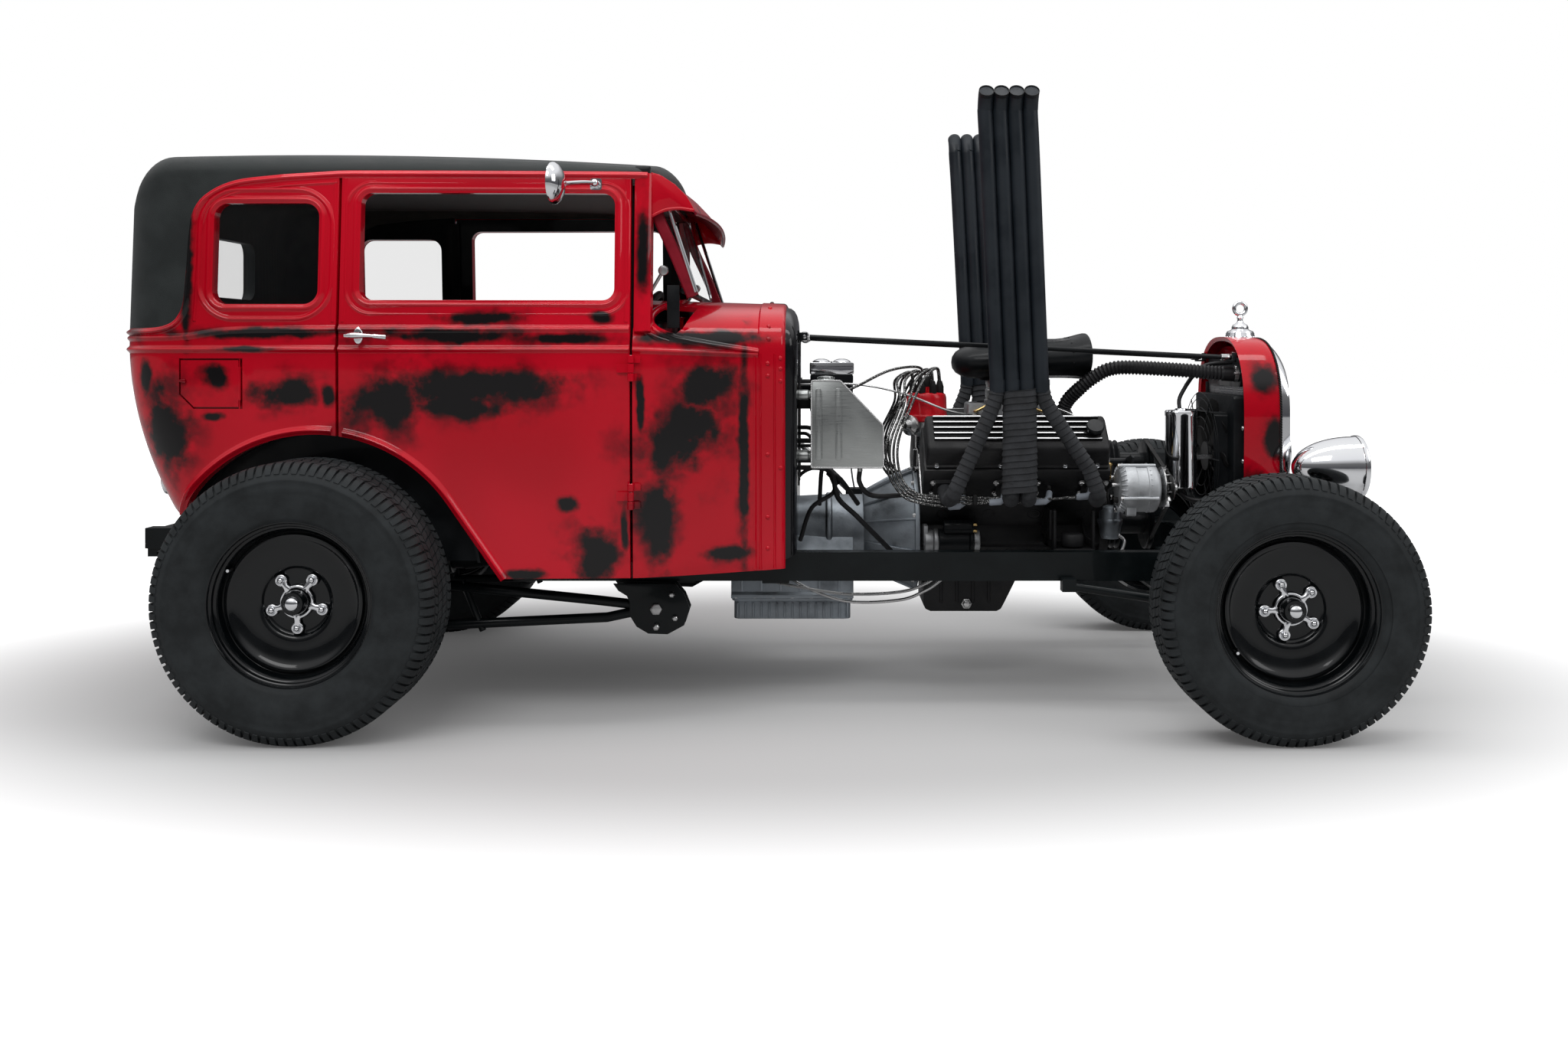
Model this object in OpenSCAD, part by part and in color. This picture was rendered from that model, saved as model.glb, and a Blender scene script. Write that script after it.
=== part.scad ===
/* [Stance] */
// Distance between the two axles
wheelbase = 2627; // [2500:1:2760]
// Rear axle, measured back from the middle of the car
rear_axle_back = 1204; // [1180:1:1230]
// Outer faces of the tyres, from the centre line
tyre_face_y = 855; // [840:1:880]

/* [Tyres and wheels] */
// Rear tyre diameter
rear_tyre_d = 745; // [730:1:760]
// Rear tyre width
rear_tyre_w = 250; // [235:1:260]
// Front tyre diameter
front_tyre_d = 705; // [690:1:720]
// Front tyre width
front_tyre_w = 205; // [190:1:215]
// Diameter over the rim flanges
rim_d = 443; // [430:1:450]
// How far the wheel disc sits behind the tyre face
disc_recess = 92; // [85:1:100]
// Steering axis, from the centre line
kingpin_y = 628; // [615:1:632]
// Length of the steering arms
steer_arm = 150; // [130:1:160]

/* [Body] */
// Half width of the body at the belt, behind the door
belt_half_w = 655; // [640:1:660]
// Half width of the cowl at its front flange
cowl_half_w = 460; // [440:1:480]
// Height of the body's bottom edge
sill_z = 407; // [400:1:420]
// Height of the belt line
belt_z = 1060; // [1050:1:1070]
// Height of the top of the doors
door_top_z = 1515; // [1505:1:1518]
// Rear edge of the doors
door_rear_x = -1139; // [-1145:1:-1130]
// Front edge of the doors
door_front_x = -345; // [-350:1:-340]
// Thickness of doors and side walls
wall = 38; // [30:1:42]
// Thickness of the padded roof
roof_t = 32; // [26:1:40]
// Gap around a door
door_gap = 7; // [6:0.5:9]
// Crown of the roof
roof_z = 1634; // [1620:1:1645]

/* [Frame] */
// Outer faces of the frame rails, from the centre line
rail_y = 380; // [370:1:385]
// Width of a frame rail
rail_w = 50; // [45:1:60]
// Bottom of the frame rails
rail_z = 361; // [355:1:365]
// Height of a frame rail
rail_h = 84; // [80:1:90]

/* [Engine] */
// Height of the crankshaft
crank_z = 490; // [480:1:495]
// Rear end of the cylinder heads
head_rear_x = 490; // [480:1:500]
// Front end of the cylinder heads
head_front_x = 1049; // [1040:1:1060]
// Diameter of an exhaust tube
tube_d = 44.5; // [42:0.5:46]
// Height of the exhaust tips
stack_z = 1800; // [1700:1:1820]

/* [Hidden] */
$fn = 48;
front_axle_x = wheelbase - rear_axle_back;
rear_axle_x = -rear_axle_back;
rear_wheel_y = tyre_face_y - rear_tyre_w / 2;
front_wheel_y = tyre_face_y - front_tyre_w / 2;
rear_wheel_z = rear_tyre_d / 2;
front_wheel_z = front_tyre_d / 2;
hub_face_y = tyre_face_y - disc_recess;
spindle_r = 15;
spindle_gap = 0.4;
drum_r = 125;
drum_w = 46;
cowl_front_x = 80;
corner_r = 170;
rear_crown = 14;
corner_x = -1607;
top_edge_z = 1522;
rear_sill_z = 580;
arch_r = 434;
hinge_x = door_front_x + 5;
hinge_out = 14;
hinge_r = 9;
hinge_heights = [636, 988];
hinge_part = 24;
rail_top = rail_z + rail_h;
floor_z = rail_top + 1;
firewall_x = cowl_front_x + 34;
glass_t = 6;
visor_bow = 5500;
pillar_y = side_y(-320, 1350) - 44;

function side_tuck(z) = z > belt_z ? 0.07 * (z - belt_z) : 18 * pow((belt_z - z) / (belt_z - sill_z), 2);
function rear_tuck(z) = z > belt_z ? 0 : 130 * pow((belt_z - z) / 473, 2);
function plan_y(x) =
    x > door_front_x
        ? 632 - (632 - cowl_half_w) * pow((x - door_front_x) / (cowl_front_x - door_front_x), 1.25)
    : x > door_rear_x
        ? belt_half_w - 23 * pow((x - door_rear_x) / (door_front_x - door_rear_x), 2)
    : belt_half_w - 7 * pow((door_rear_x - x) / (door_rear_x - corner_x), 2);
function side_y(x, z) = plan_y(x) - side_tuck(z);

// Points of the body's plan outline behind the doors, as [x, y], for a height z and an inset t.
// The run u goes 0..1 along the side, 1..2 round the corner, and 2..3 to the middle of the back.
function quarter_point(u, z, t, from_x) =
    let (cx = corner_x + rear_tuck(z), cy = side_y(cx, z) - corner_r, r = corner_r - t)
    u <= 1 ? let (x = from_x + (cx - from_x) * u) [x, side_y(x, z) - t]
    : u <= 2 ? let (a = 90 * (u - 1)) [cx - r * sin(a), cy + r * cos(a)]
    : let (y = cy * (3 - u)) [cx - r - rear_crown * (1 - pow(3 - u, 2)), y];

// A closed shell between two grids of points of the same size.
module shell(outer, inner) {
    rows = len(outer);
    cols = len(outer[0]);
    count = rows * cols;
    points = concat([for (r = outer) for (p = r) p], [for (r = inner) for (p = r) p]);
    faces = concat(
        [for (i = [0:rows - 2]) for (j = [0:cols - 2])
            let (a = i * cols + j, b = a + 1, c = a + cols, d = c + 1)
            for (f = [[a, c, d], [a, d, b], [count + a, count + d, count + c],
                [count + a, count + b, count + d]]) f],
        [for (j = [0:cols - 2]) let (a = j, b = j + 1, c = count + a, d = count + b)
            for (f = [[a, b, d], [a, d, c]]) f],
        [for (j = [0:cols - 2]) let (a = (rows - 1) * cols + j, b = a + 1, c = count + a, d = count + b)
            for (f = [[a, d, b], [a, c, d]]) f],
        [for (i = [0:rows - 2]) let (a = i * cols, b = a + cols, c = count + a, d = count + b)
            for (f = [[a, d, b], [a, c, d]]) f],
        [for (i = [0:rows - 2]) let (a = i * cols + cols - 1, b = a + cols, c = count + a, d = count + b)
            for (f = [[a, b, d], [a, d, c]]) f]);
    polyhedron(points, faces, convexity = 8);
}

module both_sides() {
    children();
    mirror([0, 1, 0]) children();
}

module along_x(x0, x1) {
    translate([x0, 0, 0]) rotate([90, 0, 90]) linear_extrude(x1 - x0) children();
}

module along_y(y0, y1) {
    translate([0, y1, 0]) rotate([90, 0, 0]) linear_extrude(y1 - y0) children();
}

module block(from, to) {
    translate(from) cube(to - from);
}

module rod(from, to, r) {
    v = to - from;
    length = norm(v);
    translate(from)
        rotate([0, acos(v[2] / length), atan2(v[1], v[0])])
            cylinder(r = r, h = length);
}

// A bent tube through points, with a ball just larger than the tube at each bend.
module pipe(points, r) {
    for (i = [0:len(points) - 2]) rod(points[i], points[i + 1], r);
    for (i = [1:len(points) - 2]) translate(points[i]) sphere(r = r + 0.4);
}

// Corner points of a rectangle with rounded corners.
function rounded(x0, z0, x1, z1, r) = [
    for (c = [[x1 - r, z1 - r, 0], [x0 + r, z1 - r, 90], [x0 + r, z0 + r, 180], [x1 - r, z0 + r, 270]])
        for (a = [0:18:90]) [c[0] + r * cos(c[2] + a), c[1] + r * sin(c[2] + a)]];

module round_rect(x0, z0, x1, z1, r) {
    polygon(rounded(x0, z0, x1, z1, r));
}

/* ---------- body ---------- */

// Where the padded roof ends on the side: along the drip line, then down behind the quarter window.
function roof_edge_z(x) = lookup(x, [
    [-1645, 1085], [-1591, 1104], [-1559, 1169], [-1548, 1352], [-1538, 1417], [-1506, 1460],
    [-1430, 1496], [-1300, 1512], [door_rear_x, top_edge_z]]);

quarter_from_x = door_rear_x - door_gap;
roof_seam = 0.6;
header_drop = 4;
quarter_runs = concat(
    [for (x = [quarter_from_x, -1210, -1300, -1430, -1506, -1538, -1548, -1559, -1591])
        (quarter_from_x - x) / (quarter_from_x - corner_x)],
    [for (a = [0:15:90]) 1 + a / 90]);

function quarter_x(u) = u <= 1 ? quarter_from_x + (corner_x - quarter_from_x) * u : corner_x - 60 * u;

// Opening over the rear wheel, as seen from the side.
module arch_outline(r) {
    polygon(concat(
        [[rear_axle_x + r + 98, sill_z - 60]],
        [for (a = [34:6:178]) [rear_axle_x + r * cos(a), rear_wheel_z + r * sin(a)]],
        [[rear_axle_x - r, sill_z - 60]]));
}

module arch_cut() {
    along_y(400, 900) arch_outline(arch_r);
}

module quarter_side() {
    rows = [for (v = [0, 0.12, 0.25, 0.4, 0.55, 0.7, 0.82, 0.91, 1]) v];
    grid = function (t) [for (v = rows) [for (u = quarter_runs)
        let (low = quarter_x(u) > -1400 ? sill_z : rear_sill_z,
            high = roof_edge_z(quarter_x(u)) - roof_seam,
            z = low + (high - low) * v,
            p = quarter_point(u, z, t, quarter_from_x)) [p[0], p[1], z]]];
    shell(grid(0), grid(wall));
}

module quarter_panel() {
    color([0.72, 0.03, 0.1])
    difference() {
        quarter_side();
        arch_cut();
        along_y(500, 760) round_rect(-1490, 1163, -1197, 1443, 40);
    }
}

module fuel_side_quarter() {
    color([0.72, 0.03, 0.1]) {
        difference() {
            quarter_panel();
            fuel_pocket();
        }
        fuel_pin();
    }
}

module rear_panel() {
    inset_end = 0.4;
    grid = function (t) [for (v = [0:0.125:1]) [for (w = [1:-0.125:-1])
        let (z = rear_sill_z + (1085 - rear_sill_z) * v, p = quarter_point(2, z, t, quarter_from_x))
        [p[0] - rear_crown * (1 - w * w), (p[1] - inset_end) * w, z]]];
    color([0.72, 0.03, 0.1]) shell(grid(0), grid(wall));
}

function roof_crown(x) =
    x > -1300 ? roof_z - 34 * pow((x + 1300) / 1035, 2) : roof_z - 6 * pow((x + 1300) / 400, 2);
function roof_height(x, y, d, r) =
    roof_crown(x) - 0.000166 * y * y - (d < r ? r - sqrt(r * r - pow(r - d, 2)) : 0);

// Stations round half of the roof's outline, as [kind, value]: front, front corner, side, rear corner, back.
roof_front_x = -262;
roof_stations = concat(
    [for (w = [0, 0.25, 0.5, 0.75]) [0, w]],
    [for (a = [0:30:90]) [1, a]],
    [for (x = [-480, -650, -820, -980, door_rear_x, -1300, -1430, -1506, -1538, -1548, -1559, -1591]) [2, x]],
    [for (a = [0:15:90]) [3, a]],
    [for (w = [0.75, 0.5, 0.25, 0]) [4, w]]);
front_corner_r = 75;
front_corner_x = roof_front_x - 20 - front_corner_r;

function roof_outline(s, z, t) =
    let (cy = side_y(corner_x, z) - corner_r, fy = side_y(front_corner_x, z) - front_corner_r)
    s[0] == 0 ? [roof_front_x - 20 * s[1] * s[1] - t, fy * s[1]]
    : s[0] == 1 ? [front_corner_x + (front_corner_r - t) * cos(s[1]), fy + (front_corner_r - t) * sin(s[1])]
    : s[0] == 2 ? [s[1], side_y(s[1], z) - t]
    : s[0] == 3 ? [corner_x - (corner_r - t) * sin(s[1]), cy + (corner_r - t) * cos(s[1])]
    : [corner_x - corner_r + t - rear_crown * (1 - s[1] * s[1]), cy * s[1]];
function edge_room(q) = roof_crown(q[0]) - 0.000166 * q[1] * q[1] - top_edge_z - 3;
function roof_radius(s) =
    s[0] < 3 ? min(45, edge_room(roof_outline(s, top_edge_z, 0)))
    : s[0] == 3 ? 45 + 125 * pow(sin(s[1]), 2) : 170;
function roof_low(s) =
    s[0] < 2 ? top_edge_z
    : s[0] == 2 ? roof_edge_z(s[1])
    : s[0] == 3 && s[1] < 15 ? roof_edge_z(corner_x) : 1085;

// One ring of the roof: k below 0 is on the side walls, and from 0 to 1 it runs in to the ridge.
roof_rings = [-1, -0.5, 0, 0.05, 0.18, 0.4, 0.7, 1, 1.35, 1.7, 2];
function roof_point(s, k, t) =
    let (r = roof_radius(s), o = roof_outline(s, top_edge_z, t), q = roof_outline(s, top_edge_z, 0),
        ridge_x = min(max(o[0], -1250), -600), reach = norm([o[0] - ridge_x, o[1]]),
        edge = roof_height(q[0], q[1], 0, r))
    k <= 0
        ? let (z = edge + (roof_low(s) - edge) * (-k), p = roof_outline(s, z, t))
            [p[0], p[1], z - (k == 0 ? t * 0.2 : 0)]
        : let (d = k <= 1 ? k * r : r + (0.96 * reach - r) * (k - 1), f = d / reach,
            x = o[0] + (ridge_x - o[0]) * f, y = o[1] * (1 - f))
            [x, y, roof_height(x, y, d, r) - t * min(1, 0.3 + k)];

module roof_solid() {
    half = len(roof_stations);
    count = 2 * half - 2;
    loop = function (k, t) concat(
        [for (s = roof_stations) roof_point(s, k, t)],
        [for (i = [half - 2:-1:1]) let (p = roof_point(roof_stations[i], k, t)) [p[0], -p[1], p[2]]]);
    rings = len(roof_rings);
    inner = rings * count;
    points = concat(
        [for (k = roof_rings) for (p = loop(k, 0)) p],
        [for (k = roof_rings) for (p = loop(k, roof_t)) p]);
    last = (rings - 1) * count;
    faces = concat(
        [for (i = [0:rings - 2]) for (j = [0:count - 1])
            let (a = i * count + j, b = i * count + (j + 1) % count, c = a + count, d = b + count)
            for (f = [[a, b, d], [a, d, c], [inner + a, inner + d, inner + b],
                [inner + a, inner + c, inner + d]]) f],
        [for (j = [0:count - 1]) let (a = j, b = (j + 1) % count)
            for (f = [[a, inner + b, b], [a, inner + a, inner + b]]) f],
        [for (i = [0:half - 2]) let (a = i, b = i + 1, c = count - i - 1, d = (count - i) % count)
            for (m = [0, inner]) for (f = concat(a == d ? [] : [[a, b, d]], b == c ? [] : [[b, c, d]]))
                m == 0 ? [for (n = f) last + n]
                    : [inner + last + f[2], inner + last + f[1], inner + last + f[0]]]);
    polyhedron(points, faces, convexity = 8);
}

module vinyl_top() {
    color([0.09, 0.1, 0.1])
    difference() {
        roof_solid();
        along_x(-1850, -1700) round_rect(-290, 1210, 290, 1400, 40);
    }
}

module door_panel() {
    grid = function (t) [for (z = [sill_z, 520, 640, 760, 880, 1000, belt_z, 1180, 1350, door_top_z])
        [for (x = [door_front_x, -480, -640, -800, -970, door_rear_x]) [x, side_y(x, z) - t, z]]];
    color([0.72, 0.03, 0.1])
    difference() {
        shell(grid(0), grid(wall));
        arch_cut();
        along_y(500, 760) round_rect(-1085, 1174, -387, 1472, 34);
    }
    hinge_y = plan_y(door_front_x) + hinge_out;
    color([0.72, 0.03, 0.1])
    for (z = hinge_heights) difference() {
        union() {
            translate([hinge_x, hinge_y, z - hinge_part / 2]) cylinder(r = hinge_r, h = hinge_part);
            block([hinge_x - 40, hinge_y - hinge_out - 9, z - hinge_part / 2],
                [hinge_x, hinge_y - 2, z + hinge_part / 2]);
        }
        translate([hinge_x, hinge_y, z - hinge_part]) cylinder(r = 4.5, h = 2 * hinge_part);
    }
}

// Fixed halves of the door hinges, with their pins.
module hinge_posts() {
    hinge_y = plan_y(door_front_x) + hinge_out;
    for (z = hinge_heights) {
        translate([hinge_x, hinge_y, z - 36]) cylinder(r = 4, h = 72);
        for (end = [z - 36, z + 14]) {
            translate([hinge_x, hinge_y, end]) cylinder(r = hinge_r, h = 22);
            block([hinge_x, hinge_y - hinge_out - 14, end], [hinge_x + 24, hinge_y - 2, end + 22]);
        }
    }
}

function cowl_top_z(x) = 1195 - 12 * (x - door_front_x) / (cowl_front_x - door_front_x);
function cowl_profile(x, t) =
    let (w = side_y(x, 1035) - t, h = cowl_top_z(x) - t - 1035,
        half = concat([for (z = [sill_z, 600, 800, 950]) [side_y(x, z) - t, z]],
            [for (a = [0:10:80]) [w * pow(cos(a), 0.8), 1035 + h * pow(sin(a), 0.8)]]))
    concat(half, [[0, 1035 + h]], [for (i = [len(half) - 1:-1:0]) [-half[i][0], half[i][1]]]);

module cowl() {
    grid = function (t) [for (x = [door_front_x + door_gap + 3, -280, -220, -150, -80, 0, cowl_front_x])
        [for (p = cowl_profile(x, t)) [x, p[0], p[1]]]];
    color([0.72, 0.03, 0.1]) shell(grid(0), grid(30));
    color([0.72, 0.03, 0.1])
    both_sides() {
        hinge_posts();
        along_y(pillar_y, pillar_y + 48)
            polygon([[-335, 1090], [-285, 1090], [-292, top_edge_z], [-335, top_edge_z]]);
    }
}

module firewall() {
    sheet = function (t) [for (p = cowl_profile(cowl_front_x, t)) [p[0], max(p[1], sill_z + 38)]];
    color([0.03, 0.03, 0.03]) difference() {
        union() {
            along_x(cowl_front_x + 0.3, cowl_front_x + 10) polygon(sheet(12));
            along_x(cowl_front_x + 9, firewall_x) polygon([for (p = sheet(40)) [p[0], min(p[1], 1110)]]);
        }
        along_x(cowl_front_x - 20, firewall_x + 20) tunnel_outline(112, crank_z + 82, floor_z - 10);
        rod(shaft_top, shaft_foot, 16);
    }
}

// Cross-section of the tunnel over the gearbox and driveshaft, with a half width and a top.
module tunnel_outline(w, top, foot) {
    polygon(concat([[w, foot]], [for (a = [0:15:180]) [w * cos(a), top - w * (1 - sin(a))]], [[-w, foot]]));
}

module floor_pan() {
    edge_xs = [70, -60, -200, -345, -640];
    half = function (x) side_y(x, 450) - wall - 8;
    color([0.06, 0.06, 0.06])
    difference() {
        union() {
            translate([0, 0, floor_z]) linear_extrude(11) polygon(concat(
                [for (x = edge_xs) [x, half(x)]], [for (i = [4:-1:0]) [edge_xs[i], -half(edge_xs[i])]]));
            block([-652, -545, floor_z], [-640, 545, 652]);
            along_x(-300, 70) tunnel_outline(131, 581, floor_z + 1);
            along_x(-645, -299) tunnel_outline(66, 511, floor_z + 1);
        }
        along_x(-294, 90) tunnel_outline(125, 575, floor_z - 10);
        along_x(-700, -280) tunnel_outline(60, 505, floor_z - 10);
    }
}

module rear_floor() {
    color([0.06, 0.06, 0.06]) translate([0, 0, 640]) linear_extrude(12) polygon([
        [-652, 545], [-1500, 545], [-1560, 470], [-1622, 400], [-1622, -400], [-1560, -470], [-1500, -545],
        [-652, -545]]);
}

module wheel_tubs() {
    color([0.06, 0.06, 0.06])
    both_sides() intersection() {
        difference() {
            translate([rear_axle_x, 588, rear_wheel_z]) rotate([90, 0, 0])
                cylinder(r = 445, h = 43, $fn = 96);
            translate([rear_axle_x, 620, rear_wheel_z]) rotate([90, 0, 0])
                cylinder(r = 437, h = 72, $fn = 96);
        }
        block([-1560, 500, 446], [-640, 660, 900]);
    }
}

module windshield_frame() {
    color([0.25, 0.02, 0.04]) both_sides()
        rod([-185, 556, 1150], [-287.8, 548.6, 1500], 13);
    color([0.05, 0.05, 0.05]) {
        block([-335, -pillar_y, 1496], [-296, pillar_y, top_edge_z - header_drop]);
        rod([-205, -545, 1202], [-205, 545, 1202], 9);
    }
}

module windshield_plane(x_add, t) {
    translate([-205 + x_add, 0, 1212]) rotate([0, -16.2, 0])
        translate([-t / 2, -532, 0]) cube([t, 1064, 292]);
}

module fixed_glass() {
    color([0.6, 0.65, 0.68, 0.4]) {
        windshield_plane(0, glass_t);
        both_sides() translate([0, side_y(-1340, 1300) - wall / 2, 1300]) rotate([4, 0, 0])
            along_y(-glass_t / 2, glass_t / 2)
                translate([0, -1300]) round_rect(-1489, 1164, -1198, 1442, 40);
        translate([-1779, 0, 0]) along_x(0, glass_t) round_rect(-289, 1211, 289, 1399, 40);
    }
}

module sun_visor() {
    color([0.3, 0.02, 0.04]) intersection() {
        rotate([90, 0, 0]) linear_extrude(1160, center = true)
            polygon([[-290, 1510], [-262, 1506], [-200, 1475], [-146, 1425], [-140, 1432], [-194, 1488],
                [-258, top_edge_z], [-290, top_edge_z]]);
        translate([0, 0, 1300]) linear_extrude(300) intersection() {
            translate([-138 - visor_bow, 0]) circle(r = visor_bow, $fn = 720);
            translate([-400, -580]) square([300, 1160]);
        }
    }
}

/* ---------- inside ---------- */

module cushion(from, to, r) {
    along_x(from[0], to[0]) round_rect(from[1], from[2], to[1], to[2], r);
}

module seats() {
    color([0.08, 0.08, 0.08]) {
        cushion([-930, -510, 652], [-520, 510, 752], 40);
        translate([-930, 0, 745]) rotate([0, -10, 0]) cushion([-75, -510, 0], [55, 510, 350], 50);
        cushion([-1480, -520, 652], [-1130, 520, 800], 40);
        translate([-1490, 0, 790]) rotate([0, -8, 0]) cushion([-70, -480, 0], [60, 480, 300], 45);
    }
    color([0.1, 0.1, 0.1]) both_sides()
        block([-560, 300, floor_z + 11], [-530, 330, 653]);
}

module dashboard() {
    color([0.5, 0.03, 0.08]) {
        block([-334, -430, 1045], [-318, 430, 1130]);
        both_sides() block([-318, 400, 1045], [-250, 430, 1100]);
    }
}

wheel_hub = [-455, 330, 1085];
wheel_r = 170;
column_tilt = 60;
function column_point(d) =
    [wheel_hub[0] + d * sin(column_tilt), wheel_hub[1], wheel_hub[2] - d * cos(column_tilt)];

shaft_top = column_point(540);
shaft_foot = [300, 330, 540];

module steering_column() {
    color([0.06, 0.06, 0.06]) {
        rod(column_point(30), column_point(560), 19);
        rod(column_point(-12), column_point(34), 9.6);
        rod(shaft_top, shaft_foot, 10);
        block([270, 285, rail_z + rail_h], [350, 345, 570]);
        rod([310, 340, 480], [310, 396, 480], 14);
        block([298, 384, 376], [322, 396, 486]);
        block([-318, 322, 990], [-300, 338, 1060]);
    }
}

module steering_wheel() {
    color([0.05, 0.05, 0.05])
    translate(wheel_hub) rotate([0, -column_tilt, 0]) {
        rotate_extrude($fn = 96) translate([wheel_r, 0]) circle(r = 13);
        difference() {
            union() {
                translate([0, 0, -16]) cylinder(r = 32, h = 34);
                for (a = [45:90:315]) rotate([0, 0, a]) rotate([0, 90, 0]) translate([0, 0, 20])
                    cylinder(r = 6, h = wheel_r - 25);
            }
            translate([0, 0, -30]) cylinder(r = 10, h = 44);
        }
    }
}

/* ---------- frame and axles ---------- */

module rail_outline() {
    top = rail_z + rail_h;
    polygon([
        [1620, rail_z], [1620, top], [-690, top], [-850, 625], [-1530, 625], [-1690, 516], [-1801, 516],
        [-1801, 456], [-1660, 456], [-1520, 550], [-880, 550], [-720, rail_z + 2], [-700, rail_z]]);
}

// One rail with its ladder-bar bracket, tow plate and jacking pad, drawn on the left side.
module frame_rail() {
    color([0.05, 0.05, 0.05]) {
        along_y(rail_y - rail_w, rail_y) rail_outline();
        difference() {
            block([-340, 352, 232], [-250, 378, rail_z + 1]);
            translate([-295, 400, 288]) rotate([90, 0, 0]) cylinder(r = 12.4, h = 80);
        }
        difference() {
            block([-1801, 346, 430], [-1735, 364, 457]);
            translate([-1768, 400, 441]) rotate([90, 0, 0]) cylinder(r = 7, h = 80);
        }
        block([10, 335, rail_z - 8], [90, 375, rail_z + 1]);
    }
}

module frame_crossmembers() {
    half = rail_y - rail_w;
    color([0.05, 0.05, 0.05]) {
        block([1545, -half, rail_z], [1605, half, rail_z + rail_h]);
        block([1395, -half, rail_z + 8], [1450, half, rail_z + rail_h]);
        block([-180, -half, rail_z], [-135, half, rail_z + 40]);
        block([-470, -half, rail_z], [-420, half, rail_z + 30]);
        block([-1345, -half, 575], [-1295, half, 625]);
        block([-1790, -half, 462], [-1750, half, 510]);
    }
}

module spring_stack() {
    for (i = [0:4]) {
        half = 470 - 80 * i;
        drop = 60;
        translate([front_axle_x - 25, 0, 0]) along_x(0, 50) polygon(concat(
            [for (k = [-8:8]) let (y = half * k / 8) [y, 350 - 9 * i - drop * pow(y / 470, 2) + 4.5]],
            [for (k = [8:-1:-8]) let (y = half * k / 8) [y, 350 - 9 * i - drop * pow(y / 470, 2) - 4.5]]));
    }
}

module front_axle() {
    color([0.05, 0.05, 0.05]) {
        both_sides() {
            pipe([[front_axle_x, -20, 255], [front_axle_x, 430, 255], [front_axle_x, 560, 330],
                [front_axle_x, kingpin_y - 18, front_wheel_z]], 26);
            translate([front_axle_x, kingpin_y, front_wheel_z - 36]) cylinder(r = 24, h = 72);
            translate([front_axle_x, kingpin_y, front_wheel_z - 76]) cylinder(r = 11, h = 152);
            rod([front_axle_x - 10, 470, 285], [900, 405, 352], 13);
            block([885, rail_y, 335], [925, 420, 372]);
            rod([front_axle_x, 472, 262], [front_axle_x, 472, 300], 12);
        }
        spring_stack();
        block([front_axle_x - 25, -60, 344], [front_axle_x + 25, 60, rail_z + 8]);
    }
}

// The left arm is bored for the tie rod's stud; the right one carries a stud of its own.
module knuckle(bored) {
    y = kingpin_y;
    z = front_wheel_z;
    color([0.06, 0.06, 0.06]) {
        difference() {
            union() {
                for (h = [z - 68, z + 42]) translate([front_axle_x, y, h]) cylinder(r = 24, h = 26);
                block([front_axle_x - 24, y + 28, z - 68], [front_axle_x + 24, y + 46, z + 68]);
                for (h = [z - 68, z + 42])
                    block([front_axle_x - 24, y, h], [front_axle_x + 24, y + 40, h + 26]);
                block([front_axle_x - steer_arm, y - 12, z - 68], [front_axle_x, y + 12, z - 50]);
                translate([front_axle_x - steer_arm, y, z - 68]) cylinder(r = 16, h = 18);
            }
            translate([front_axle_x, y, z - 100]) cylinder(r = 11.4, h = 200);
            if (bored) translate([front_axle_x - steer_arm, y, z - 100]) cylinder(r = 6.4, h = 60);
        }
        if (!bored) translate([front_axle_x - steer_arm, y, z - 96]) cylinder(r = 6, h = 30);
        translate([front_axle_x, y + 46, z]) rotate([-90, 0, 0]) cylinder(r = 118, h = 4);
        translate([front_axle_x, y + 40, z]) rotate([-90, 0, 0])
            cylinder(r = spindle_r, h = hub_face_y - y - 34);
    }
}

module tie_rod() {
    z = front_wheel_z - 59;
    x = front_axle_x - steer_arm;
    color([0.07, 0.07, 0.07]) {
        rod([x, 14 - kingpin_y, z - 27.5], [x, kingpin_y - 10, z - 27.5], 11);
        translate([x, kingpin_y, z - 40]) cylinder(r = 16, h = 25);
        translate([x, kingpin_y, z - 16]) cylinder(r = 6, h = 30);
        difference() {
            translate([x, -kingpin_y, z - 40]) cylinder(r = 18, h = 25);
            translate([x, -kingpin_y, z - 50]) cylinder(r = 9, h = 60);
        }
    }
}

module rear_axle() {
    z = rear_wheel_z;
    color([0.06, 0.06, 0.06]) {
        difference() {
            union() {
                rod([rear_axle_x, -672, z], [rear_axle_x, 672, z], 38);
                translate([rear_axle_x, 0, z]) sphere(r = 128);
                rod([rear_axle_x, 0, z], [rear_axle_x + 210, 0, z], 62);
                both_sides() {
                    translate([rear_axle_x, 672, z]) rotate([-90, 0, 0]) cylinder(r = 118, h = 4);
                    block([rear_axle_x - 45, 436, z - 150], [rear_axle_x + 110, 446, z + 30]);
                }
            }
            for (p = [[rear_axle_x + 80, z - 126], [rear_axle_x + 80, z + 6]])
                translate([p[0], 600, p[1]]) rotate([90, 0, 0]) cylinder(r = 8, h = 1200);
        }
        both_sides() translate([rear_axle_x, 670, z]) rotate([-90, 0, 0])
            cylinder(r = spindle_r, h = hub_face_y - 670 + 6);
    }
}

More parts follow.
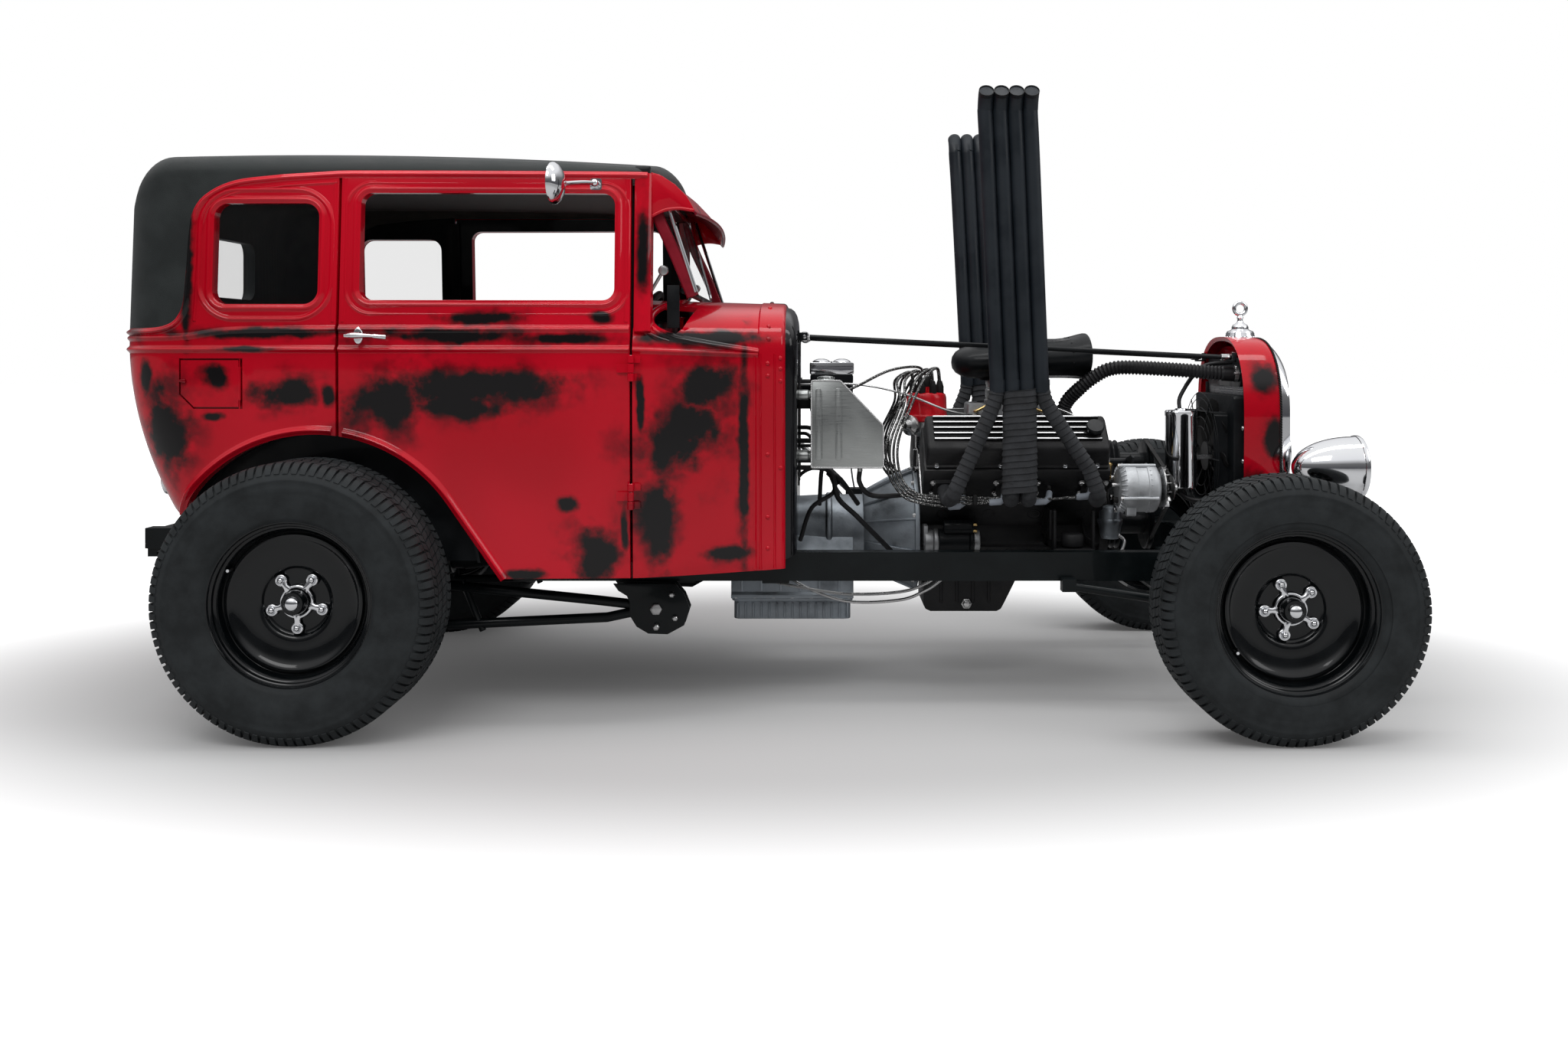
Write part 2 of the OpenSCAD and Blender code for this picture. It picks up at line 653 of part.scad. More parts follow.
module ladder_bars() {
    z = rear_wheel_z;
    color([0.04, 0.04, 0.04]) both_sides() {
        pipe([[rear_axle_x + 80, 421, z - 126], [-420, 403, 262], [-330, 400, 284]], 14);
        pipe([[rear_axle_x + 80, 421, z + 6], [-470, 403, 308], [-335, 400, 292]], 14);
        for (p = [z - 126, z + 6])
            translate([rear_axle_x + 80, 405, p]) rotate([-90, 0, 0]) cylinder(r = 24, h = 30);
        difference() {
            translate([-295, 383, 288]) rotate([-90, 0, 0]) cylinder(r = 34, h = 36);
            translate([-295, 370, 288]) rotate([-90, 0, 0]) cylinder(r = 12, h = 60);
        }
        translate([-295, 340, 288]) rotate([-90, 0, 0]) cylinder(r = 12, h = 90);
    }
}

module rear_coilovers() {
    color([0.75, 0.75, 0.77]) both_sides() {
        rod([rear_axle_x - 90, 405, 300], [rear_axle_x - 115, 405, 590], 12);
        for (i = [0:7]) translate([rear_axle_x - 94 - 2.2 * i, 405, 350 + 25 * i])
            rotate_extrude() translate([34, 0]) circle(r = 6);
        translate([rear_axle_x - 92, 405, 330]) cylinder(r = 40, h = 8);
        translate([rear_axle_x - 113, 405, 539]) cylinder(r = 40, h = 8);
        rod([rear_axle_x - 90, 395, 300], [rear_axle_x - 90, 446, 300], 11);
        rod([rear_axle_x - 115, rail_y, 590], [rear_axle_x - 115, 420, 590], 11);
    }
}

/* ---------- wheels ---------- */

function tyre_profile(r, w) =
    let (h = w / 2, bead = rim_d / 2 - 16)
    [[bead, -h * 0.74], [rim_d / 2 - 2, -h * 0.86], [rim_d / 2 + 22, -h * 0.95], [r * 0.78, -h],
        [r * 0.87, -h * 0.975], [r * 0.945, -h * 0.9], [r * 0.985, -h * 0.8], [r, -h * 0.66],
        [r, h * 0.66], [r * 0.985, h * 0.8],
        [r * 0.945, h * 0.9], [r * 0.87, h * 0.975], [r * 0.78, h], [rim_d / 2 + 22, h * 0.95],
        [rim_d / 2 - 2, h * 0.86], [bead, h * 0.74]];

module tyre(x, y, r, w) {
    color([0.05, 0.05, 0.05])
    translate([x, y, r]) rotate([90, 0, 0]) rotate_extrude($fn = 128) polygon(tyre_profile(r, w));
}

// Rim, disc, hub and brake drum, drawn on the left side with the outer face towards +Y.
module rim(x, y, z, w) {
    rim_half = w / 2 * 0.84;
    disc_at = w / 2 - disc_recess;
    color([0.04, 0.04, 0.04])
    translate([x, y, z]) rotate([-90, 0, 0]) difference() {
        union() {
            rotate_extrude($fn = 96) polygon([
                [rim_d / 2 - 24, -rim_half], [rim_d / 2 - 6, -rim_half], [rim_d / 2 - 17, -rim_half + 6],
                [rim_d / 2 - 17, rim_half - 6], [rim_d / 2 - 6, rim_half], [rim_d / 2 - 24, rim_half]]);
            rotate_extrude($fn = 96) polygon([
                [0, disc_at], [92, disc_at], [100, disc_at + 10], [160, disc_at + 14], [186, disc_at + 30],
                [rim_d / 2 - 20, disc_at + 30], [rim_d / 2 - 20, disc_at + 36], [182, disc_at + 36],
                [156, disc_at + 20], [96, disc_at + 16], [88, disc_at + 6], [0, disc_at + 6]]);
            translate([0, 0, disc_at - 58]) cylinder(r = 45, h = 60);
            difference() {
                translate([0, 0, disc_at - drum_w - 16]) cylinder(r = drum_r, h = drum_w + 16.5);
                translate([0, 0, disc_at - drum_w - 20]) cylinder(r = drum_r - 6, h = drum_w + 10);
            }
            translate([0, 0, disc_at + 5]) cylinder(r = 36, h = 26);
            for (a = [90:72:378]) rotate([0, 0, a]) translate([57, 0, disc_at + 5]) cylinder(r = 15, h = 20);
        }
        translate([0, 0, disc_at - 70]) cylinder(r = spindle_r + spindle_gap, h = 82);
    }
}

module place_wheel(left) {
    mirror([0, left ? 0 : 1, 0]) children();
}

/* ---------- engine ---------- */

// Half of the V-shaped cross-section, as [y, z].
function bank(u, v) = [0.7071 * (u + v), crank_z + 0.7071 * (u - v)];
valley_z = crank_z + 158;
block_half = [[128, crank_z - 92], bank(100, 95), bank(360, 95), bank(360, -85),
    bank(232, -85), [100, valley_z]];
function mirrored(points) = concat(points, [for (i = [len(points) - 1:-1:0]) [-points[i][0], points[i][1]]]);

module engine_block() {
    color([0.05, 0.05, 0.05]) {
        along_x(head_rear_x, head_front_x) polygon(mirrored(block_half));
        along_x(head_front_x - 1, head_front_x + 34) polygon([[-128, crank_z - 92], [128, crank_z - 92],
            [150, crank_z + 40], [60, crank_z + 160], [-60, crank_z + 160], [-150, crank_z + 40]]);
        for (p = [[crank_z, 88], [crank_z + 190, 72]])
            translate([head_front_x + 34, 0, p[0]]) rotate([0, 90, 0]) cylinder(r = p[1], h = 56);
        both_sides() block([760, 128, 420], [850, rail_y - rail_w, 446]);
        rod([500, -170, 430], [690, -170, 430], 38);
        rod([1075, -180, 462], [1075, -180, 560], 34);
    }
}

module valve_covers() {
    color([0.04, 0.04, 0.04]) both_sides()
        along_x(head_rear_x + 6, head_front_x - 6) polygon([bank(360.5, 82), bank(360.5, -76), bank(420, -76),
            bank(434, -62), bank(434, 66), bank(420, 82)]);
}

module intake() {
    color([0.6, 0.6, 0.6]) {
        along_x(600, 980) polygon([[-98, valley_z], [98, valley_z], [98, crank_z + 205],
            [70, crank_z + 285], [-70, crank_z + 285], [-98, crank_z + 205]]);
        block([680, -72, crank_z + 284], [880, 72, 905]);
        translate([760, 0, 904]) cylinder(r = 62, h = 39);
        translate([955, -40, crank_z + 280]) cylinder(r = 25, h = 46);
    }
}

module air_scoop() {
    color([0.03, 0.03, 0.03])
    difference() {
        hull() {
            translate([1020, 0, 1020]) rotate([0, 90, 0]) resize([146, 260, 0])
                cylinder(r = 73, h = 13, $fn = 32);
            translate([900, 0, 1010]) rotate([0, 90, 0]) resize([126, 250, 0])
                cylinder(r = 63, h = 10, $fn = 32);
            translate([690, 0, 1002]) resize([172, 230, 112]) sphere(r = 80, $fn = 32);
        }
        translate([890, 0, 1018]) rotate([0, 90, 0]) resize([122, 236, 0])
            cylinder(r = 61, h = 160, $fn = 32);
    }
    color([0.03, 0.03, 0.03]) translate([760, 0, 943]) cylinder(r = 66, h = 18);
}

module distributor() {
    color([0.6, 0.03, 0.05]) {
        translate([524, 0, valley_z]) cylinder(r = 32, h = 174);
        translate([524, 0, 816]) cylinder(r = 74, h = 72);
        for (a = [0:45:315]) translate([524 + 56 * cos(a), 56 * sin(a), 887]) cylinder(r = 9, h = 20);
    }
}

stack_xs = [for (i = [0:3]) 700 + 43 * i];
stack_tops = [for (i = [0:3]) 660 + 43.7 * i];
port_xs = [556, 745, 796, 1000];

module exhaust_headers() {
    r = tube_d / 2 - 1.2;
    port = bank(294, 104.5);
    color([0.05, 0.05, 0.05]) both_sides() {
        for (i = [0:3])
            pipe([[port_xs[i], port[0], port[1]], [port_xs[i], 388, 592], [stack_xs[i], 392, 915],
                [stack_tops[i], 420, stack_z - 55], [stack_tops[i] + 1, 452, stack_z - 12]], r);
        along_x(530, 1028) polygon([bank(262, 95), bank(326, 95), bank(326, 105), bank(262, 105)]);
    }
}

module alternator() {
    color([0.7, 0.71, 0.72]) {
        rod([1100, -292, 640], [1190, -292, 640], 70);
        rod([1189, -292, 640], [1230, -292, 640], 62);
        rod([1195, -292, 640], [1258, -292, 640], 12);
        rod([1229, -292, 640], [1256, -292, 640], 38);
        block([1083, -300, 564], [1112, -150, 592]);
        rod([1130, -292, 700], [1060, -200, 690], 9);
        rod([head_front_x, -200, 690], [1070, -200, 690], 13);
    }
}

module oil_pan() {
    color([0.05, 0.05, 0.05]) {
        block([500, -120, 372], [1045, 120, crank_z - 92.4]);
        along_y(-110, 110) polygon([[506, 373], [506, 235], [530, 221], [735, 221], [751, 235], [800, 330],
            [1040, 345], [1040, 373]]);
    }
}

module gearbox() {
    color([0.5, 0.51, 0.52]) {
        translate([320, 0, crank_z - 20]) rotate([0, 90, 0]) cylinder(r1 = 110, r2 = 192, h = 169.6);
        translate([-100, 0, crank_z - 30]) rotate([0, 90, 0]) cylinder(r1 = 88, r2 = 118, h = 421);
        block([-94, -165, 268], [285, 165, 400]);
        block([-90, -155, 205], [280, 155, 269]);
        translate([-270, 0, crank_z - 30]) rotate([0, 90, 0]) cylinder(r = 56, h = 172);
        block([-175, -40, rail_z + 40], [-140, 40, rail_z + 50]);
    }
}

module driveshaft() {
    color([0.06, 0.06, 0.06]) {
        rod([-270, 0, crank_z - 30], [-330, 0, crank_z - 30], 34);
        rod([-322, 0, crank_z - 31], [-960, 0, rear_wheel_z + 1], 38);
        rod([-950, 0, rear_wheel_z], [rear_axle_x + 210, 0, rear_wheel_z], 34);
    }
}

/* ---------- front end ---------- */

function shell_outline(inset, top) =
    let (w = 250 - inset, h = top - inset - 830)
    concat([[w - 26, rail_top + inset], [w - 4, 640], [w, 830]],
        [for (a = [10:10:170])
            [w * (cos(a) >= 0 ? 1 : -1) * pow(abs(cos(a)), 0.8), 830 + h * pow(sin(a), 0.8)]],
        [[-w, 830], [-w + 4, 640], [-w + 26, rail_top + inset]]);
shell_nose = concat([[1440, 400], [1612, 400]],
    [for (a = [0:10:90]) [1552 + 60 * cos(a), 1024 + 60 * sin(a)]], [[1440, 1084]]);

module radiator_shell() {
    color([0.72, 0.03, 0.1])
    difference() {
        intersection() {
            along_x(1466, 1620) polygon(shell_outline(0, 1082));
            along_y(-260, 260) polygon(shell_nose);
        }
        intersection() {
            along_x(1400, 1606) polygon(shell_outline(12, 1080));
            along_y(-240, 240) translate([0, -12]) polygon(shell_nose);
        }
        along_x(1530, 1630) polygon(shell_outline(30, 1060));
    }
}

module radiator() {
    color([0.04, 0.04, 0.04]) {
        along_x(1482, 1530) round_rect(-205, 470, 205, 930, 10);
        along_x(1480, 1532) round_rect(-170, 925, 170, 1012, 12);
        difference() {
            along_x(1404, 1483) round_rect(-214, 500, 214, 900, 12);
            along_x(1400, 1476) translate([0, 700]) circle(r = 202);
        }
        rod([1450, 0, 700], [1483, 0, 700], 46);
        for (a = [0:60:300]) rod([1462, 0, 700], [1462, 208 * cos(a), 700 + 208 * sin(a)], 6);
        both_sides() block([1482, 150, rail_top + 12], [1530, 204, 471]);
    }
    color([0.75, 0.75, 0.77]) rod([1292, -150, 660], [1292, -150, 854], 40);
    color([0.04, 0.04, 0.04]) block([1300, -160, 690], [1406, -140, 720]);
}

module fan() {
    color([0.04, 0.04, 0.04]) {
        difference() {
            rod([1418, 0, 700], [1444, 0, 700], 48);
            translate([1425, 0, 700]) rotate([0, 90, 0]) cylinder(r = 12.4, h = 40);
        }
        for (a = [0:36:324]) translate([1432, 0, 700]) rotate([a, 0, 0]) rotate([0, 0, 24])
            block([-2, -22, 44], [2, 22, 192]);
    }
}

module fan_axle() {
    rod([1428, 0, 700], [1452, 0, 700], 12);
}

module radiator_cap() {
    color([0.85, 0.85, 0.87]) {
        translate([1532, 0, 1082]) cylinder(r = 46, h = 18);
        translate([1532, 0, 1099]) cylinder(r = 30, h = 22);
        translate([1532, 0, 1120]) cylinder(r = 12, h = 34);
        translate([1532, 0, 1172]) rotate([90, 0, 0]) rotate_extrude() translate([19, 0]) circle(r = 7);
    }
}

module radiator_hose() {
    color([0.05, 0.05, 0.05])
        pipe([[955, -40, 816], [955, -40, 855], [1000, -105, 915], [1085, -125, 985], [1478, -150, 962]], 22);
}

module support_rods() {
    color([0.05, 0.05, 0.05]) both_sides() {
        rod([firewall_x + 8, 250, 1080], [1455, 164, 1016], 8);
        rod([firewall_x, 250, 1080], [firewall_x + 22, 250, 1080], 17);
        block([1440, 148, 1002], [1466, 178, 1030]);
    }
}

function lamp_curve() = [for (a = [0:10:90]) [92 * sin(a), -182 * cos(a)]];
module headlights() {
    color([0.85, 0.85, 0.87]) both_sides() {
        translate([1776, 330, 690]) rotate([0, 90, 0]) {
            rotate_extrude()
                polygon(concat([[0, -182]], lamp_curve(), [[95, 0], [95, 14], [86, 16], [60, 22], [0, 24]]));
        }
        pipe([[1590, 355, rail_top], [1590, 355, 478], [1700, 330, 478], [1700, 330, 620]], 13);
    }
}

module coolant_tank() {
    color([0.75, 0.76, 0.77]) {
        along_y(-345, -265) polygon([[158, 690], [364, 690], [364, 820], [234, 942], [158, 942]]);
        for (z = [730, 900]) rod([firewall_x, -305, z], [160, -305, z], 20);
        rod([196, -305, 940], [196, -305, 960], 24);
    }
}

module brake_master() {
    color([0.8, 0.8, 0.82]) {
        block([firewall_x, 250, 930], [300, 350, 985]);
        block([150, 256, 984], [298, 344, 1002]);
        rod([firewall_x, 300, 905], [300, 300, 905], 28);
    }
}

module tail_lights() {
    color([0.6, 0.02, 0.02]) both_sides() {
        rod([-1709, 385, 660], [-1727, 385, 660], 44);
        rod([-1726, 385, 660], [-1738, 385, 660], 38);
    }
}

/* ---------- hardware ---------- */

module door_hardware() {
    y = side_y(-1083, 1077);
    color([0.85, 0.85, 0.87]) {
        translate([-1083, y - 1, 1077]) rotate([-90, 0, 0]) cylinder(r = 17, h = 11);
        rod([-1083, y, 1077], [-1083, y + 34, 1077], 8);
        rod([-1110, y + 32, 1077], [-1010, y + 32, 1073], 8);
        rod([-440, side_y(-440, 1495) - 4, 1495], [-440, side_y(-440, 1495) + 30, 1495], 10);
        rod([-440, side_y(-440, 1495) + 28, 1495], [-520, 738, 1480], 7);
        rod([-508, 760, 1480], [-535, 760, 1480], 56);
    }
}

fuel_y = side_y(-1492, 946);
fuel_hinge = [-1411, fuel_y - 4];

module fuel_door() {
    color([0.72, 0.03, 0.1]) difference() {
        union() {
            along_y(fuel_y - 7, fuel_y - 1)
                polygon([[-1413, 1010], [-1413, 882], [-1535, 882], [-1571, 918], [-1571, 1010]]);
            translate([fuel_hinge[0], fuel_hinge[1], 900]) cylinder(r = 4.5, h = 92);
        }
        translate([fuel_hinge[0], fuel_hinge[1], 870]) cylinder(r = 2.6, h = 150);
    }
}

module fuel_pocket() {
    along_y(fuel_y - 14, fuel_y + 40)
        polygon([[-1401, 1015], [-1401, 877], [-1537, 877], [-1576, 916], [-1576, 1015]]);
}

module fuel_pin() {
    translate([fuel_hinge[0], fuel_hinge[1], 870]) cylinder(r = 2.1, h = 152);
}

mirror([0, 1, 0]) frame_rail();  // frame_rail_right
frame_rail();  // frame_rail_left
frame_crossmembers();
floor_pan();
rear_floor();
wheel_tubs();
firewall();
cowl();
mirror([0, 1, 0]) fuel_side_quarter();  // quarter_panel_right
quarter_panel();  // quarter_panel_left
rear_panel();
vinyl_top();
windshield_frame();
fixed_glass();
sun_visor();
seats();
dashboard();
steering_column();
engine_block();
valve_covers();
intake();
air_scoop();
distributor();
exhaust_headers();
alternator();
oil_pan();
gearbox();
driveshaft();
union() { radiator(); fan_axle(); }
radiator_shell();
radiator_cap();
radiator_hose();
support_rods();
headlights();
front_axle();
rear_axle();
ladder_bars();
rear_coilovers();
coolant_tank();
brake_master();
tail_lights();
mirror([0, 1, 0]) door_panel();  // door_right
door_panel();  // door_left
mirror([0, 1, 0]) door_hardware();  // door_hardware_right
door_hardware();  // door_hardware_left
mirror([0, 1, 0]) knuckle(false);  // knuckle_right
knuckle(true);  // knuckle_left
tie_rod();
tyre(front_axle_x, -front_wheel_y, front_wheel_z, front_tyre_w);  // tyre_front_right
tyre(front_axle_x, front_wheel_y, front_wheel_z, front_tyre_w);  // tyre_front_left
tyre(rear_axle_x, -rear_wheel_y, rear_wheel_z, rear_tyre_w);  // tyre_rear_right
tyre(rear_axle_x, rear_wheel_y, rear_wheel_z, rear_tyre_w);  // tyre_rear_left
place_wheel(false) rim(front_axle_x, front_wheel_y, front_wheel_z, front_tyre_w);  // rim_front_right
place_wheel(true) rim(front_axle_x, front_wheel_y, front_wheel_z, front_tyre_w);  // rim_front_left
place_wheel(false) rim(rear_axle_x, rear_wheel_y, rear_wheel_z, rear_tyre_w);  // rim_rear_right
place_wheel(true) rim(rear_axle_x, rear_wheel_y, rear_wheel_z, rear_tyre_w);  // rim_rear_left
steering_wheel();
fan();
mirror([0, 1, 0]) fuel_door();
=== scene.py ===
"""Looks of the hot rod car: body shell, roof, wheels, engine bay, nose and inside."""
from math import asin, atan2, copysign, cos, hypot, pi, radians, sin, sqrt

import bmesh
import bpy
from mathutils import Euler, Matrix, Vector


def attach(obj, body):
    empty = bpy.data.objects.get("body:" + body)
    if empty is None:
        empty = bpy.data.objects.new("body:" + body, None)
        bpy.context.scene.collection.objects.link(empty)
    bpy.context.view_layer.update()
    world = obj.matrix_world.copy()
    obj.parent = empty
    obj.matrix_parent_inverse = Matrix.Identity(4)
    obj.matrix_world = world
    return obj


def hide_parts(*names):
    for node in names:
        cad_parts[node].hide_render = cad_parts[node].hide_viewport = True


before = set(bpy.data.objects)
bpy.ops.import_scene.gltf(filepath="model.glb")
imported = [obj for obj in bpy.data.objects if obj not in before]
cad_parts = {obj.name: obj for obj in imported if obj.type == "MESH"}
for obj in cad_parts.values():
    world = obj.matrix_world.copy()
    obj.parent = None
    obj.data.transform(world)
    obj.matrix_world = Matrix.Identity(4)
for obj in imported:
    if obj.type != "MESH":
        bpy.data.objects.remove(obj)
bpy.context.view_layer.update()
scene = bpy.context.scene
TAU = 2 * pi


# ---------------------------------------------------------------- shape tools

class Shape:
    """Collects points and faces of one piece; each face keeps the number of its finish."""

    def __init__(self):
        self.points = []
        self.faces = []
        self.finishes = []

    def add(self, points, faces, finish=0):
        start = len(self.points)
        self.points += [tuple(p) for p in points]
        self.faces += [tuple(start + i for i in f) for f in faces]
        self.finishes += [finish] * len(faces)
        return self

    def loft(self, rings, finish=0, closed=True, caps=True):
        """Joins rings of equal length; closed rings wrap round."""
        n = len(rings[0])
        start = len(self.points)
        for ring in rings:
            self.points += [tuple(p) for p in ring]
        faces = []
        span = n if closed else n - 1
        for i in range(len(rings) - 1):
            for j in range(span):
                a = start + i * n + j
                b = start + i * n + (j + 1) % n
                faces.append((a, b, b + n, a + n))
        if caps and closed:
            faces.append(tuple(start + j for j in reversed(range(n))))
            faces.append(tuple(start + (len(rings) - 1) * n + j for j in range(n)))
        self.faces += faces
        self.finishes += [finish] * len(faces)
        return self

    def lathe(self, profile, centre, axis, steps=48, finish=0, closed=False):
        """Turns (radius, distance along the axis) points about an axis."""
        u, v, w = basis(axis)
        c = Vector(centre)
        n = len(profile)
        start = len(self.points)
        for k in range(steps):
            a = TAU * k / steps
            out = u * cos(a) + v * sin(a)
            for r, h in profile:
                self.points.append(tuple(c + out * r + w * h))
        faces = []
        for k in range(steps):
            m = (k + 1) % steps
            for i in range(n if closed else n - 1):
                j = (i + 1) % n
                faces.append((start + k * n + i, start + m * n + i, start + m * n + j, start + k * n + j))
        if not closed:
            faces.append(tuple(start + k * n for k in reversed(range(steps))))
            faces.append(tuple(start + k * n + n - 1 for k in range(steps)))
        self.faces += faces
        self.finishes += [finish] * len(faces)
        return self

    def tube(self, path, radius, sides=12, finish=0):
        """A round bar along a path; radius is one number or one for each point."""
        path = [Vector(p) for p in path]
        radii = radius if isinstance(radius, (list, tuple)) else [radius] * len(path)
        rings = []
        side = None
        for i, p in enumerate(path):
            ahead = path[min(i + 1, len(path) - 1)] - path[max(i - 1, 0)]
            ahead.normalize()
            if side is None:
                side = basis(ahead)[0]
            side = (side - ahead * side.dot(ahead)).normalized()
            other = ahead.cross(side)
            rings.append([p + (side * cos(TAU * k / sides) + other * sin(TAU * k / sides)) * radii[i]
                          for k in range(sides)])
        return self.loft(rings, finish)

    def box(self, low, high, finish=0):
        (a, b, c), (d, e, f) = low, high
        points = [(x, y, z) for x in (a, d) for y in (b, e) for z in (c, f)]
        return self.add(points, [(0, 1, 3, 2), (4, 6, 7, 5), (0, 4, 5, 1), (2, 3, 7, 6), (0, 2, 6, 4),
            (1, 5, 7, 3)], finish)

    def ball(self, centre, radii, finish=0, steps=16, rows=10):
        radii = radii if isinstance(radii, (list, tuple)) else (radii,) * 3
        c = Vector(centre)
        rings = []
        for i in range(1, rows):
            a = pi * i / rows
            rings.append([c + Vector((radii[0] * sin(a) * cos(TAU * k / steps),
                                      radii[1] * sin(a) * sin(TAU * k / steps),
                                      -radii[2] * cos(a))) for k in range(steps)])
        return self.loft(rings, finish)

    def prism(self, outline, start, end, plane="x", finish=0):
        """Extrudes an outline of (a, b) points along x (a=y, b=z) or along y (a=x, b=z)."""
        def place(p, h):
            return (h, p[0], p[1]) if plane == "x" else (p[0], h, p[1]) if plane == "y" else (p[0], p[1], h)
        return self.loft([[place(p, start) for p in outline], [place(p, end) for p in outline]], finish)

    def mirrored(self):
        other = Shape()
        other.points = [(x, -y, z) for x, y, z in self.points]
        other.faces = [tuple(reversed(f)) for f in self.faces]
        other.finishes = list(self.finishes)
        return other

    def with_mirror(self):
        other = self.mirrored()
        start = len(self.points)
        self.points += other.points
        self.faces += [tuple(start + i for i in f) for f in other.faces]
        self.finishes += other.finishes
        return self

    def moved(self, move):
        self.points = [tuple(move(Vector(p))) for p in self.points]
        return self


def basis(axis):
    """Three directions at right angles, the last along an axis."""
    w = Vector(axis).normalized()
    u = w.cross(Vector((0, 0, 1)) if abs(w.z) < 0.9 else Vector((1, 0, 0))).normalized()
    return u, w.cross(u), w


def disc(r, height):
    """Profile of a plain disc, for lathe."""
    return [(0.0, 0.0), (r, 0.0), (r, height), (0.0, height)]


def smooth_path(points, steps=6):
    """A smooth curve through points, as a longer list."""
    p = [Vector(q) for q in points]
    p = [p[0] * 2 - p[1]] + p + [p[-1] * 2 - p[-2]]
    out = []
    for i in range(1, len(p) - 2):
        a, b, c, d = p[i - 1:i + 3]
        for k in range(steps):
            t = k / steps
            out.append(0.5 * (2 * b + (c - a) * t + (2 * a - 5 * b + 4 * c - d) * t * t
                              + (3 * b - a - 3 * c + d) * t ** 3))
    return out + [p[-2]]


def clean_mesh(name, shape, weld=True):
    """A mesh of a shape, with doubled points joined and every face turned outward."""
    mesh = bpy.data.meshes.new(name)
    mesh.from_pydata(shape.points, [], shape.faces)
    mesh.polygons.foreach_set("material_index", shape.finishes)
    build = bmesh.new()
    build.from_mesh(mesh)
    if weld:
        bmesh.ops.remove_doubles(build, verts=build.verts, dist=1e-6)
    bmesh.ops.recalc_face_normals(build, faces=build.faces)
    build.to_mesh(mesh)
    build.free()
    return mesh


def placed(name, data):
    """A new object of some data, in the scene."""
    obj = bpy.data.objects.new(name, data)
    scene.collection.objects.link(obj)
    return obj


def shade(obj, angle=35):
    """Smooth shading, with edges sharper than an angle kept crisp."""
    obj.data.polygons.foreach_set("use_smooth", [True] * len(obj.data.polygons))
    obj.data.set_sharp_from_angle(angle=radians(angle))


def piece(name, shape, finishes, body="root", bevel=0, segments=2, angle=35, replaces=()):
    """Makes one finished object of a shape, rides it on its body and hides the CAD nodes it stands for."""
    obj = placed(name, clean_mesh(name, shape))
    for f in finishes:
        obj.data.materials.append(f)
    if bevel:
        cut = obj.modifiers.new("bevel", "BEVEL")
        cut.width = bevel
        cut.segments = segments
        cut.limit_method = "ANGLE"
        cut.angle_limit = radians(angle)
        bake(obj)
    shade(obj, angle)
    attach(obj, body)
    if replaces:
        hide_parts(*([replaces] if isinstance(replaces, str) else replaces))
    return obj


def bake(obj):
    """Turns an object's modifiers into its mesh."""
    bpy.context.view_layer.update()
    graph = bpy.context.evaluated_depsgraph_get()
    mesh = bpy.data.meshes.new_from_object(obj.evaluated_get(graph))
    obj.modifiers.clear()
    obj.data = mesh


def subtract(obj, cutter_shape):
    """Cuts a shape out of an object."""
    cutter = placed("cutter", clean_mesh("cutter", cutter_shape, weld=False))
    cut = obj.modifiers.new("cut", "BOOLEAN")
    cut.object = cutter
    cut.solver = "EXACT"
    bake(obj)
    bpy.data.objects.remove(cutter)
    shade(obj)


def rounded(x0, z0, x1, z1, r, steps=8):
    """Outline of a rectangle with rounded corners."""
    out = []
    for cx, cz, start in ((x1 - r, z1 - r, 0), (x0 + r, z1 - r, 90), (x0 + r, z0 + r, 180),
            (x1 - r, z0 + r, 270)):
        for k in range(steps + 1):
            a = radians(start + 90 * k / steps)
            out.append((cx + r * cos(a), cz + r * sin(a)))
    return out


def spaced(points, gap, closed=False):
    """Points at even steps along a path."""
    p = [Vector(q) for q in points]
    if closed:
        p.append(p[0])
    length = sum((b - a).length for a, b in zip(p, p[1:]))
    count = max(2, round(length / gap))
    out = []
    goal = 0
    walked = 0
    i = 0
    for k in range(count if closed else count + 1):
        goal = length * k / count
        while i < len(p) - 2 and walked + (p[i + 1] - p[i]).length < goal:
            walked += (p[i + 1] - p[i]).length
            i += 1
        seg = (p[i + 1] - p[i]).length
        out.append(p[i].lerp(p[i + 1], min(1, (goal - walked) / seg) if seg > 1e-9 else 0))
    return out


# ---------------------------------------------------------------- finishes

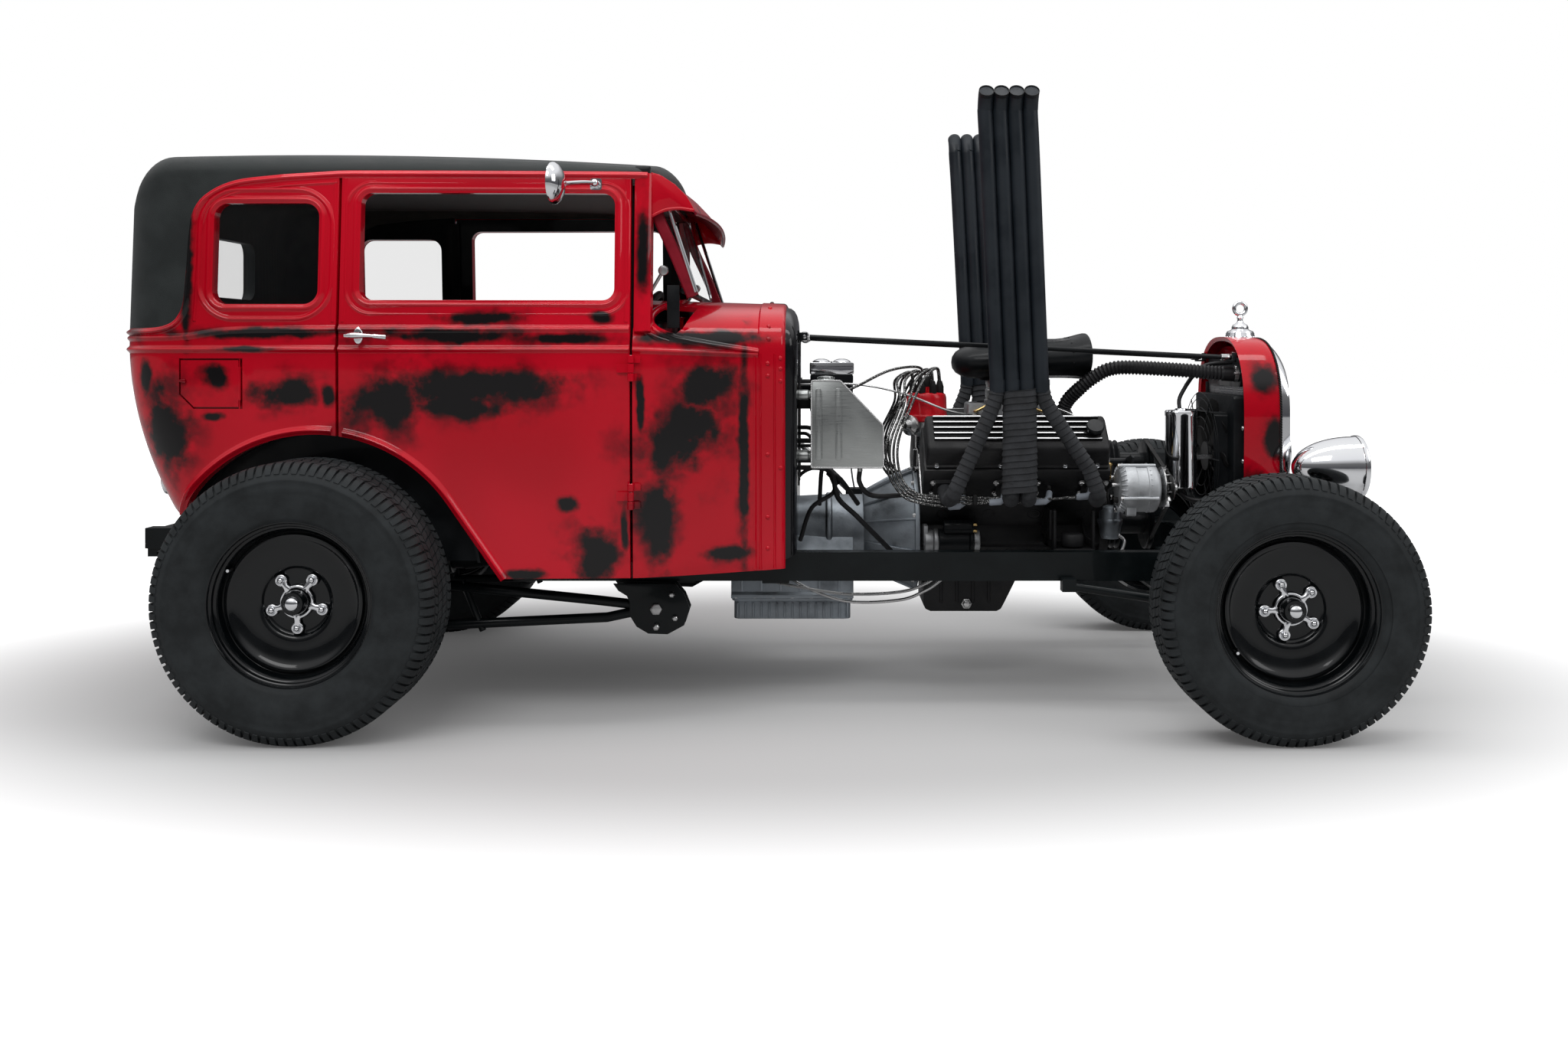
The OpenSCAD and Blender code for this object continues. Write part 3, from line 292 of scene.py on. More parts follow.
class Finish:
    """A material with one Principled shader, and short ways to add nodes to it."""

    def __init__(self, name, color, roughness, metal=0.0, coat=0.0, **sockets):
        self.material = bpy.data.materials.new(name)
        self.material.use_nodes = True
        self.material.diffuse_color = (*color[:3], 1)
        self.tree = self.material.node_tree
        self.shader = self.tree.nodes["Principled BSDF"]
        self.set("Base Color", (*color[:3], 1))
        self.set("Roughness", roughness)
        self.set("Metallic", metal)
        self.set("Coat Weight", coat)
        self.set("Coat Roughness", 0.04)
        for socket, value in sockets.items():
            self.set(socket.replace("_", " "), value)
        self.place = self.node("ShaderNodeTexCoord").outputs["Object"]

    def set(self, socket, value):
        self.shader.inputs[socket].default_value = value

    def node(self, kind, inputs=None, **settings):
        n = self.tree.nodes.new(kind)
        for key, value in settings.items():
            setattr(n, key, value)
        for key, value in (inputs or {}).items():
            if isinstance(value, bpy.types.NodeSocket):
                self.tree.links.new(value, n.inputs[key])
            else:
                n.inputs[key].default_value = value
        return n

    def link(self, out, socket):
        self.tree.links.new(out, self.shader.inputs[socket])

    def math(self, operation, a, b=0.0, clamp=False):
        return self.node("ShaderNodeMath", {0: a, 1: b}, operation=operation, use_clamp=clamp).outputs[0]

    def times(self, a, b):
        return self.math("MULTIPLY", a, b)

    def plus(self, a, b, clamp=False):
        return self.math("ADD", a, b, clamp)

    def less(self, a, b):
        return self.math("SUBTRACT", a, b)

    def over(self, a, b):
        return self.math("DIVIDE", a, b)

    def most(self, a, b):
        return self.math("MAXIMUM", a, b)

    def noise(self, scale, detail=3.0, rough=0.5, place=None, distortion=0.0):
        return self.node("ShaderNodeTexNoise", {"Vector": place or self.place, "Scale": scale,
            "Detail": detail, "Roughness": rough, "Distortion": distortion}).outputs["Fac"]

    def stretched(self, scale):
        """The piece's own coordinates, stretched by three factors."""
        return self.node("ShaderNodeMapping", {"Vector": self.place, "Scale": scale}).outputs["Vector"]

    def ramp(self, value, low, high, start=0.0, end=1.0):
        return self.node("ShaderNodeMapRange", {"Value": value, "From Min": low, "From Max": high,
            "To Min": start, "To Max": end}, interpolation_type="SMOOTHSTEP").outputs["Result"]

    def mix(self, amount, a, b):
        n = self.node("ShaderNodeMix", data_type="RGBA")
        for socket, value in ((n.inputs[0], amount), (n.inputs[6], a), (n.inputs[7], b)):
            if isinstance(value, bpy.types.NodeSocket):
                self.tree.links.new(value, socket)
            elif isinstance(value, (tuple, list)):
                socket.default_value = (*value[:3], 1)
            else:
                socket.default_value = value
        return n.outputs[2]

    def bump(self, height, strength, distance=0.001):
        n = self.node("ShaderNodeBump", {"Height": height, "Strength": strength, "Distance": distance})
        self.link(n.outputs["Normal"], "Normal")

    def worn(self, dark, light, scale, low, high, detail=4.0):
        """Colour and roughness that drift between two colours and two roughnesses."""
        drift = self.ramp(self.noise(scale, detail, 0.6), 0.3, 0.7)
        self.link(self.mix(drift, dark, light), "Base Color")
        self.link(self.ramp(drift, 0, 1, low, high), "Roughness")
        return self


RED = (0.62, 0.003, 0.018)
DEEP_RED = (0.47, 0.001, 0.011)
PAINT_BLACK = (0.0055, 0.0045, 0.005)

# Soft sprayed patches on the body sides: (x, z, half length, half height), in metres.
SPRAYED = [
    (-1.017, 0.886, 0.1, 0.065), (-0.775, 0.932, 0.2, 0.055), (-0.788, 0.886, 0.13, 0.035),
    (-0.854, 1.076, 0.2, 0.02), (-0.514, 1.069, 0.11, 0.014), (-0.769, 1.125, 0.1, 0.017),
    (-0.42, 1.125, 0.03, 0.016), (-0.52, 0.614, 0.028, 0.022), (-0.442, 0.481, 0.065, 0.085),
    (-0.625, 0.418, 0.05, 0.016), (-0.358, 0.546, 0.01, 0.055), (-1.351, 1.085, 0.19, 0.014),
    (-1.39, 1.043, 0.08, 0.008), (-1.479, 0.962, 0.035, 0.028), (-1.285, 0.923, 0.09, 0.042),
    (-1.165, 0.912, 0.018, 0.03), (-1.481, 0.856, 0.028, 0.012), (-1.612, 0.808, 0.075, 0.11),
    (-1.681, 0.958, 0.02, 0.06), (-1.556, 1.26, 0.012, 0.16), (-0.213, 0.808, 0.11, 0.095),
    (-0.135, 0.938, 0.075, 0.06), (-0.266, 0.559, 0.045, 0.14), (-0.076, 0.461, 0.055, 0.022),
    (-0.036, 0.716, 0.014, 0.28), (-0.318, 0.899, 0.01, 0.07), (-0.148, 1.069, 0.15, 0.022),
    (-0.312, 1.285, 0.014, 0.11), (1.53, 0.958, 0.035, 0.04), (1.56, 0.77, 0.03, 0.05),
    (1.5, 0.62, 0.05, 0.04),
]


def red_paint():
    """Gloss red with soft black patches sprayed into it, and the faint ripple of hand-laid paint."""
    f = Finish("red_paint", RED, 0.22, coat=0.6, Specular_IOR_Level=0.05)
    warp = f.node("ShaderNodeTexNoise", {"Vector": f.place, "Scale": 7.0, "Detail": 4.0, "Roughness": 0.62})
    fine = f.noise(38.0, 3.0)
    parts = f.node("ShaderNodeSeparateXYZ", {"Vector": f.place})
    shift = f.node("ShaderNodeSeparateXYZ", {"Vector": warp.outputs["Color"]})
    mist = f.node("ShaderNodeTexNoise", {"Vector": f.place, "Scale": 21.0, "Detail": 3.0, "Roughness": 0.6})
    drift = f.node("ShaderNodeSeparateXYZ", {"Vector": mist.outputs["Color"]})

    def stray(axis):
        wide = f.times(f.less(shift.outputs[axis], 0.5), 2.3)
        near = f.times(f.less(drift.outputs[axis], 0.5), 0.9)
        return f.plus(wide, near)
    stray_x, stray_z = stray("X"), stray("Z")
    amount = haze = None
    for px, pz, rx, rz in SPRAYED:
        u = f.plus(f.over(f.less(parts.outputs["X"], px), rx), stray_x)
        v = f.plus(f.over(f.less(parts.outputs["Z"], pz), rz), stray_z)
        away = f.math("SQRT", f.plus(f.times(u, u), f.times(v, v)))
        spot = f.ramp(away, 1.45, 0.65)
        amount = spot if amount is None else f.most(amount, spot)
        if rx * rz > 0.0012:
            veil = f.ramp(away, 2.3, 1.1)
            haze = veil if haze is None else f.most(haze, veil)
    # the back of the body and the top of the cowl carry patches of their own
    loose = f.ramp(f.noise(4.2, 3.0, 0.55, distortion=0.4), 0.58, 0.68)
    behind = f.ramp(parts.outputs["X"], -1.66, -1.72)
    above = f.times(f.ramp(parts.outputs["Z"], 1.1, 1.13), f.ramp(parts.outputs["X"], -0.33, -0.28))
    amount = f.most(amount, f.times(loose, f.most(behind, above)))
    grain = f.times(f.less(fine, 0.5), 0.22)
    edge = f.times(amount, f.less(1.0, amount))
    amount = f.plus(amount, f.times(grain, edge), clamp=True)
    tone = f.mix(f.ramp(f.noise(1.6, 2.0), 0.35, 0.65), DEEP_RED, RED)
    veil = f.times(haze, f.ramp(f.noise(9.0, 3.0, 0.6), 0.42, 0.66, 0.0, 0.75))
    tone = f.mix(veil, tone, (0.085, 0.002, 0.006))
    f.link(f.mix(amount, tone, PAINT_BLACK), "Base Color")
    f.link(f.ramp(amount, 0, 1, 0.2, 0.34), "Roughness")
    f.bump(f.noise(55.0, 2.0), 0.018, 0.002)
    return f.material


def plain_paint(name, color, roughness, coat=0.6, ripple=0.02, scale=70.0):
    """Brushed or sprayed enamel with dust and a light ripple."""
    f = Finish(name, color, roughness, coat=coat, Specular_IOR_Level=0.15)
    light = tuple(min(1, c * 1.6 + 0.0008) for c in color)
    f.worn(color, light, 9.0, roughness * 0.8, min(1, roughness * 1.35))
    f.bump(f.noise(scale, 3.0), ripple, 0.002)
    return f.material


def vinyl():
    """Padded black vinyl: pebbled grain, matt, a little grey with age."""
    f = Finish("roof_vinyl", (0.01, 0.011, 0.012), 0.55, Specular_IOR_Level=0.3, Sheen_Weight=0.06)
    cells = f.node("ShaderNodeTexVoronoi", {"Vector": f.place, "Scale": 620.0}, feature="F1")
    f.worn((0.01, 0.013, 0.013), (0.022, 0.027, 0.027), 5.0, 0.46, 0.62)
    height = f.plus(cells.outputs["Distance"], f.times(f.noise(6.0, 2.0), 3.0))
    f.bump(height, 0.28, 0.0009)
    return f.material


def leather():
    """Creased black seat leather."""
    f = Finish("seat_leather", (0.022, 0.02, 0.02), 0.42, Sheen_Weight=0.1)
    cells = f.node("ShaderNodeTexVoronoi", {"Vector": f.place, "Scale": 330.0}, feature="DISTANCE_TO_EDGE")
    f.worn((0.016, 0.015, 0.015), (0.038, 0.034, 0.032), 8.0, 0.36, 0.52)
    f.bump(f.ramp(cells.outputs["Distance"], 0.0, 0.12), 0.22, 0.0008)
    return f.material


def headliner():
    """Dark woven cloth under the roof."""
    f = Finish("headliner_cloth", (0.045, 0.04, 0.034), 0.9, Sheen_Weight=0.3)
    weave = f.node("ShaderNodeTexWave", {"Vector": f.place, "Scale": 260.0, "Distortion": 1.5},
        bands_direction="X")
    f.worn((0.035, 0.031, 0.027), (0.06, 0.054, 0.046), 11.0, 0.85, 0.95)
    f.bump(weave.outputs["Fac"], 0.25, 0.0008)
    return f.material


def rubber(name, color, roughness, dust=0.5):
    """Tyre or hose rubber, with dry dust in the low frequencies."""
    f = Finish(name, color, roughness, Specular_IOR_Level=0.22)
    pale = tuple(c * (1 + 2.2 * dust) + 0.006 * dust for c in color)
    f.worn(color, pale, 14.0, roughness * 0.88, min(1, roughness * 1.12), 6.0)
    f.bump(f.noise(420.0, 2.0), 0.1, 0.0006)
    return f.material


def chrome(name="chrome", color=(0.82, 0.83, 0.85), roughness=0.06):
    """Polished plate with faint hazy smears."""
    f = Finish(name, color, roughness, metal=1.0)
    f.link(f.ramp(f.noise(16.0, 4.0, 0.6), 0.3, 0.75, roughness * 0.6, roughness * 2.2), "Roughness")
    f.bump(f.noise(30.0, 2.0), 0.012, 0.002)
    return f.material


def cast_metal(name, color, roughness, metal=1.0, scale=210.0, depth=0.35, stain=0.55):
    """Sand-cast metal: a rough skin with oily and dusty areas."""
    f = Finish(name, color, roughness, metal=metal, Specular_IOR_Level=0.3)
    dark = tuple(c * (1 - stain) for c in color)
    f.worn(dark, color, 7.0, roughness * 0.75, min(1, roughness * 1.3), 6.0)
    f.bump(f.plus(f.noise(scale, 4.0), f.times(f.noise(scale / 6, 2.0), 1.5)), depth, 0.0012)
    return f.material


def brushed(color):
    """Sheet metal with long fine scratches."""
    roughness = 0.34
    f = Finish("brushed_aluminium", color, roughness, metal=1.0, Anisotropic=0.35)
    lines = f.noise(6.0, 5.0, 0.6, place=f.stretched((3.0, 3.0, 160.0)))
    cloud = f.ramp(f.noise(5.0, 3.0), 0.3, 0.7)
    f.link(f.mix(cloud, tuple(c * 0.72 for c in color), color), "Base Color")
    f.link(f.ramp(lines, 0.25, 0.75, roughness * 0.7, roughness * 1.35), "Roughness")
    f.bump(lines, 0.08, 0.0008)
    return f.material


def wrap():
    """Flat black heat wrap: woven tape."""
    f = Finish("heat_wrap", (0.016, 0.017, 0.02), 0.88)
    cells = f.node("ShaderNodeTexVoronoi", {"Vector": f.place, "Scale": 420.0}, feature="F1")
    f.worn((0.011, 0.012, 0.014), (0.034, 0.036, 0.04), 22.0, 0.8, 0.95)
    f.bump(cells.outputs["Distance"], 0.5, 0.001)
    return f.material


def glass(name, color, alpha, roughness=0.02):
    """Thin glass: mostly clear, with a sharp reflection."""
    f = Finish(name, color, roughness, coat=0.3, Alpha=alpha, Specular_IOR_Level=0.35)
    f.link(f.ramp(f.noise(9.0, 3.0), 0.3, 0.8, roughness, roughness + 0.03), "Roughness")
    return f.material


def lens(name, color, rough=0.03):
    """Solid clear lamp glass."""
    f = Finish(name, color, rough, coat=0.5, Transmission_Weight=0.85, IOR=1.45)
    flutes = f.node("ShaderNodeTexWave", {"Vector": f.place, "Scale": 22.0}, bands_direction="Y")
    f.bump(flutes.outputs["Fac"], 0.25, 0.002)
    return f.material


def braid():
    """Black and silver braided plug lead, patterned along its own length."""
    f = Finish("braided_lead", (0.02, 0.02, 0.02), 0.4)
    uv = f.node("ShaderNodeTexCoord").outputs["UV"]
    turn = f.node("ShaderNodeMapping", {"Vector": uv, "Scale": (230.0, 5.0, 1.0)}).outputs["Vector"]
    bars = f.ramp(f.noise(1.0, 1.0, place=turn), 0.57, 0.63)
    f.link(f.mix(bars, (0.01, 0.01, 0.01), (0.5, 0.5, 0.49)), "Base Color")
    f.link(f.times(bars, 0.55), "Metallic")
    f.bump(bars, 0.4, 0.0006)
    return f.material


paint = red_paint()
roof_skin = vinyl()
cloth = headliner()
hide = leather()
satin_black = plain_paint("satin_black", (0.005, 0.006, 0.007), 0.42, coat=0.1)
gloss_black = plain_paint("gloss_black", (0.004, 0.004, 0.005), 0.16, coat=0.4)
wheel_black = plain_paint("wheel_black", (0.0018, 0.0025, 0.003), 0.2, coat=0.5)
chassis_black = plain_paint("chassis_black", (0.003, 0.0045, 0.005), 0.34, coat=0.15)
# a darker copy of the body red, painted shade: the visor's underside and edge, the windshield posts and the
# dash take it
shaded_red = plain_paint("shaded_red", (0.16, 0.004, 0.012), 0.4, coat=0.2)
rubber_black = rubber("tyre_rubber", (0.013, 0.015, 0.016), 0.66, 0.4)
hose_black = rubber("hose_rubber", (0.012, 0.012, 0.013), 0.38, 0.3)
seal_black = rubber("seal_rubber", (0.01, 0.01, 0.01), 0.6, 0.2)
bright = chrome()
steel = chrome("worn_steel", (0.52, 0.52, 0.52), 0.24)
brass = chrome("brass", (0.74, 0.52, 0.22), 0.2)
engine_black = cast_metal("engine_black", (0.008, 0.008, 0.009), 0.5, metal=0.0, scale=150.0, depth=0.3,
    stain=0.4)
cover_black = cast_metal("crinkle_black", (0.008, 0.008, 0.009), 0.48, metal=0.0, scale=520.0, depth=0.5,
    stain=0.3)
stack_black = cast_metal("stack_black", (0.013, 0.018, 0.024), 0.46, metal=0.0, scale=60.0, depth=0.05,
    stain=0.3)
cast_grey = cast_metal("cast_aluminium", (0.4, 0.44, 0.48), 0.5)
alternator_alloy = cast_metal("alternator_alloy", (0.56, 0.58, 0.6), 0.5, metal=0.7, stain=0.3)
cast_bright = cast_metal("cast_bright", (0.5, 0.51, 0.52), 0.48, stain=0.4)
sheet_alloy = brushed((0.52, 0.54, 0.53))
header_wrap = wrap()
clear_glass = glass("clear_glass", (0.35, 0.38, 0.4), 0.08)
tinted_glass = glass("tinted_glass", (0.02, 0.022, 0.024), 0.1)
lamp_glass = lens("lamp_glass", (0.95, 0.97, 1.0))
red_glass = lens("red_glass", (0.55, 0.01, 0.01))
cap_red = plain_paint("cap_red", (0.5, 0.008, 0.016), 0.24, coat=0.5)
plastic_black = plain_paint("black_plastic", (0.012, 0.012, 0.012), 0.45, coat=0.0, scale=240.0)
boot_grey = rubber("grey_boot", (0.2, 0.22, 0.25), 0.5, 0.2)
lead_braid = braid()


# ---------------------------------------------------------------- repeated small parts

def scatter_group():
    """A geometry node group that puts one unit on every point, turned by the point's own turn."""
    group = bpy.data.node_groups.new("repeat_unit", "GeometryNodeTree")
    face = group.interface
    face.new_socket("Places", in_out="INPUT", socket_type="NodeSocketGeometry")
    face.new_socket("Unit", in_out="INPUT", socket_type="NodeSocketObject")
    size = face.new_socket("Size", in_out="INPUT", socket_type="NodeSocketFloat")
    size.default_value = 1.0
    face.new_socket("Finish", in_out="INPUT", socket_type="NodeSocketMaterial")
    face.new_socket("Geometry", in_out="OUTPUT", socket_type="NodeSocketGeometry")
    nodes, links = group.nodes, group.links
    source = nodes.new("NodeGroupInput")
    unit = nodes.new("GeometryNodeObjectInfo")
    turn = nodes.new("GeometryNodeInputNamedAttribute")
    turn.data_type = "FLOAT_VECTOR"
    turn.inputs["Name"].default_value = "turn"
    convert = nodes.new("FunctionNodeEulerToRotation")
    place = nodes.new("GeometryNodeInstanceOnPoints")
    real = nodes.new("GeometryNodeRealizeInstances")
    coat = nodes.new("GeometryNodeSetMaterial")
    out = nodes.new("NodeGroupOutput")
    links.new(source.outputs["Places"], place.inputs["Points"])
    links.new(source.outputs["Unit"], unit.inputs["Object"])
    links.new(unit.outputs["Geometry"], place.inputs["Instance"])
    links.new(turn.outputs["Attribute"], convert.inputs[0])
    links.new(convert.outputs[0], place.inputs["Rotation"])
    links.new(source.outputs["Size"], place.inputs["Scale"])
    links.new(place.outputs["Instances"], real.inputs["Geometry"])
    links.new(real.outputs["Geometry"], coat.inputs["Geometry"])
    links.new(source.outputs["Finish"], coat.inputs["Material"])
    links.new(coat.outputs["Geometry"], out.inputs["Geometry"])
    return group


REPEAT = scatter_group()


def repeat(name, unit, places, finish, body="root", angle=35):
    """Copies a small shape to many places, given as (position, turn or direction of its own z)."""
    seed = placed(name + "_unit", clean_mesh(name + "_unit", unit))
    cloud = bpy.data.meshes.new(name)
    cloud.from_pydata([tuple(p[0]) for p in places], [], [])
    turn = cloud.attributes.new("turn", "FLOAT_VECTOR", "POINT")
    for i, p in enumerate(places):
        turn.data[i].vector = p[1] if isinstance(p[1], Euler) else Vector(p[1]).to_track_quat("Z",
            "X").to_euler()
    obj = placed(name, cloud)
    mod = obj.modifiers.new("repeat", "NODES")
    mod.node_group = REPEAT
    for item in REPEAT.interface.items_tree:
        value = {"Unit": seed, "Size": 1.0, "Finish": finish}.get(item.name)
        if value is not None and item.in_out == "INPUT":
            mod[item.identifier] = value
    bake(obj)
    bpy.data.objects.remove(seed)
    shade(obj, angle)
    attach(obj, body)
    return obj


def hex_bolt(width=0.014, height=0.008):
    """A hexagon head on a round washer, standing on z = 0."""
    s = Shape()
    r = width / 2 / cos(pi / 6)
    flat = [(r * cos(TAU * k / 6), r * sin(TAU * k / 6)) for k in range(6)]
    top = [(x * 0.86, y * 0.86) for x, y in flat]
    s.loft([[(x, y, 0) for x, y in flat], [(x, y, height * 0.82) for x, y in flat],
        [(x, y, height) for x, y in top]])
    s.lathe([(0.0, 0.0), (width * 0.72, 0.0), (width * 0.72, 0.0014), (0.0, 0.0014)], (0, 0, 0), (0, 0, 1),
        20)
    return s


def dome(radius, height):
    """A round rivet head standing on z = 0."""
    s = Shape()
    steps = 5
    s.lathe([(radius * cos(pi / 2 * k / steps), height * sin(pi / 2 * k / steps))
             for k in range(steps + 1)], (0, 0, 0), (0, 0, 1), 14)
    return s


# ---------------------------------------------------------------- body surface

BELT, SILL, TOP = 1.06, 0.407, 1.522
DOOR_FRONT, DOOR_REAR, COWL_FRONT = -0.345, -1.139, 0.08
CORNER_X, CORNER_R, REAR_CROWN, REAR_SILL = -1.607, 0.17, 0.014, 0.58
WALL, GAP, LINER = 0.038, 0.007, 0.032
REAR_X, REAR_Y, REAR_Z = -1.204, 0.73, 0.3725
FRONT_X, FRONT_Y, FRONT_Z = 1.423, 0.7525, 0.3525
ARCH_R = 0.434


def side_tuck(z):
    """How far the side leans in at a height."""
    return 0.07 * (z - BELT) if z > BELT else 0.018 * ((BELT - z) / (BELT - SILL)) ** 2


def rear_tuck(z):
    """How far the back leans forward below the belt."""
    return 0 if z > BELT else 0.13 * ((BELT - z) / 0.473) ** 2


def side_y(x, z):
    """Half width of the body at a station and a height."""
    if x > DOOR_FRONT:
        w = 0.632 - 0.172 * ((x - DOOR_FRONT) / (COWL_FRONT - DOOR_FRONT)) ** 1.25
    elif x > DOOR_REAR:
        w = 0.655 - 0.023 * ((x - DOOR_REAR) / (DOOR_FRONT - DOOR_REAR)) ** 2
    else:
        w = 0.655 - 0.007 * ((DOOR_REAR - x) / (DOOR_REAR - CORNER_X)) ** 2
    return w - side_tuck(z)


def skin(s, z, inset=0.0):
    """Point of the left side; s is x along the side and goes on as a distance round the rear corner."""
    cx = CORNER_X + rear_tuck(z)
    cy = side_y(cx, z) - CORNER_R
    if s >= cx:
        return Vector((s, side_y(s, z) - inset, z))
    a = (cx - s) / CORNER_R
    r = CORNER_R - inset
    if a <= pi / 2:
        return Vector((cx - r * sin(a), cy + r * cos(a), z))
    y = cy - (a - pi / 2) * CORNER_R
    return Vector((cx - r - REAR_CROWN * (1 - (y / cy) ** 2), y, z))


def corner_end(z):
    """Where the rear corner ends and the back begins, as a distance along the side."""
    return CORNER_X + rear_tuck(z) - CORNER_R * pi / 2


def lookup(x, table):
    """A value read off a table of steps, with straight runs between them."""
    if x <= table[0][0]:
        return table[0][1]
    for (a, p), (b, q) in zip(table, table[1:]):
        if x <= b:
            return p + (q - p) * (x - a) / (b - a)
    return table[-1][1]


ROOF_EDGE = [(-1.645, 1.085), (-1.591, 1.104), (-1.559, 1.169), (-1.548, 1.352), (-1.538, 1.417),
    (-1.506, 1.46), (-1.43, 1.496), (-1.3, 1.512), (DOOR_REAR, TOP)]


def roof_edge(x):
    """Height of the padded roof's edge along the side."""
    return lookup(x, ROOF_EDGE)


def lines(a, b, gap, rim=0.003):
    """Even steps from a to b, with close ones at both ends for a rounded rim."""
    n = max(2, round(abs(b - a) / gap))
    step = rim if b > a else -rim
    ends = (0, 0.1, 0.35, 0.7, 1)
    return ([a + step * k for k in ends] + [a + (b - a) * k / n for k in range(1, n)]
            + [b - step * k for k in reversed(ends)])


def rim_drop(d, rim=0.003):
    """How far a rounded rim falls away at a distance from the edge."""
    return rim - sqrt(max(0.0, rim * rim - (rim - max(0.0, d)) ** 2)) if d < rim else 0.0


def slab(shape, columns, rows, place, finish=(0, 1)):
    """A panel with an outer and an inner face; place(column, row, inner) gives each point."""
    n, m = len(columns), len(rows)
    start = len(shape.points)
    for inner in (False, True):
        for r in rows:
            for c in columns:
                shape.points.append(tuple(place(c, r, inner)))
    back = start + n * m
    faces, kinds = [], []
    for i in range(m - 1):
        for j in range(n - 1):
            a = i * n + j
            faces.append((start + a, start + a + 1, start + a + n + 1, start + a + n))
            kinds.append(finish[0])
            faces.append((back + a, back + a + n, back + a + n + 1, back + a + 1))
            kinds.append(finish[1])
    ring = ([i for i in range(n)] + [n - 1 + n * i for i in range(1, m)]
        + [n * m - 1 - i for i in range(1, n)] + [n * (m - 1 - i) for i in range(1, m - 1)])
    for k, a in enumerate(ring):
        b = ring[(k + 1) % len(ring)]
        faces.append((start + a, back + a, back + b, start + b))
        kinds.append(finish[0])
    shape.faces += faces
    shape.finishes += kinds
    return shape


def bead(shape, path, width, height, place=skin, sink=0.002, closed=False):
    """A raised moulding on a surface, along a path of (s, z) points."""
    steps = 8
    rings = []
    count = len(path)
    for i, (s, z) in enumerate(path):
        before = path[(i - 1) % count] if closed or i else path[0]
        after = path[(i + 1) % count] if closed or i < count - 1 else path[-1]
        ds, dz = after[0] - before[0], after[1] - before[1]
        size = hypot(ds, dz) or 1
        ns, nz = -dz / size, ds / size
        ring = []
        for k in range(steps + 1):
            u = 2 * k / steps - 1
            h = height * cos(pi * u / 2) ** 2
            ring.append(place(s + ns * u * width / 2, z + nz * u * width / 2, -h))
        ring.append(place(s + ns * width / 2, z + nz * width / 2, sink))
        ring.append(place(s - ns * width / 2, z - nz * width / 2, sink))
        rings.append(ring)
    if closed:
        rings.append(rings[0])
    return shape.loft(rings, 0, caps=not closed)


def curve2(points, gap=0.02):
    """Even (s, z) steps along a smooth curve through (s, z) points."""
    return [(p.x, p.z) for p in spaced(smooth_path([(x, 0, z) for x, z in points], 10), gap)]


def offset_window(box, r, out):
    x0, z0, x1, z1 = box
    return rounded(x0 - out, z0 - out, x1 + out, z1 + out, r + out, 10)


def arch_line(r, low=SILL):
    """Edge of the opening over the rear wheel, from its front foot to its rear one, as (x, z)."""
    out = []
    a0 = radians(34)
    x, z = REAR_X + r * cos(a0), REAR_Z + r * sin(a0)
    run = (z - low) / cos(a0) * sin(a0)
    for k in range(6):
        out.append((x + run * (1 - k / 6), low + (z - low) * k / 6))
    for k in range(73):
        a = radians(34 + 144 * k / 72)
        out.append((REAR_X + r * cos(a), REAR_Z + r * sin(a)))
    return out


def arch_cutter():
    edge = arch_line(ARCH_R, SILL - 0.06)
    return Shape().prism(edge + [(REAR_X - ARCH_R, SILL - 0.06)], 0.38, 0.9, "y")


DOOR_WINDOW = (-1.085, 1.174, -0.387, 1.472)
REAR_WINDOW = (-1.49, 1.163, -1.197, 1.443)


# ---------------------------------------------------------------- body panels

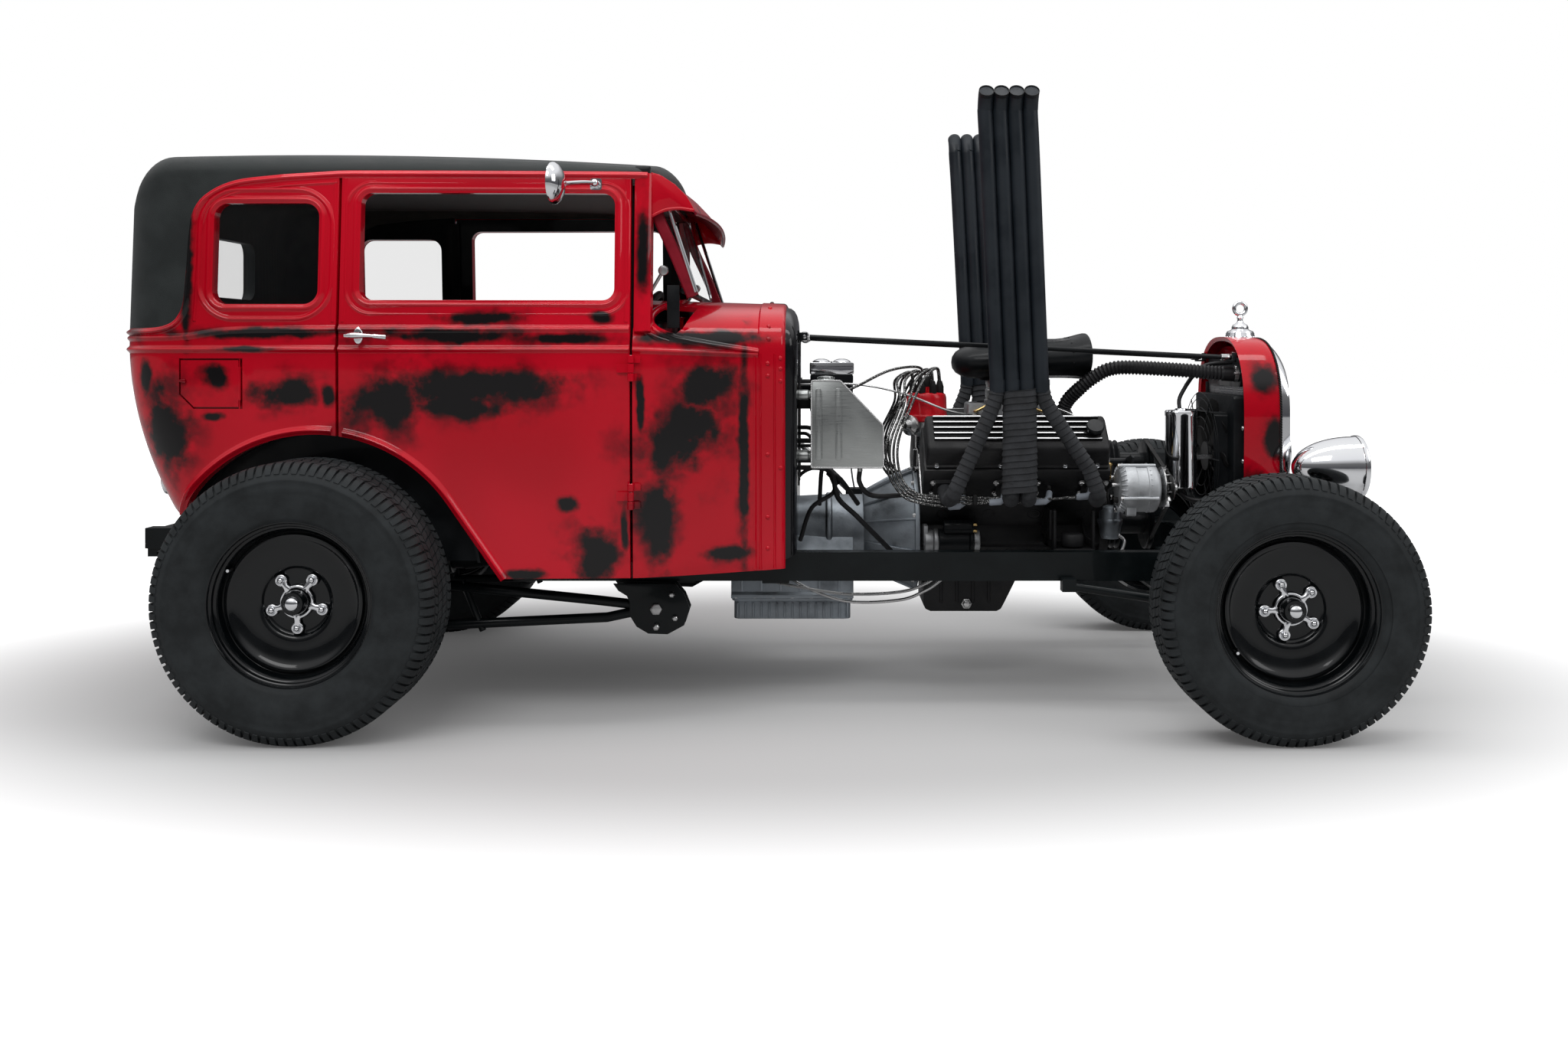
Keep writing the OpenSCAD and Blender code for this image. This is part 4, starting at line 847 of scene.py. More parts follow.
def make_door(side):
    """One door with its window, mouldings and the two middle hinge barrels."""
    s = Shape()

    def place(x, z, inner):
        edge = min(x - DOOR_REAR, DOOR_FRONT - x, z - SILL, 1.515 - z)
        return skin(x, z, WALL if inner else rim_drop(edge))
    slab(s, lines(DOOR_REAR, DOOR_FRONT, 0.033), lines(SILL, 1.515, 0.035), place)
    door = piece("door_skin", s, [paint, satin_black], angle=40)
    subtract(door, Shape().prism(rounded(*DOOR_WINDOW, 0.034), 0.5, 0.76, "y"))
    subtract(door, arch_cutter())
    trim = Shape()
    bead(trim, offset_window(DOOR_WINDOW, 0.034, 0.011), 0.024, 0.007, closed=True)
    bead(trim, offset_window((-1.085, 1.174, -0.387, 1.462), 0.034, 0.037), 0.012, 0.0035, closed=True)
    for z, h in ((1.04, 0.008), (1.096, 0.007)):
        bead(trim, [(x, z) for x in lines(DOOR_REAR + 0.001, DOOR_FRONT - 0.001, 0.03)], 0.022, h)
    for x in (DOOR_REAR + 0.01, DOOR_FRONT - 0.01):
        bead(trim, [(x, z) for z in lines(1.115, 1.512, 0.04)], 0.014, 0.0025)
    lip = [(x, z) for x, z in arch_line(0.4465, SILL + 0.001) if x > DOOR_REAR + 0.002]
    bead(trim, lip, 0.025, 0.01, sink=0.004)
    hinge_x, hinge_y = DOOR_FRONT + 0.005, side_y(DOOR_FRONT, BELT) + 0.014
    for z in (0.636, 0.988):
        trim.lathe([(0.0045, -0.012), (0.0085, -0.012), (0.009, -0.0115), (0.009, 0.0115), (0.0085, 0.012),
                    (0.0045, 0.012)], (hinge_x, hinge_y, z), (0, 0, 1), 24, closed=True)
        trim.prism(rounded(hinge_x - 0.04, z - 0.012, hinge_x - 0.006, z + 0.012, 0.003, 3), hinge_y - 0.024,
                   hinge_y - 0.006, "y")
    inside = Shape()
    inside.prism(rounded(-1.06, 0.8, -0.42, 1.1, 0.03, 5), side_y(-0.74, 0.95) - WALL - 0.006,
                 side_y(-0.74, 0.95) - WALL + 0.004, "y")
    inside.tube(smooth_path([(-0.86, 0.606, 1.0), (-0.86, 0.575, 1.0), (-0.66, 0.575, 1.0),
        (-0.66, 0.606, 1.0)], 5), 0.009, 10, 1)
    inside.lathe(disc(0.02, 0.01), (-0.56, 0.602, 0.93), (0, -1, 0), 20, 2)
    inside.tube([(-0.56, 0.594, 0.93), (-0.6, 0.58, 0.9), (-0.6, 0.56, 0.9)], 0.006, 10, 2)
    if side == "right":
        trim, inside = trim.mirrored(), inside.mirrored()
        door.data.transform(Matrix.Scale(-1, 4, (0, 1, 0)))
        door.data.flip_normals()
    body = "door_" + side
    door.name = body + "_skin"
    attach(door, body)
    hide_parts(body)
    piece(body + "_mouldings", trim, [paint], body)
    piece(body + "_lining", inside, [hide, satin_black, bright], body, bevel=0.002)


def make_gap_seals():
    """Rubber strips on the body behind the gaps in front of and behind the doors."""
    s = Shape()
    for x0, x1, low in ((-0.354, -0.325, 0.45), (-1.157, -1.128, 0.815)):
        rings = []
        for k in range(21):
            z = low + (1.5 - low) * k / 20
            y = side_y((x0 + x1) / 2, z) - 0.045
            rings.append([(x0, y, z), (x1, y, z), (x1, y - 0.008, z), (x0, y - 0.008, z)])
        s.loft(rings)
    s.with_mirror()
    piece("gap_seals", s, [seal_black])


def make_quarter(side):
    """Panel behind the door, round the rear corner, with window and wheel opening."""
    s = Shape()
    front = DOOR_REAR - GAP

    def low(c):
        return SILL if c > -1.4 else REAR_SILL

    def place(c, v, inner):
        z0 = low(c)
        z1 = roof_edge(c)
        z = z0 + (z1 - z0) * v
        stop = corner_end(z) + 0.0002
        u = front + (stop - front) * (front - c) / (front - (CORNER_X - CORNER_R * pi / 2))
        edge = min(front - u, (z - z0), (z1 - z) + 0.003)
        return skin(u, z, WALL if inner else rim_drop(edge))
    columns = [front - k for k in (0, 0.0003, 0.001, 0.002, 0.003)]
    step = 0.022
    c = front - step
    while c > CORNER_X - CORNER_R * pi / 2 + step / 2:
        columns.append(c)
        c -= step
    columns.append(CORNER_X - CORNER_R * pi / 2)
    slab(s, columns, [k / 34 for k in range(35)], place)
    panel = piece("quarter_skin", s, [paint, satin_black], angle=40)
    subtract(panel, Shape().prism(rounded(*REAR_WINDOW, 0.04), 0.5, 0.76, "y"))
    subtract(panel, arch_cutter())
    trim = Shape()
    bead(trim, offset_window(REAR_WINDOW, 0.04, 0.01), 0.022, 0.007, closed=True)
    bead(trim, offset_window((-1.487, 1.163, -1.2, 1.44), 0.06, 0.04), 0.018, 0.006, closed=True)
    lip = [(x, z) for x, z in arch_line(0.4465) if front - 0.001 > x and z > REAR_SILL]
    bead(trim, lip, 0.025, 0.01, sink=0.004)
    round_back = lines(front - 0.001, corner_end(BELT), 0.02)
    bead(trim, [(x, 1.04) for x in round_back], 0.022, 0.008)
    bead(trim, curve2([(front - 0.001, 1.096), (-1.36, 1.094), (-1.46, 1.09), (-1.55, 1.076), (-1.64, 1.072),
                       (-1.87, 1.071)]), 0.02, 0.006)
    bead(trim, [(front - 0.009, z) for z in lines(1.115, 1.505, 0.04)], 0.014, 0.0025)
    if side == "right":
        fuel_y = side_y(-1.492, 0.946)
        lid = [(-1.401, 1.015), (-1.401, 0.877), (-1.537, 0.877), (-1.576, 0.916), (-1.576, 1.015)]
        subtract(panel, Shape().prism(lid, fuel_y - 0.014, fuel_y + 0.04, "y"))
        trim.tube([(-1.411, fuel_y - 0.004, 0.872), (-1.411, fuel_y - 0.004, 1.02)], 0.0021, 8)
        neck = Shape().lathe([(0.0, -0.009), (0.034, -0.009), (0.036, -0.006), (0.034, -0.004),
            (0.0, -0.003)], (-1.49, fuel_y - 0.006, 0.95), (0, 1, 0), 28)
        piece("fuel_filler", neck.mirrored(), [steel])
        trim = trim.mirrored()
        panel.data.transform(Matrix.Scale(-1, 4, (0, 1, 0)))
        panel.data.flip_normals()
    panel.name = "quarter_skin_" + side
    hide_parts("quarter_panel_" + side)
    piece("quarter_mouldings_" + side, trim, [paint])


def make_rear():
    """Back panel under the vinyl, with belt mouldings."""
    s = Shape()
    half = 24

    def point(w, z, inset):
        end = corner_end(z) + 0.0004
        cx = CORNER_X + rear_tuck(z)
        cy = side_y(cx, z) - CORNER_R
        return Vector((cx - CORNER_R + inset - REAR_CROWN * (1 - w * w), (cy - 0.0004) * w,
            z)) if end else None

    def place(w, z, inner):
        return point(w, z, WALL if inner else rim_drop(z - REAR_SILL))
    slab(s, [k / half for k in range(-half, half + 1)], lines(REAR_SILL, 1.085, 0.02), place)
    for z, h, w in ((1.04, 0.008, 0.022), (1.071, 0.006, 0.02)):
        bead(s, [(k / half, z) for k in range(-half, half + 1)], w, h, place=point)
    bead(s, [(k / half, REAR_SILL + 0.013) for k in range(-half, half + 1)], 0.022, 0.007, place=point)
    piece("rear_skin", s, [paint, satin_black], replaces="rear_panel", angle=40)


def cowl_point(x, v, inset=0.0):
    """Point of the cowl; v runs from -1 at the right sill over the top to 1 at the left sill."""
    q = 1 - abs(v)
    side = 1 if v > 0 else -1
    if q < 0.6:
        z = SILL + (1.035 - SILL) * q / 0.6
        return Vector((x, side * (side_y(x, z) - inset), z))
    a = pi / 2 * (q - 0.6) / 0.4
    top = 1.195 - 0.012 * (x - DOOR_FRONT) / (COWL_FRONT - DOOR_FRONT)
    w, h = side_y(x, 1.035) - inset, top - inset - 1.035
    return Vector((x, side * w * max(0.0, cos(a)) ** 0.8, 1.035 + h * sin(a) ** 0.8))


def make_cowl():
    """The cowl with its hinge posts, mouldings and rivets."""
    s = Shape()
    rear = DOOR_FRONT + 0.0065

    def place(x, v, inner):
        if inner:
            return cowl_point(x, v, 0.014)
        edge = min(x - rear, (1 - abs(v)) * 1.05)
        front = COWL_FRONT - x
        soft = 0.012 * (1 - sqrt(max(0, 1 - (1 - front / 0.012) ** 2))) if front < 0.012 else 0
        band = 0.003 * min(1, max(0, (x - 0.002) / 0.004))
        return cowl_point(x, v, rim_drop(edge) + soft - band)
    columns = lines(rear, COWL_FRONT - 0.012, 0.016) + [COWL_FRONT - k for k in (0.009, 0.006, 0.0035,
        0.0015, 0)]
    columns = sorted(set(columns + [0.002, 0.004, 0.006]))
    rows = [k / 60 for k in range(-60, 61)]
    slab(s, columns, rows, place)
    shell = piece("cowl_skin", s, [paint, satin_black], replaces="cowl", angle=40)
    well = [(-0.345, 1.118), (-0.29, 1.108), (-0.255, 1.092), (-0.222, 1.084), (-0.205, 1.098), (-0.19, 1.13),
            (-0.172, 1.166), (-0.15, 1.186), (-0.15, 1.26), (-0.345, 1.26)]
    for m in (1, -1):
        subtract(shell, Shape().prism(well, m * 0.4, m * 0.7, "y"))
    t = Shape()
    loop = [(-0.232, 1.186), (-0.262, 1.178), (-0.285, 1.16), (-0.297, 1.136), (-0.293, 1.112),
        (-0.272, 1.092), (-0.235, 1.077), (-0.19, 1.066), (-0.12, 1.053), (-0.05, 1.042), (0.004, 1.034)]

    def on_cowl(x, z, inset=0.0):
        if z <= 1.035:
            return Vector((x, side_y(x, z) - inset, z))
        top = 1.195 - 0.012 * (x - DOOR_FRONT) / (COWL_FRONT - DOOR_FRONT)
        f = min(1.0, (z - 1.035) / (top - 1.035))
        a = asin(f ** 1.25)
        w = side_y(x, 1.035)
        up = f ** 2
        return Vector((x, w * max(0.0, cos(a)) ** 0.8 - inset * (1 - 0.6 * up), z - inset * 0.8 * up))
    bead(t, curve2(loop, 0.01), 0.02, 0.009, place=on_cowl, sink=0.012)
    bead(t, [(x, 1.038 - 0.012 * (x + 0.335) / 0.335) for x in lines(rear + 0.001, 0.003, 0.02)], 0.02, 0.007)
    bead(t, curve2([(rear + 0.001, 1.096), (-0.315, 1.095), (-0.298, 1.088), (-0.272, 1.073),
        (-0.24, 1.062)], 0.01), 0.018, 0.005, place=on_cowl, sink=0.012)
    for x in (0.01, 0.05):
        bead(t, [(x, z) for z in lines(SILL + 0.004, 1.028, 0.04)], 0.012, 0.0065)
    bead(t, [(-0.006, z) for z in lines(SILL + 0.004, 1.02, 0.04)], 0.01, 0.0035)
    hinge_x, hinge_y = DOOR_FRONT + 0.005, side_y(DOOR_FRONT, BELT) + 0.014
    for z in (0.636, 0.988):
        for low, high in ((z - 0.036, z - 0.014), (z + 0.014, z + 0.036)):
            t.lathe([(0.0, low), (0.0075, low), (0.009, low + 0.0015), (0.009, high - 0.0015), (0.0075, high),
                     (0.0, high)], (hinge_x, hinge_y, 0), (0, 0, 1), 24)
            t.prism(rounded(hinge_x + 0.006, low + 0.001, hinge_x + 0.026, high - 0.001, 0.003, 3),
                hinge_y - 0.028, hinge_y - 0.008, "y")
        t.tube([(hinge_x, hinge_y, z - 0.036), (hinge_x, hinge_y, z + 0.036)], 0.004, 12)
    post = []
    for z in [1.09 + 0.44 * k / 20 for k in range(21)]:
        y = side_y(-0.32, z)
        lean = 0.003 * sin(pi * k / 20) if (k := round((z - 1.09) / 0.022)) else 0
        post.append([(-0.335, y - 0.044, z), (-0.335, y - 0.002, z), (-0.33, y + 0.001, z),
            (-0.318, y + 0.001 + lean, z), (-0.3, y - 0.003, z), (-0.29, y - 0.012, z),
            (-0.287, y - 0.044, z)])
    t.loft(post)
    t.with_mirror()
    piece("cowl_mouldings", t, [paint])
    heads = []
    for x, z in ((0.03, 1.0), (0.03, 0.965), (0.066, 0.985), (0.066, 0.95), (0.03, 0.74), (0.03, 0.47),
                 (0.066, 0.7), (0.03, 0.56), (0.066, 1.015)):
        for m in (1, -1):
            heads.append(((x, m * (side_y(x, z) + 0.003), z), (0.42, m, 0)))
    for v in (0.3, 0.36, 0.16, 0.05):
        for m in (1, -1):
            p = cowl_point(0.032, v * m, -0.003)
            q = cowl_point(0.032, v * m, 0.01)
            heads.append((p, (p - q)))
    repeat("cowl_rivets", dome(0.0065, 0.0045), heads, paint)


def make_firewall():
    """The black firewall with its rolled edge, the opening for the gearbox, and ribs."""
    s = Shape()

    def ring(x, inset, low, top=2.0):
        out = []
        for k in range(-60, 61):
            p = cowl_point(COWL_FRONT, k / 60, inset)
            out.append((x, p.y, min(top, max(low, p.z))))
        return out
    s.loft([ring(0.07, 0.012, SILL + 0.02), ring(0.08, 0.01, SILL + 0.025), ring(0.092, 0.013, SILL + 0.03),
        ring(0.102, 0.021, SILL + 0.034), ring(0.109, 0.034, SILL + 0.038), ring(0.113, 0.052, SILL + 0.05),
        ring(0.114, 0.074, SILL + 0.07)])
    wall = piece("firewall_face", s, [gloss_black], replaces="firewall", angle=45)
    mouth = [(0.112 * cos(pi * k / 24), 0.46 + 0.112 * sin(pi * k / 24)) for k in range(25)]
    subtract(wall, Shape().prism(mouth + [(-0.112, 0.4), (0.112, 0.4)], 0.0, 0.2, "x"))
    ribs = Shape()
    for y in (-0.16, 0.16, 0.0):
        ribs.tube([(0.1135, y, 0.62), (0.1135, y, 1.06)], 0.006, 10)
    ribs.prism(rounded(-0.1, 0.9, 0.1, 1.02, 0.02, 5), 0.112, 0.119)
    piece("firewall_ribs", ribs, [gloss_black], bevel=0.0015)


# ---------------------------------------------------------------- roof

ROOF_FRONT, FRONT_CORNER_R = -0.262, 0.075
FRONT_CORNER_X = ROOF_FRONT - 0.02 - FRONT_CORNER_R


# heights at which the roof's skin ends behind the quarter window and across the back
WRAP_START, WRAP_END = 1.0984, 1.085


def roof_crown(x):
    """Height of the roof along the middle."""
    return 1.634 - 0.034 * ((x + 1.3) / 1.035) ** 2 if x > -1.3 else 1.634 - 0.006 * ((x + 1.3) / 0.4) ** 2


def roof_height(x, y, d, r):
    """Height of the roof at a point, at a distance from its rounded edge."""
    return roof_crown(x) - 0.166 * y * y - (r - sqrt(max(0, r * r - (r - d) ** 2)) if d < r else 0)


def roof_outline(kind, value, z, t):
    """A point on the outline of the roof, at a station and a thickness."""
    cy = side_y(CORNER_X, z) - CORNER_R
    fy = side_y(FRONT_CORNER_X, z) - FRONT_CORNER_R
    if kind == 0:
        return ROOF_FRONT - 0.02 * value * value - t, fy * value
    if kind == 1:
        a = radians(value)
        return FRONT_CORNER_X + (FRONT_CORNER_R - t) * cos(a), fy + (FRONT_CORNER_R - t) * sin(a)
    if kind == 2:
        return value, side_y(value, z) - t
    if kind == 3:
        a = radians(value)
        return CORNER_X - (CORNER_R - t) * sin(a), cy + (CORNER_R - t) * cos(a)
    return CORNER_X - CORNER_R + t - REAR_CROWN * (1 - value * value), cy * value


def roof_point(station, k, t):
    """A point of the roof's skin: a station round the outline, then a step inward or down."""
    kind, value = station
    qx, qy = roof_outline(kind, value, TOP, 0)
    r = 0.17
    if kind < 3:
        r = min(0.045, roof_crown(qx) - 0.166 * qy * qy - TOP - 0.003)
    elif kind == 3:
        r = 0.045 + 0.125 * sin(radians(value)) ** 2
    low = TOP if kind < 2 else WRAP_END
    if kind == 2:
        low = roof_edge(value)
    elif kind == 3 and value < 15:
        low = WRAP_START
    ox, oy = roof_outline(kind, value, TOP, t)
    ridge = min(max(ox, -1.25), -0.6)
    reach = hypot(ox - ridge, oy)
    edge = roof_height(qx, qy, 0, r)
    if k <= 0:
        z = edge + (low - edge) * -k
        x, y = roof_outline(kind, value, z, t)
        return Vector((x, y, z - (t * 0.2 if k == 0 else 0)))
    d = k * r if k <= 1 else r + (reach - r) * (k - 1)
    f = d / reach
    x, y = ox + (ridge - ox) * f, oy * (1 - f)
    return Vector((x, y, roof_height(x, y, d, r) - t * min(1, 0.3 + k)))


def make_roof():
    """The padded roof with its rear wrap, drip moulding and rear window frame."""
    stations = [(0, k / 8) for k in range(8)] + [(1, a) for a in range(0, 91, 9)]
    x = -0.4
    while x > -1.29:
        stations.append((2, x))
        x -= 0.04
    stations += [(2, x) for x in (-1.3, -1.34, -1.38, -1.41, -1.43, -1.455, -1.48, -1.506, -1.522, -1.538,
        -1.543, -1.548, -1.552, -1.556, -1.559, -1.57, -1.58, -1.591)]
    stations += [(3, 90 * k / 14) for k in range(15)] + [(4, k / 12) for k in range(11, -1, -1)]
    rings = [-1, -0.97, -0.85, -0.7, -0.55, -0.4, -0.25, -0.12, -0.04, 0, 0.02, 0.06, 0.12, 0.2, 0.3, 0.42,
        0.56, 0.7, 0.85, 1, 1.12, 1.26, 1.42, 1.6, 1.8, 2]

    def place(station, k, inner):
        p = roof_point(station, k, LINER if inner else 0)
        if k == 2:
            p.y = 0
        return p
    s = slab(Shape(), stations, rings, place)
    s.with_mirror()
    mesh_faces, kinds = [], []
    for f, kind in zip(s.faces, s.finishes):
        if all(abs(s.points[i][1]) < 1e-7 for i in f):
            continue
        mesh_faces.append(f)
        kinds.append(kind)
    s.faces, s.finishes = mesh_faces, kinds
    top = piece("roof_skin", s, [roof_skin, cloth], replaces="vinyl_top", angle=50)
    subtract(top, Shape().prism(rounded(-0.29, 1.21, 0.29, 1.4, 0.04), -1.85, -1.7, "x"))
    drip = Shape()
    edge = [(x, roof_edge(x) + 0.001) for x in lines(-0.3, -1.3, 0.03)]
    edge = edge + [(x, z) for x, z in curve2([(-1.3, 1.513), (-1.43, 1.497), (-1.506, 1.462),
        (-1.54, 1.417), (-1.549, 1.352), (-1.553, 1.26), (-1.559, 1.169), (-1.572, 1.13), (-1.596, 1.104),
        (-1.645, 1.09), (-1.75, 1.088), (-1.873, 1.087)], 0.015)][1:]
    bead(drip, edge, 0.02, 0.009, sink=0.004)
    low = [(x, roof_edge(x) - 0.021) for x in lines(-1.15, -1.3, 0.03)]
    low += [(x, z) for x, z in curve2([(-1.3, 1.489), (-1.42, 1.475), (-1.49, 1.443), (-1.516, 1.405),
        (-1.526, 1.34), (-1.531, 1.26), (-1.533, 1.175), (-1.536, 1.118)], 0.015)][1:]
    bead(drip, low, 0.012, 0.004, sink=0.003)
    back = [(k / 20, 1.088) for k in range(-20, 21)]

    def on_back(w, z, inset=0.0):
        cy = side_y(CORNER_X, z) - CORNER_R
        return Vector((CORNER_X - CORNER_R + inset - REAR_CROWN * (1 - w * w), cy * w, z))
    drip.with_mirror()
    bead(drip, back, 0.02, 0.009, place=on_back, sink=0.004)
    piece("drip_moulding", drip, [paint])
    frame_back = Shape()
    ring = rounded(-0.3, 1.2, 0.3, 1.41, 0.05)
    frame_back.loft([[(x, y, z) for (y, z) in [(a * (1 + g), 1.305 + (b - 1.305) * (1 + 1.6 * g))
        for a, b in ring]] for x, g in ((-1.77, 0.0), (-1.796, 0.0), (-1.799, 0.012), (-1.796, 0.034),
        (-1.775, 0.038), (-1.77, 0.0))], caps=False)
    piece("rear_window_frame", frame_back, [seal_black])


def make_glass():
    """Windshield, quarter and rear glass, and the trim round the windshield."""
    s = Shape()
    for m in (1, -1):
        y = side_y(-1.34, 1.3) - 0.018
        low, high = [], []
        for x, z in rounded(REAR_WINDOW[0] - 0.004, REAR_WINDOW[1] - 0.004, REAR_WINDOW[2] + 0.004,
                            REAR_WINDOW[3] + 0.004, 0.044):
            lean = 0.07 * (z - 1.3)
            low.append((x, m * (y - lean - 0.0025), z))
            high.append((x, m * (y - lean + 0.0025), z))
        s.loft([low, high], 0)
    s.prism(rounded(-0.292, 1.208, 0.292, 1.402, 0.042), -1.779, -1.774, "x", 0)
    tilt = radians(16.2)
    lean = (-sin(tilt), 0, cos(tilt))
    base = Vector((-0.205, 0, 1.212))
    pane = []
    for off in (-0.0025, 0.0025):
        pane.append([tuple(base + Vector(lean) * h + Vector((cos(tilt) * off, y, sin(tilt) * off)))
                     for y, h in rounded(-0.532, 0.0, 0.532, 0.292, 0.03)])
    s.loft(pane, 1)
    piece("window_glass", s, [tinted_glass, clear_glass], replaces="fixed_glass")
    rim = Shape()
    ring = [tuple(base + Vector(lean) * h + Vector((0, y, 0))) for y, h in rounded(-0.536, -0.004, 0.536,
        0.296, 0.034)]
    rim.tube(ring + [ring[0]], 0.006, 8, 0)
    for m in (1, -1):
        rim.tube([(-0.167, m * 0.57, 1.2), (-0.267, m * 0.56, 1.505)], 0.006, 10, 0)
        rim.tube([(-0.164, m * 0.548, 1.19), (-0.263, m * 0.54, 1.5)], 0.0035, 8, 1)
    piece("windshield_trim", rim, [bright, seal_black])


def make_visor():
    """Header, windshield posts and the curved sun visor with its drooping ears."""
    s = Shape()
    top = [(-0.286, 1.534), (-0.258, 1.53), (-0.226, 1.514), (-0.195, 1.491), (-0.168, 1.463),
        (-0.147, 1.434)]
    low = [(-0.141, 1.428), (-0.163, 1.452), (-0.192, 1.48), (-0.224, 1.504), (-0.258, 1.519),
        (-0.286, 1.522)]
    rings = []
    for k in range(-28, 29):
        w = k / 28
        y = 0.578 * w
        back = 0.03 * w * w
        droop = -0.012 * w * w
        rings.append([(x - back * (0.2 + 0.8 * i / 5), y, z + droop * i / 5)
            for i, (x, z) in enumerate(top)] + [(x - back * (1 - 0.8 * i / 5), y, z + droop * (1 - i / 5))
            for i, (x, z) in enumerate(low)])
    s.loft(rings, 0)
    # the visor's downward faces take the darker red, a painted shade under the visor
    for i in range(len(s.faces)):
        if i < 56 * 12 and 6 <= i % 12 <= 10:
            s.finishes[i] = 1
    side = [(-0.292, 1.53), (-0.262, 1.524), (-0.225, 1.5), (-0.192, 1.466), (-0.17, 1.428), (-0.17, 1.424),
            (-0.215, 1.43), (-0.258, 1.424), (-0.296, 1.406)]
    ear = Shape().prism(side, 0.57, 0.582, "y", 0)
    ear.tube(smooth_path([(-0.296, 0.58, 1.408), (-0.258, 0.58, 1.427), (-0.215, 0.58, 1.433),
                          (-0.172, 0.58, 1.427)], 5), 0.005, 8, 0)
    ear.with_mirror()
    s.add(ear.points, ear.faces, 0)
    piece("visor_shell", s, [paint, shaded_red], replaces="sun_visor", bevel=0.0015,
        angle=50)
    lip = Shape()
    lip.tube([(-0.139 - 0.03 * (k / 20) ** 2, 0.578 * k / 20, 1.431 - 0.012 * (k / 20) ** 2)
              for k in range(-20, 21)], 0.0055, 10)
    piece("visor_edge", lip, [shaded_red])
    f = Shape()
    post = [(-0.296, 0.548, 1.528), (-0.275, 0.55, 1.425), (-0.222, 0.553, 1.305), (-0.174, 0.556, 1.19)]
    for m in (1, -1):
        ring_points = smooth_path([(x, m * y, z) for x, y, z in post], 6)
        rings = []
        for p in ring_points:
            rings.append([(p.x + a, p.y + b, p.z + a * 0.35) for a, b in
                          ((-0.019, -0.01), (-0.015, -0.014), (0.008, -0.014), (0.012, -0.01), (0.012, 0.01),
                           (0.008, 0.014), (-0.015, 0.014), (-0.019, 0.01))])
        f.loft(rings, 0)
        f.box((-0.25, m * 0.552 - 0.004, 1.1), (-0.215, m * 0.552 + 0.004, 1.22), 1)
        f.lathe([(0, 0), (0.013, 0), (0.015, 0.004), (0.013, 0.014), (0.0, 0.016)],
            (-0.262, m * 0.545, 1.262), (0, -m, 0), 18, 2)
        f.tube([(-0.262, m * 0.54, 1.262), (-0.3, m * 0.53, 1.2), (-0.318, m * 0.53, 1.16)], 0.005, 10, 2)
    f.prism(rounded(-0.585, 1.5, 0.585, 1.552, 0.01, 4), -0.335, -0.296, "x", 1)
    f.tube([(-0.205, -0.545, 1.205), (-0.205, 0.545, 1.205)], 0.009, 12, 1)
    piece("windshield_posts", f, [shaded_red, satin_black, steel], replaces="windshield_frame",
        bevel=0.001)


for which in ("right", "left"):
    make_door(which)
    make_quarter(which)
make_gap_seals()
make_rear()
make_cowl()
make_firewall()
make_roof()
make_glass()
make_visor()


# ---------------------------------------------------------------- wheels

def tread_block(r, depth, y0, y1, a0, a1, skew=0.0, slope=0.0):
    """One rubber block on the tread: y0 to y1 across, a0 to a1 round, with sloping sides."""
    s = Shape()
    corners = []
    for y, shift, low in ((y0, 0.0, 0.0), (y1, skew, slope)):
        corners.append([(a0 + shift, r - low), (a1 + shift, r - low), (a1 + shift + 0.002, r - low - depth),
                        (a0 + shift - 0.002, r - low - depth)])
    s.loft([[(q * sin(a), y, q * cos(a)) for a, q in ring] for y, ring in zip((y0, y1), corners)])
    return s


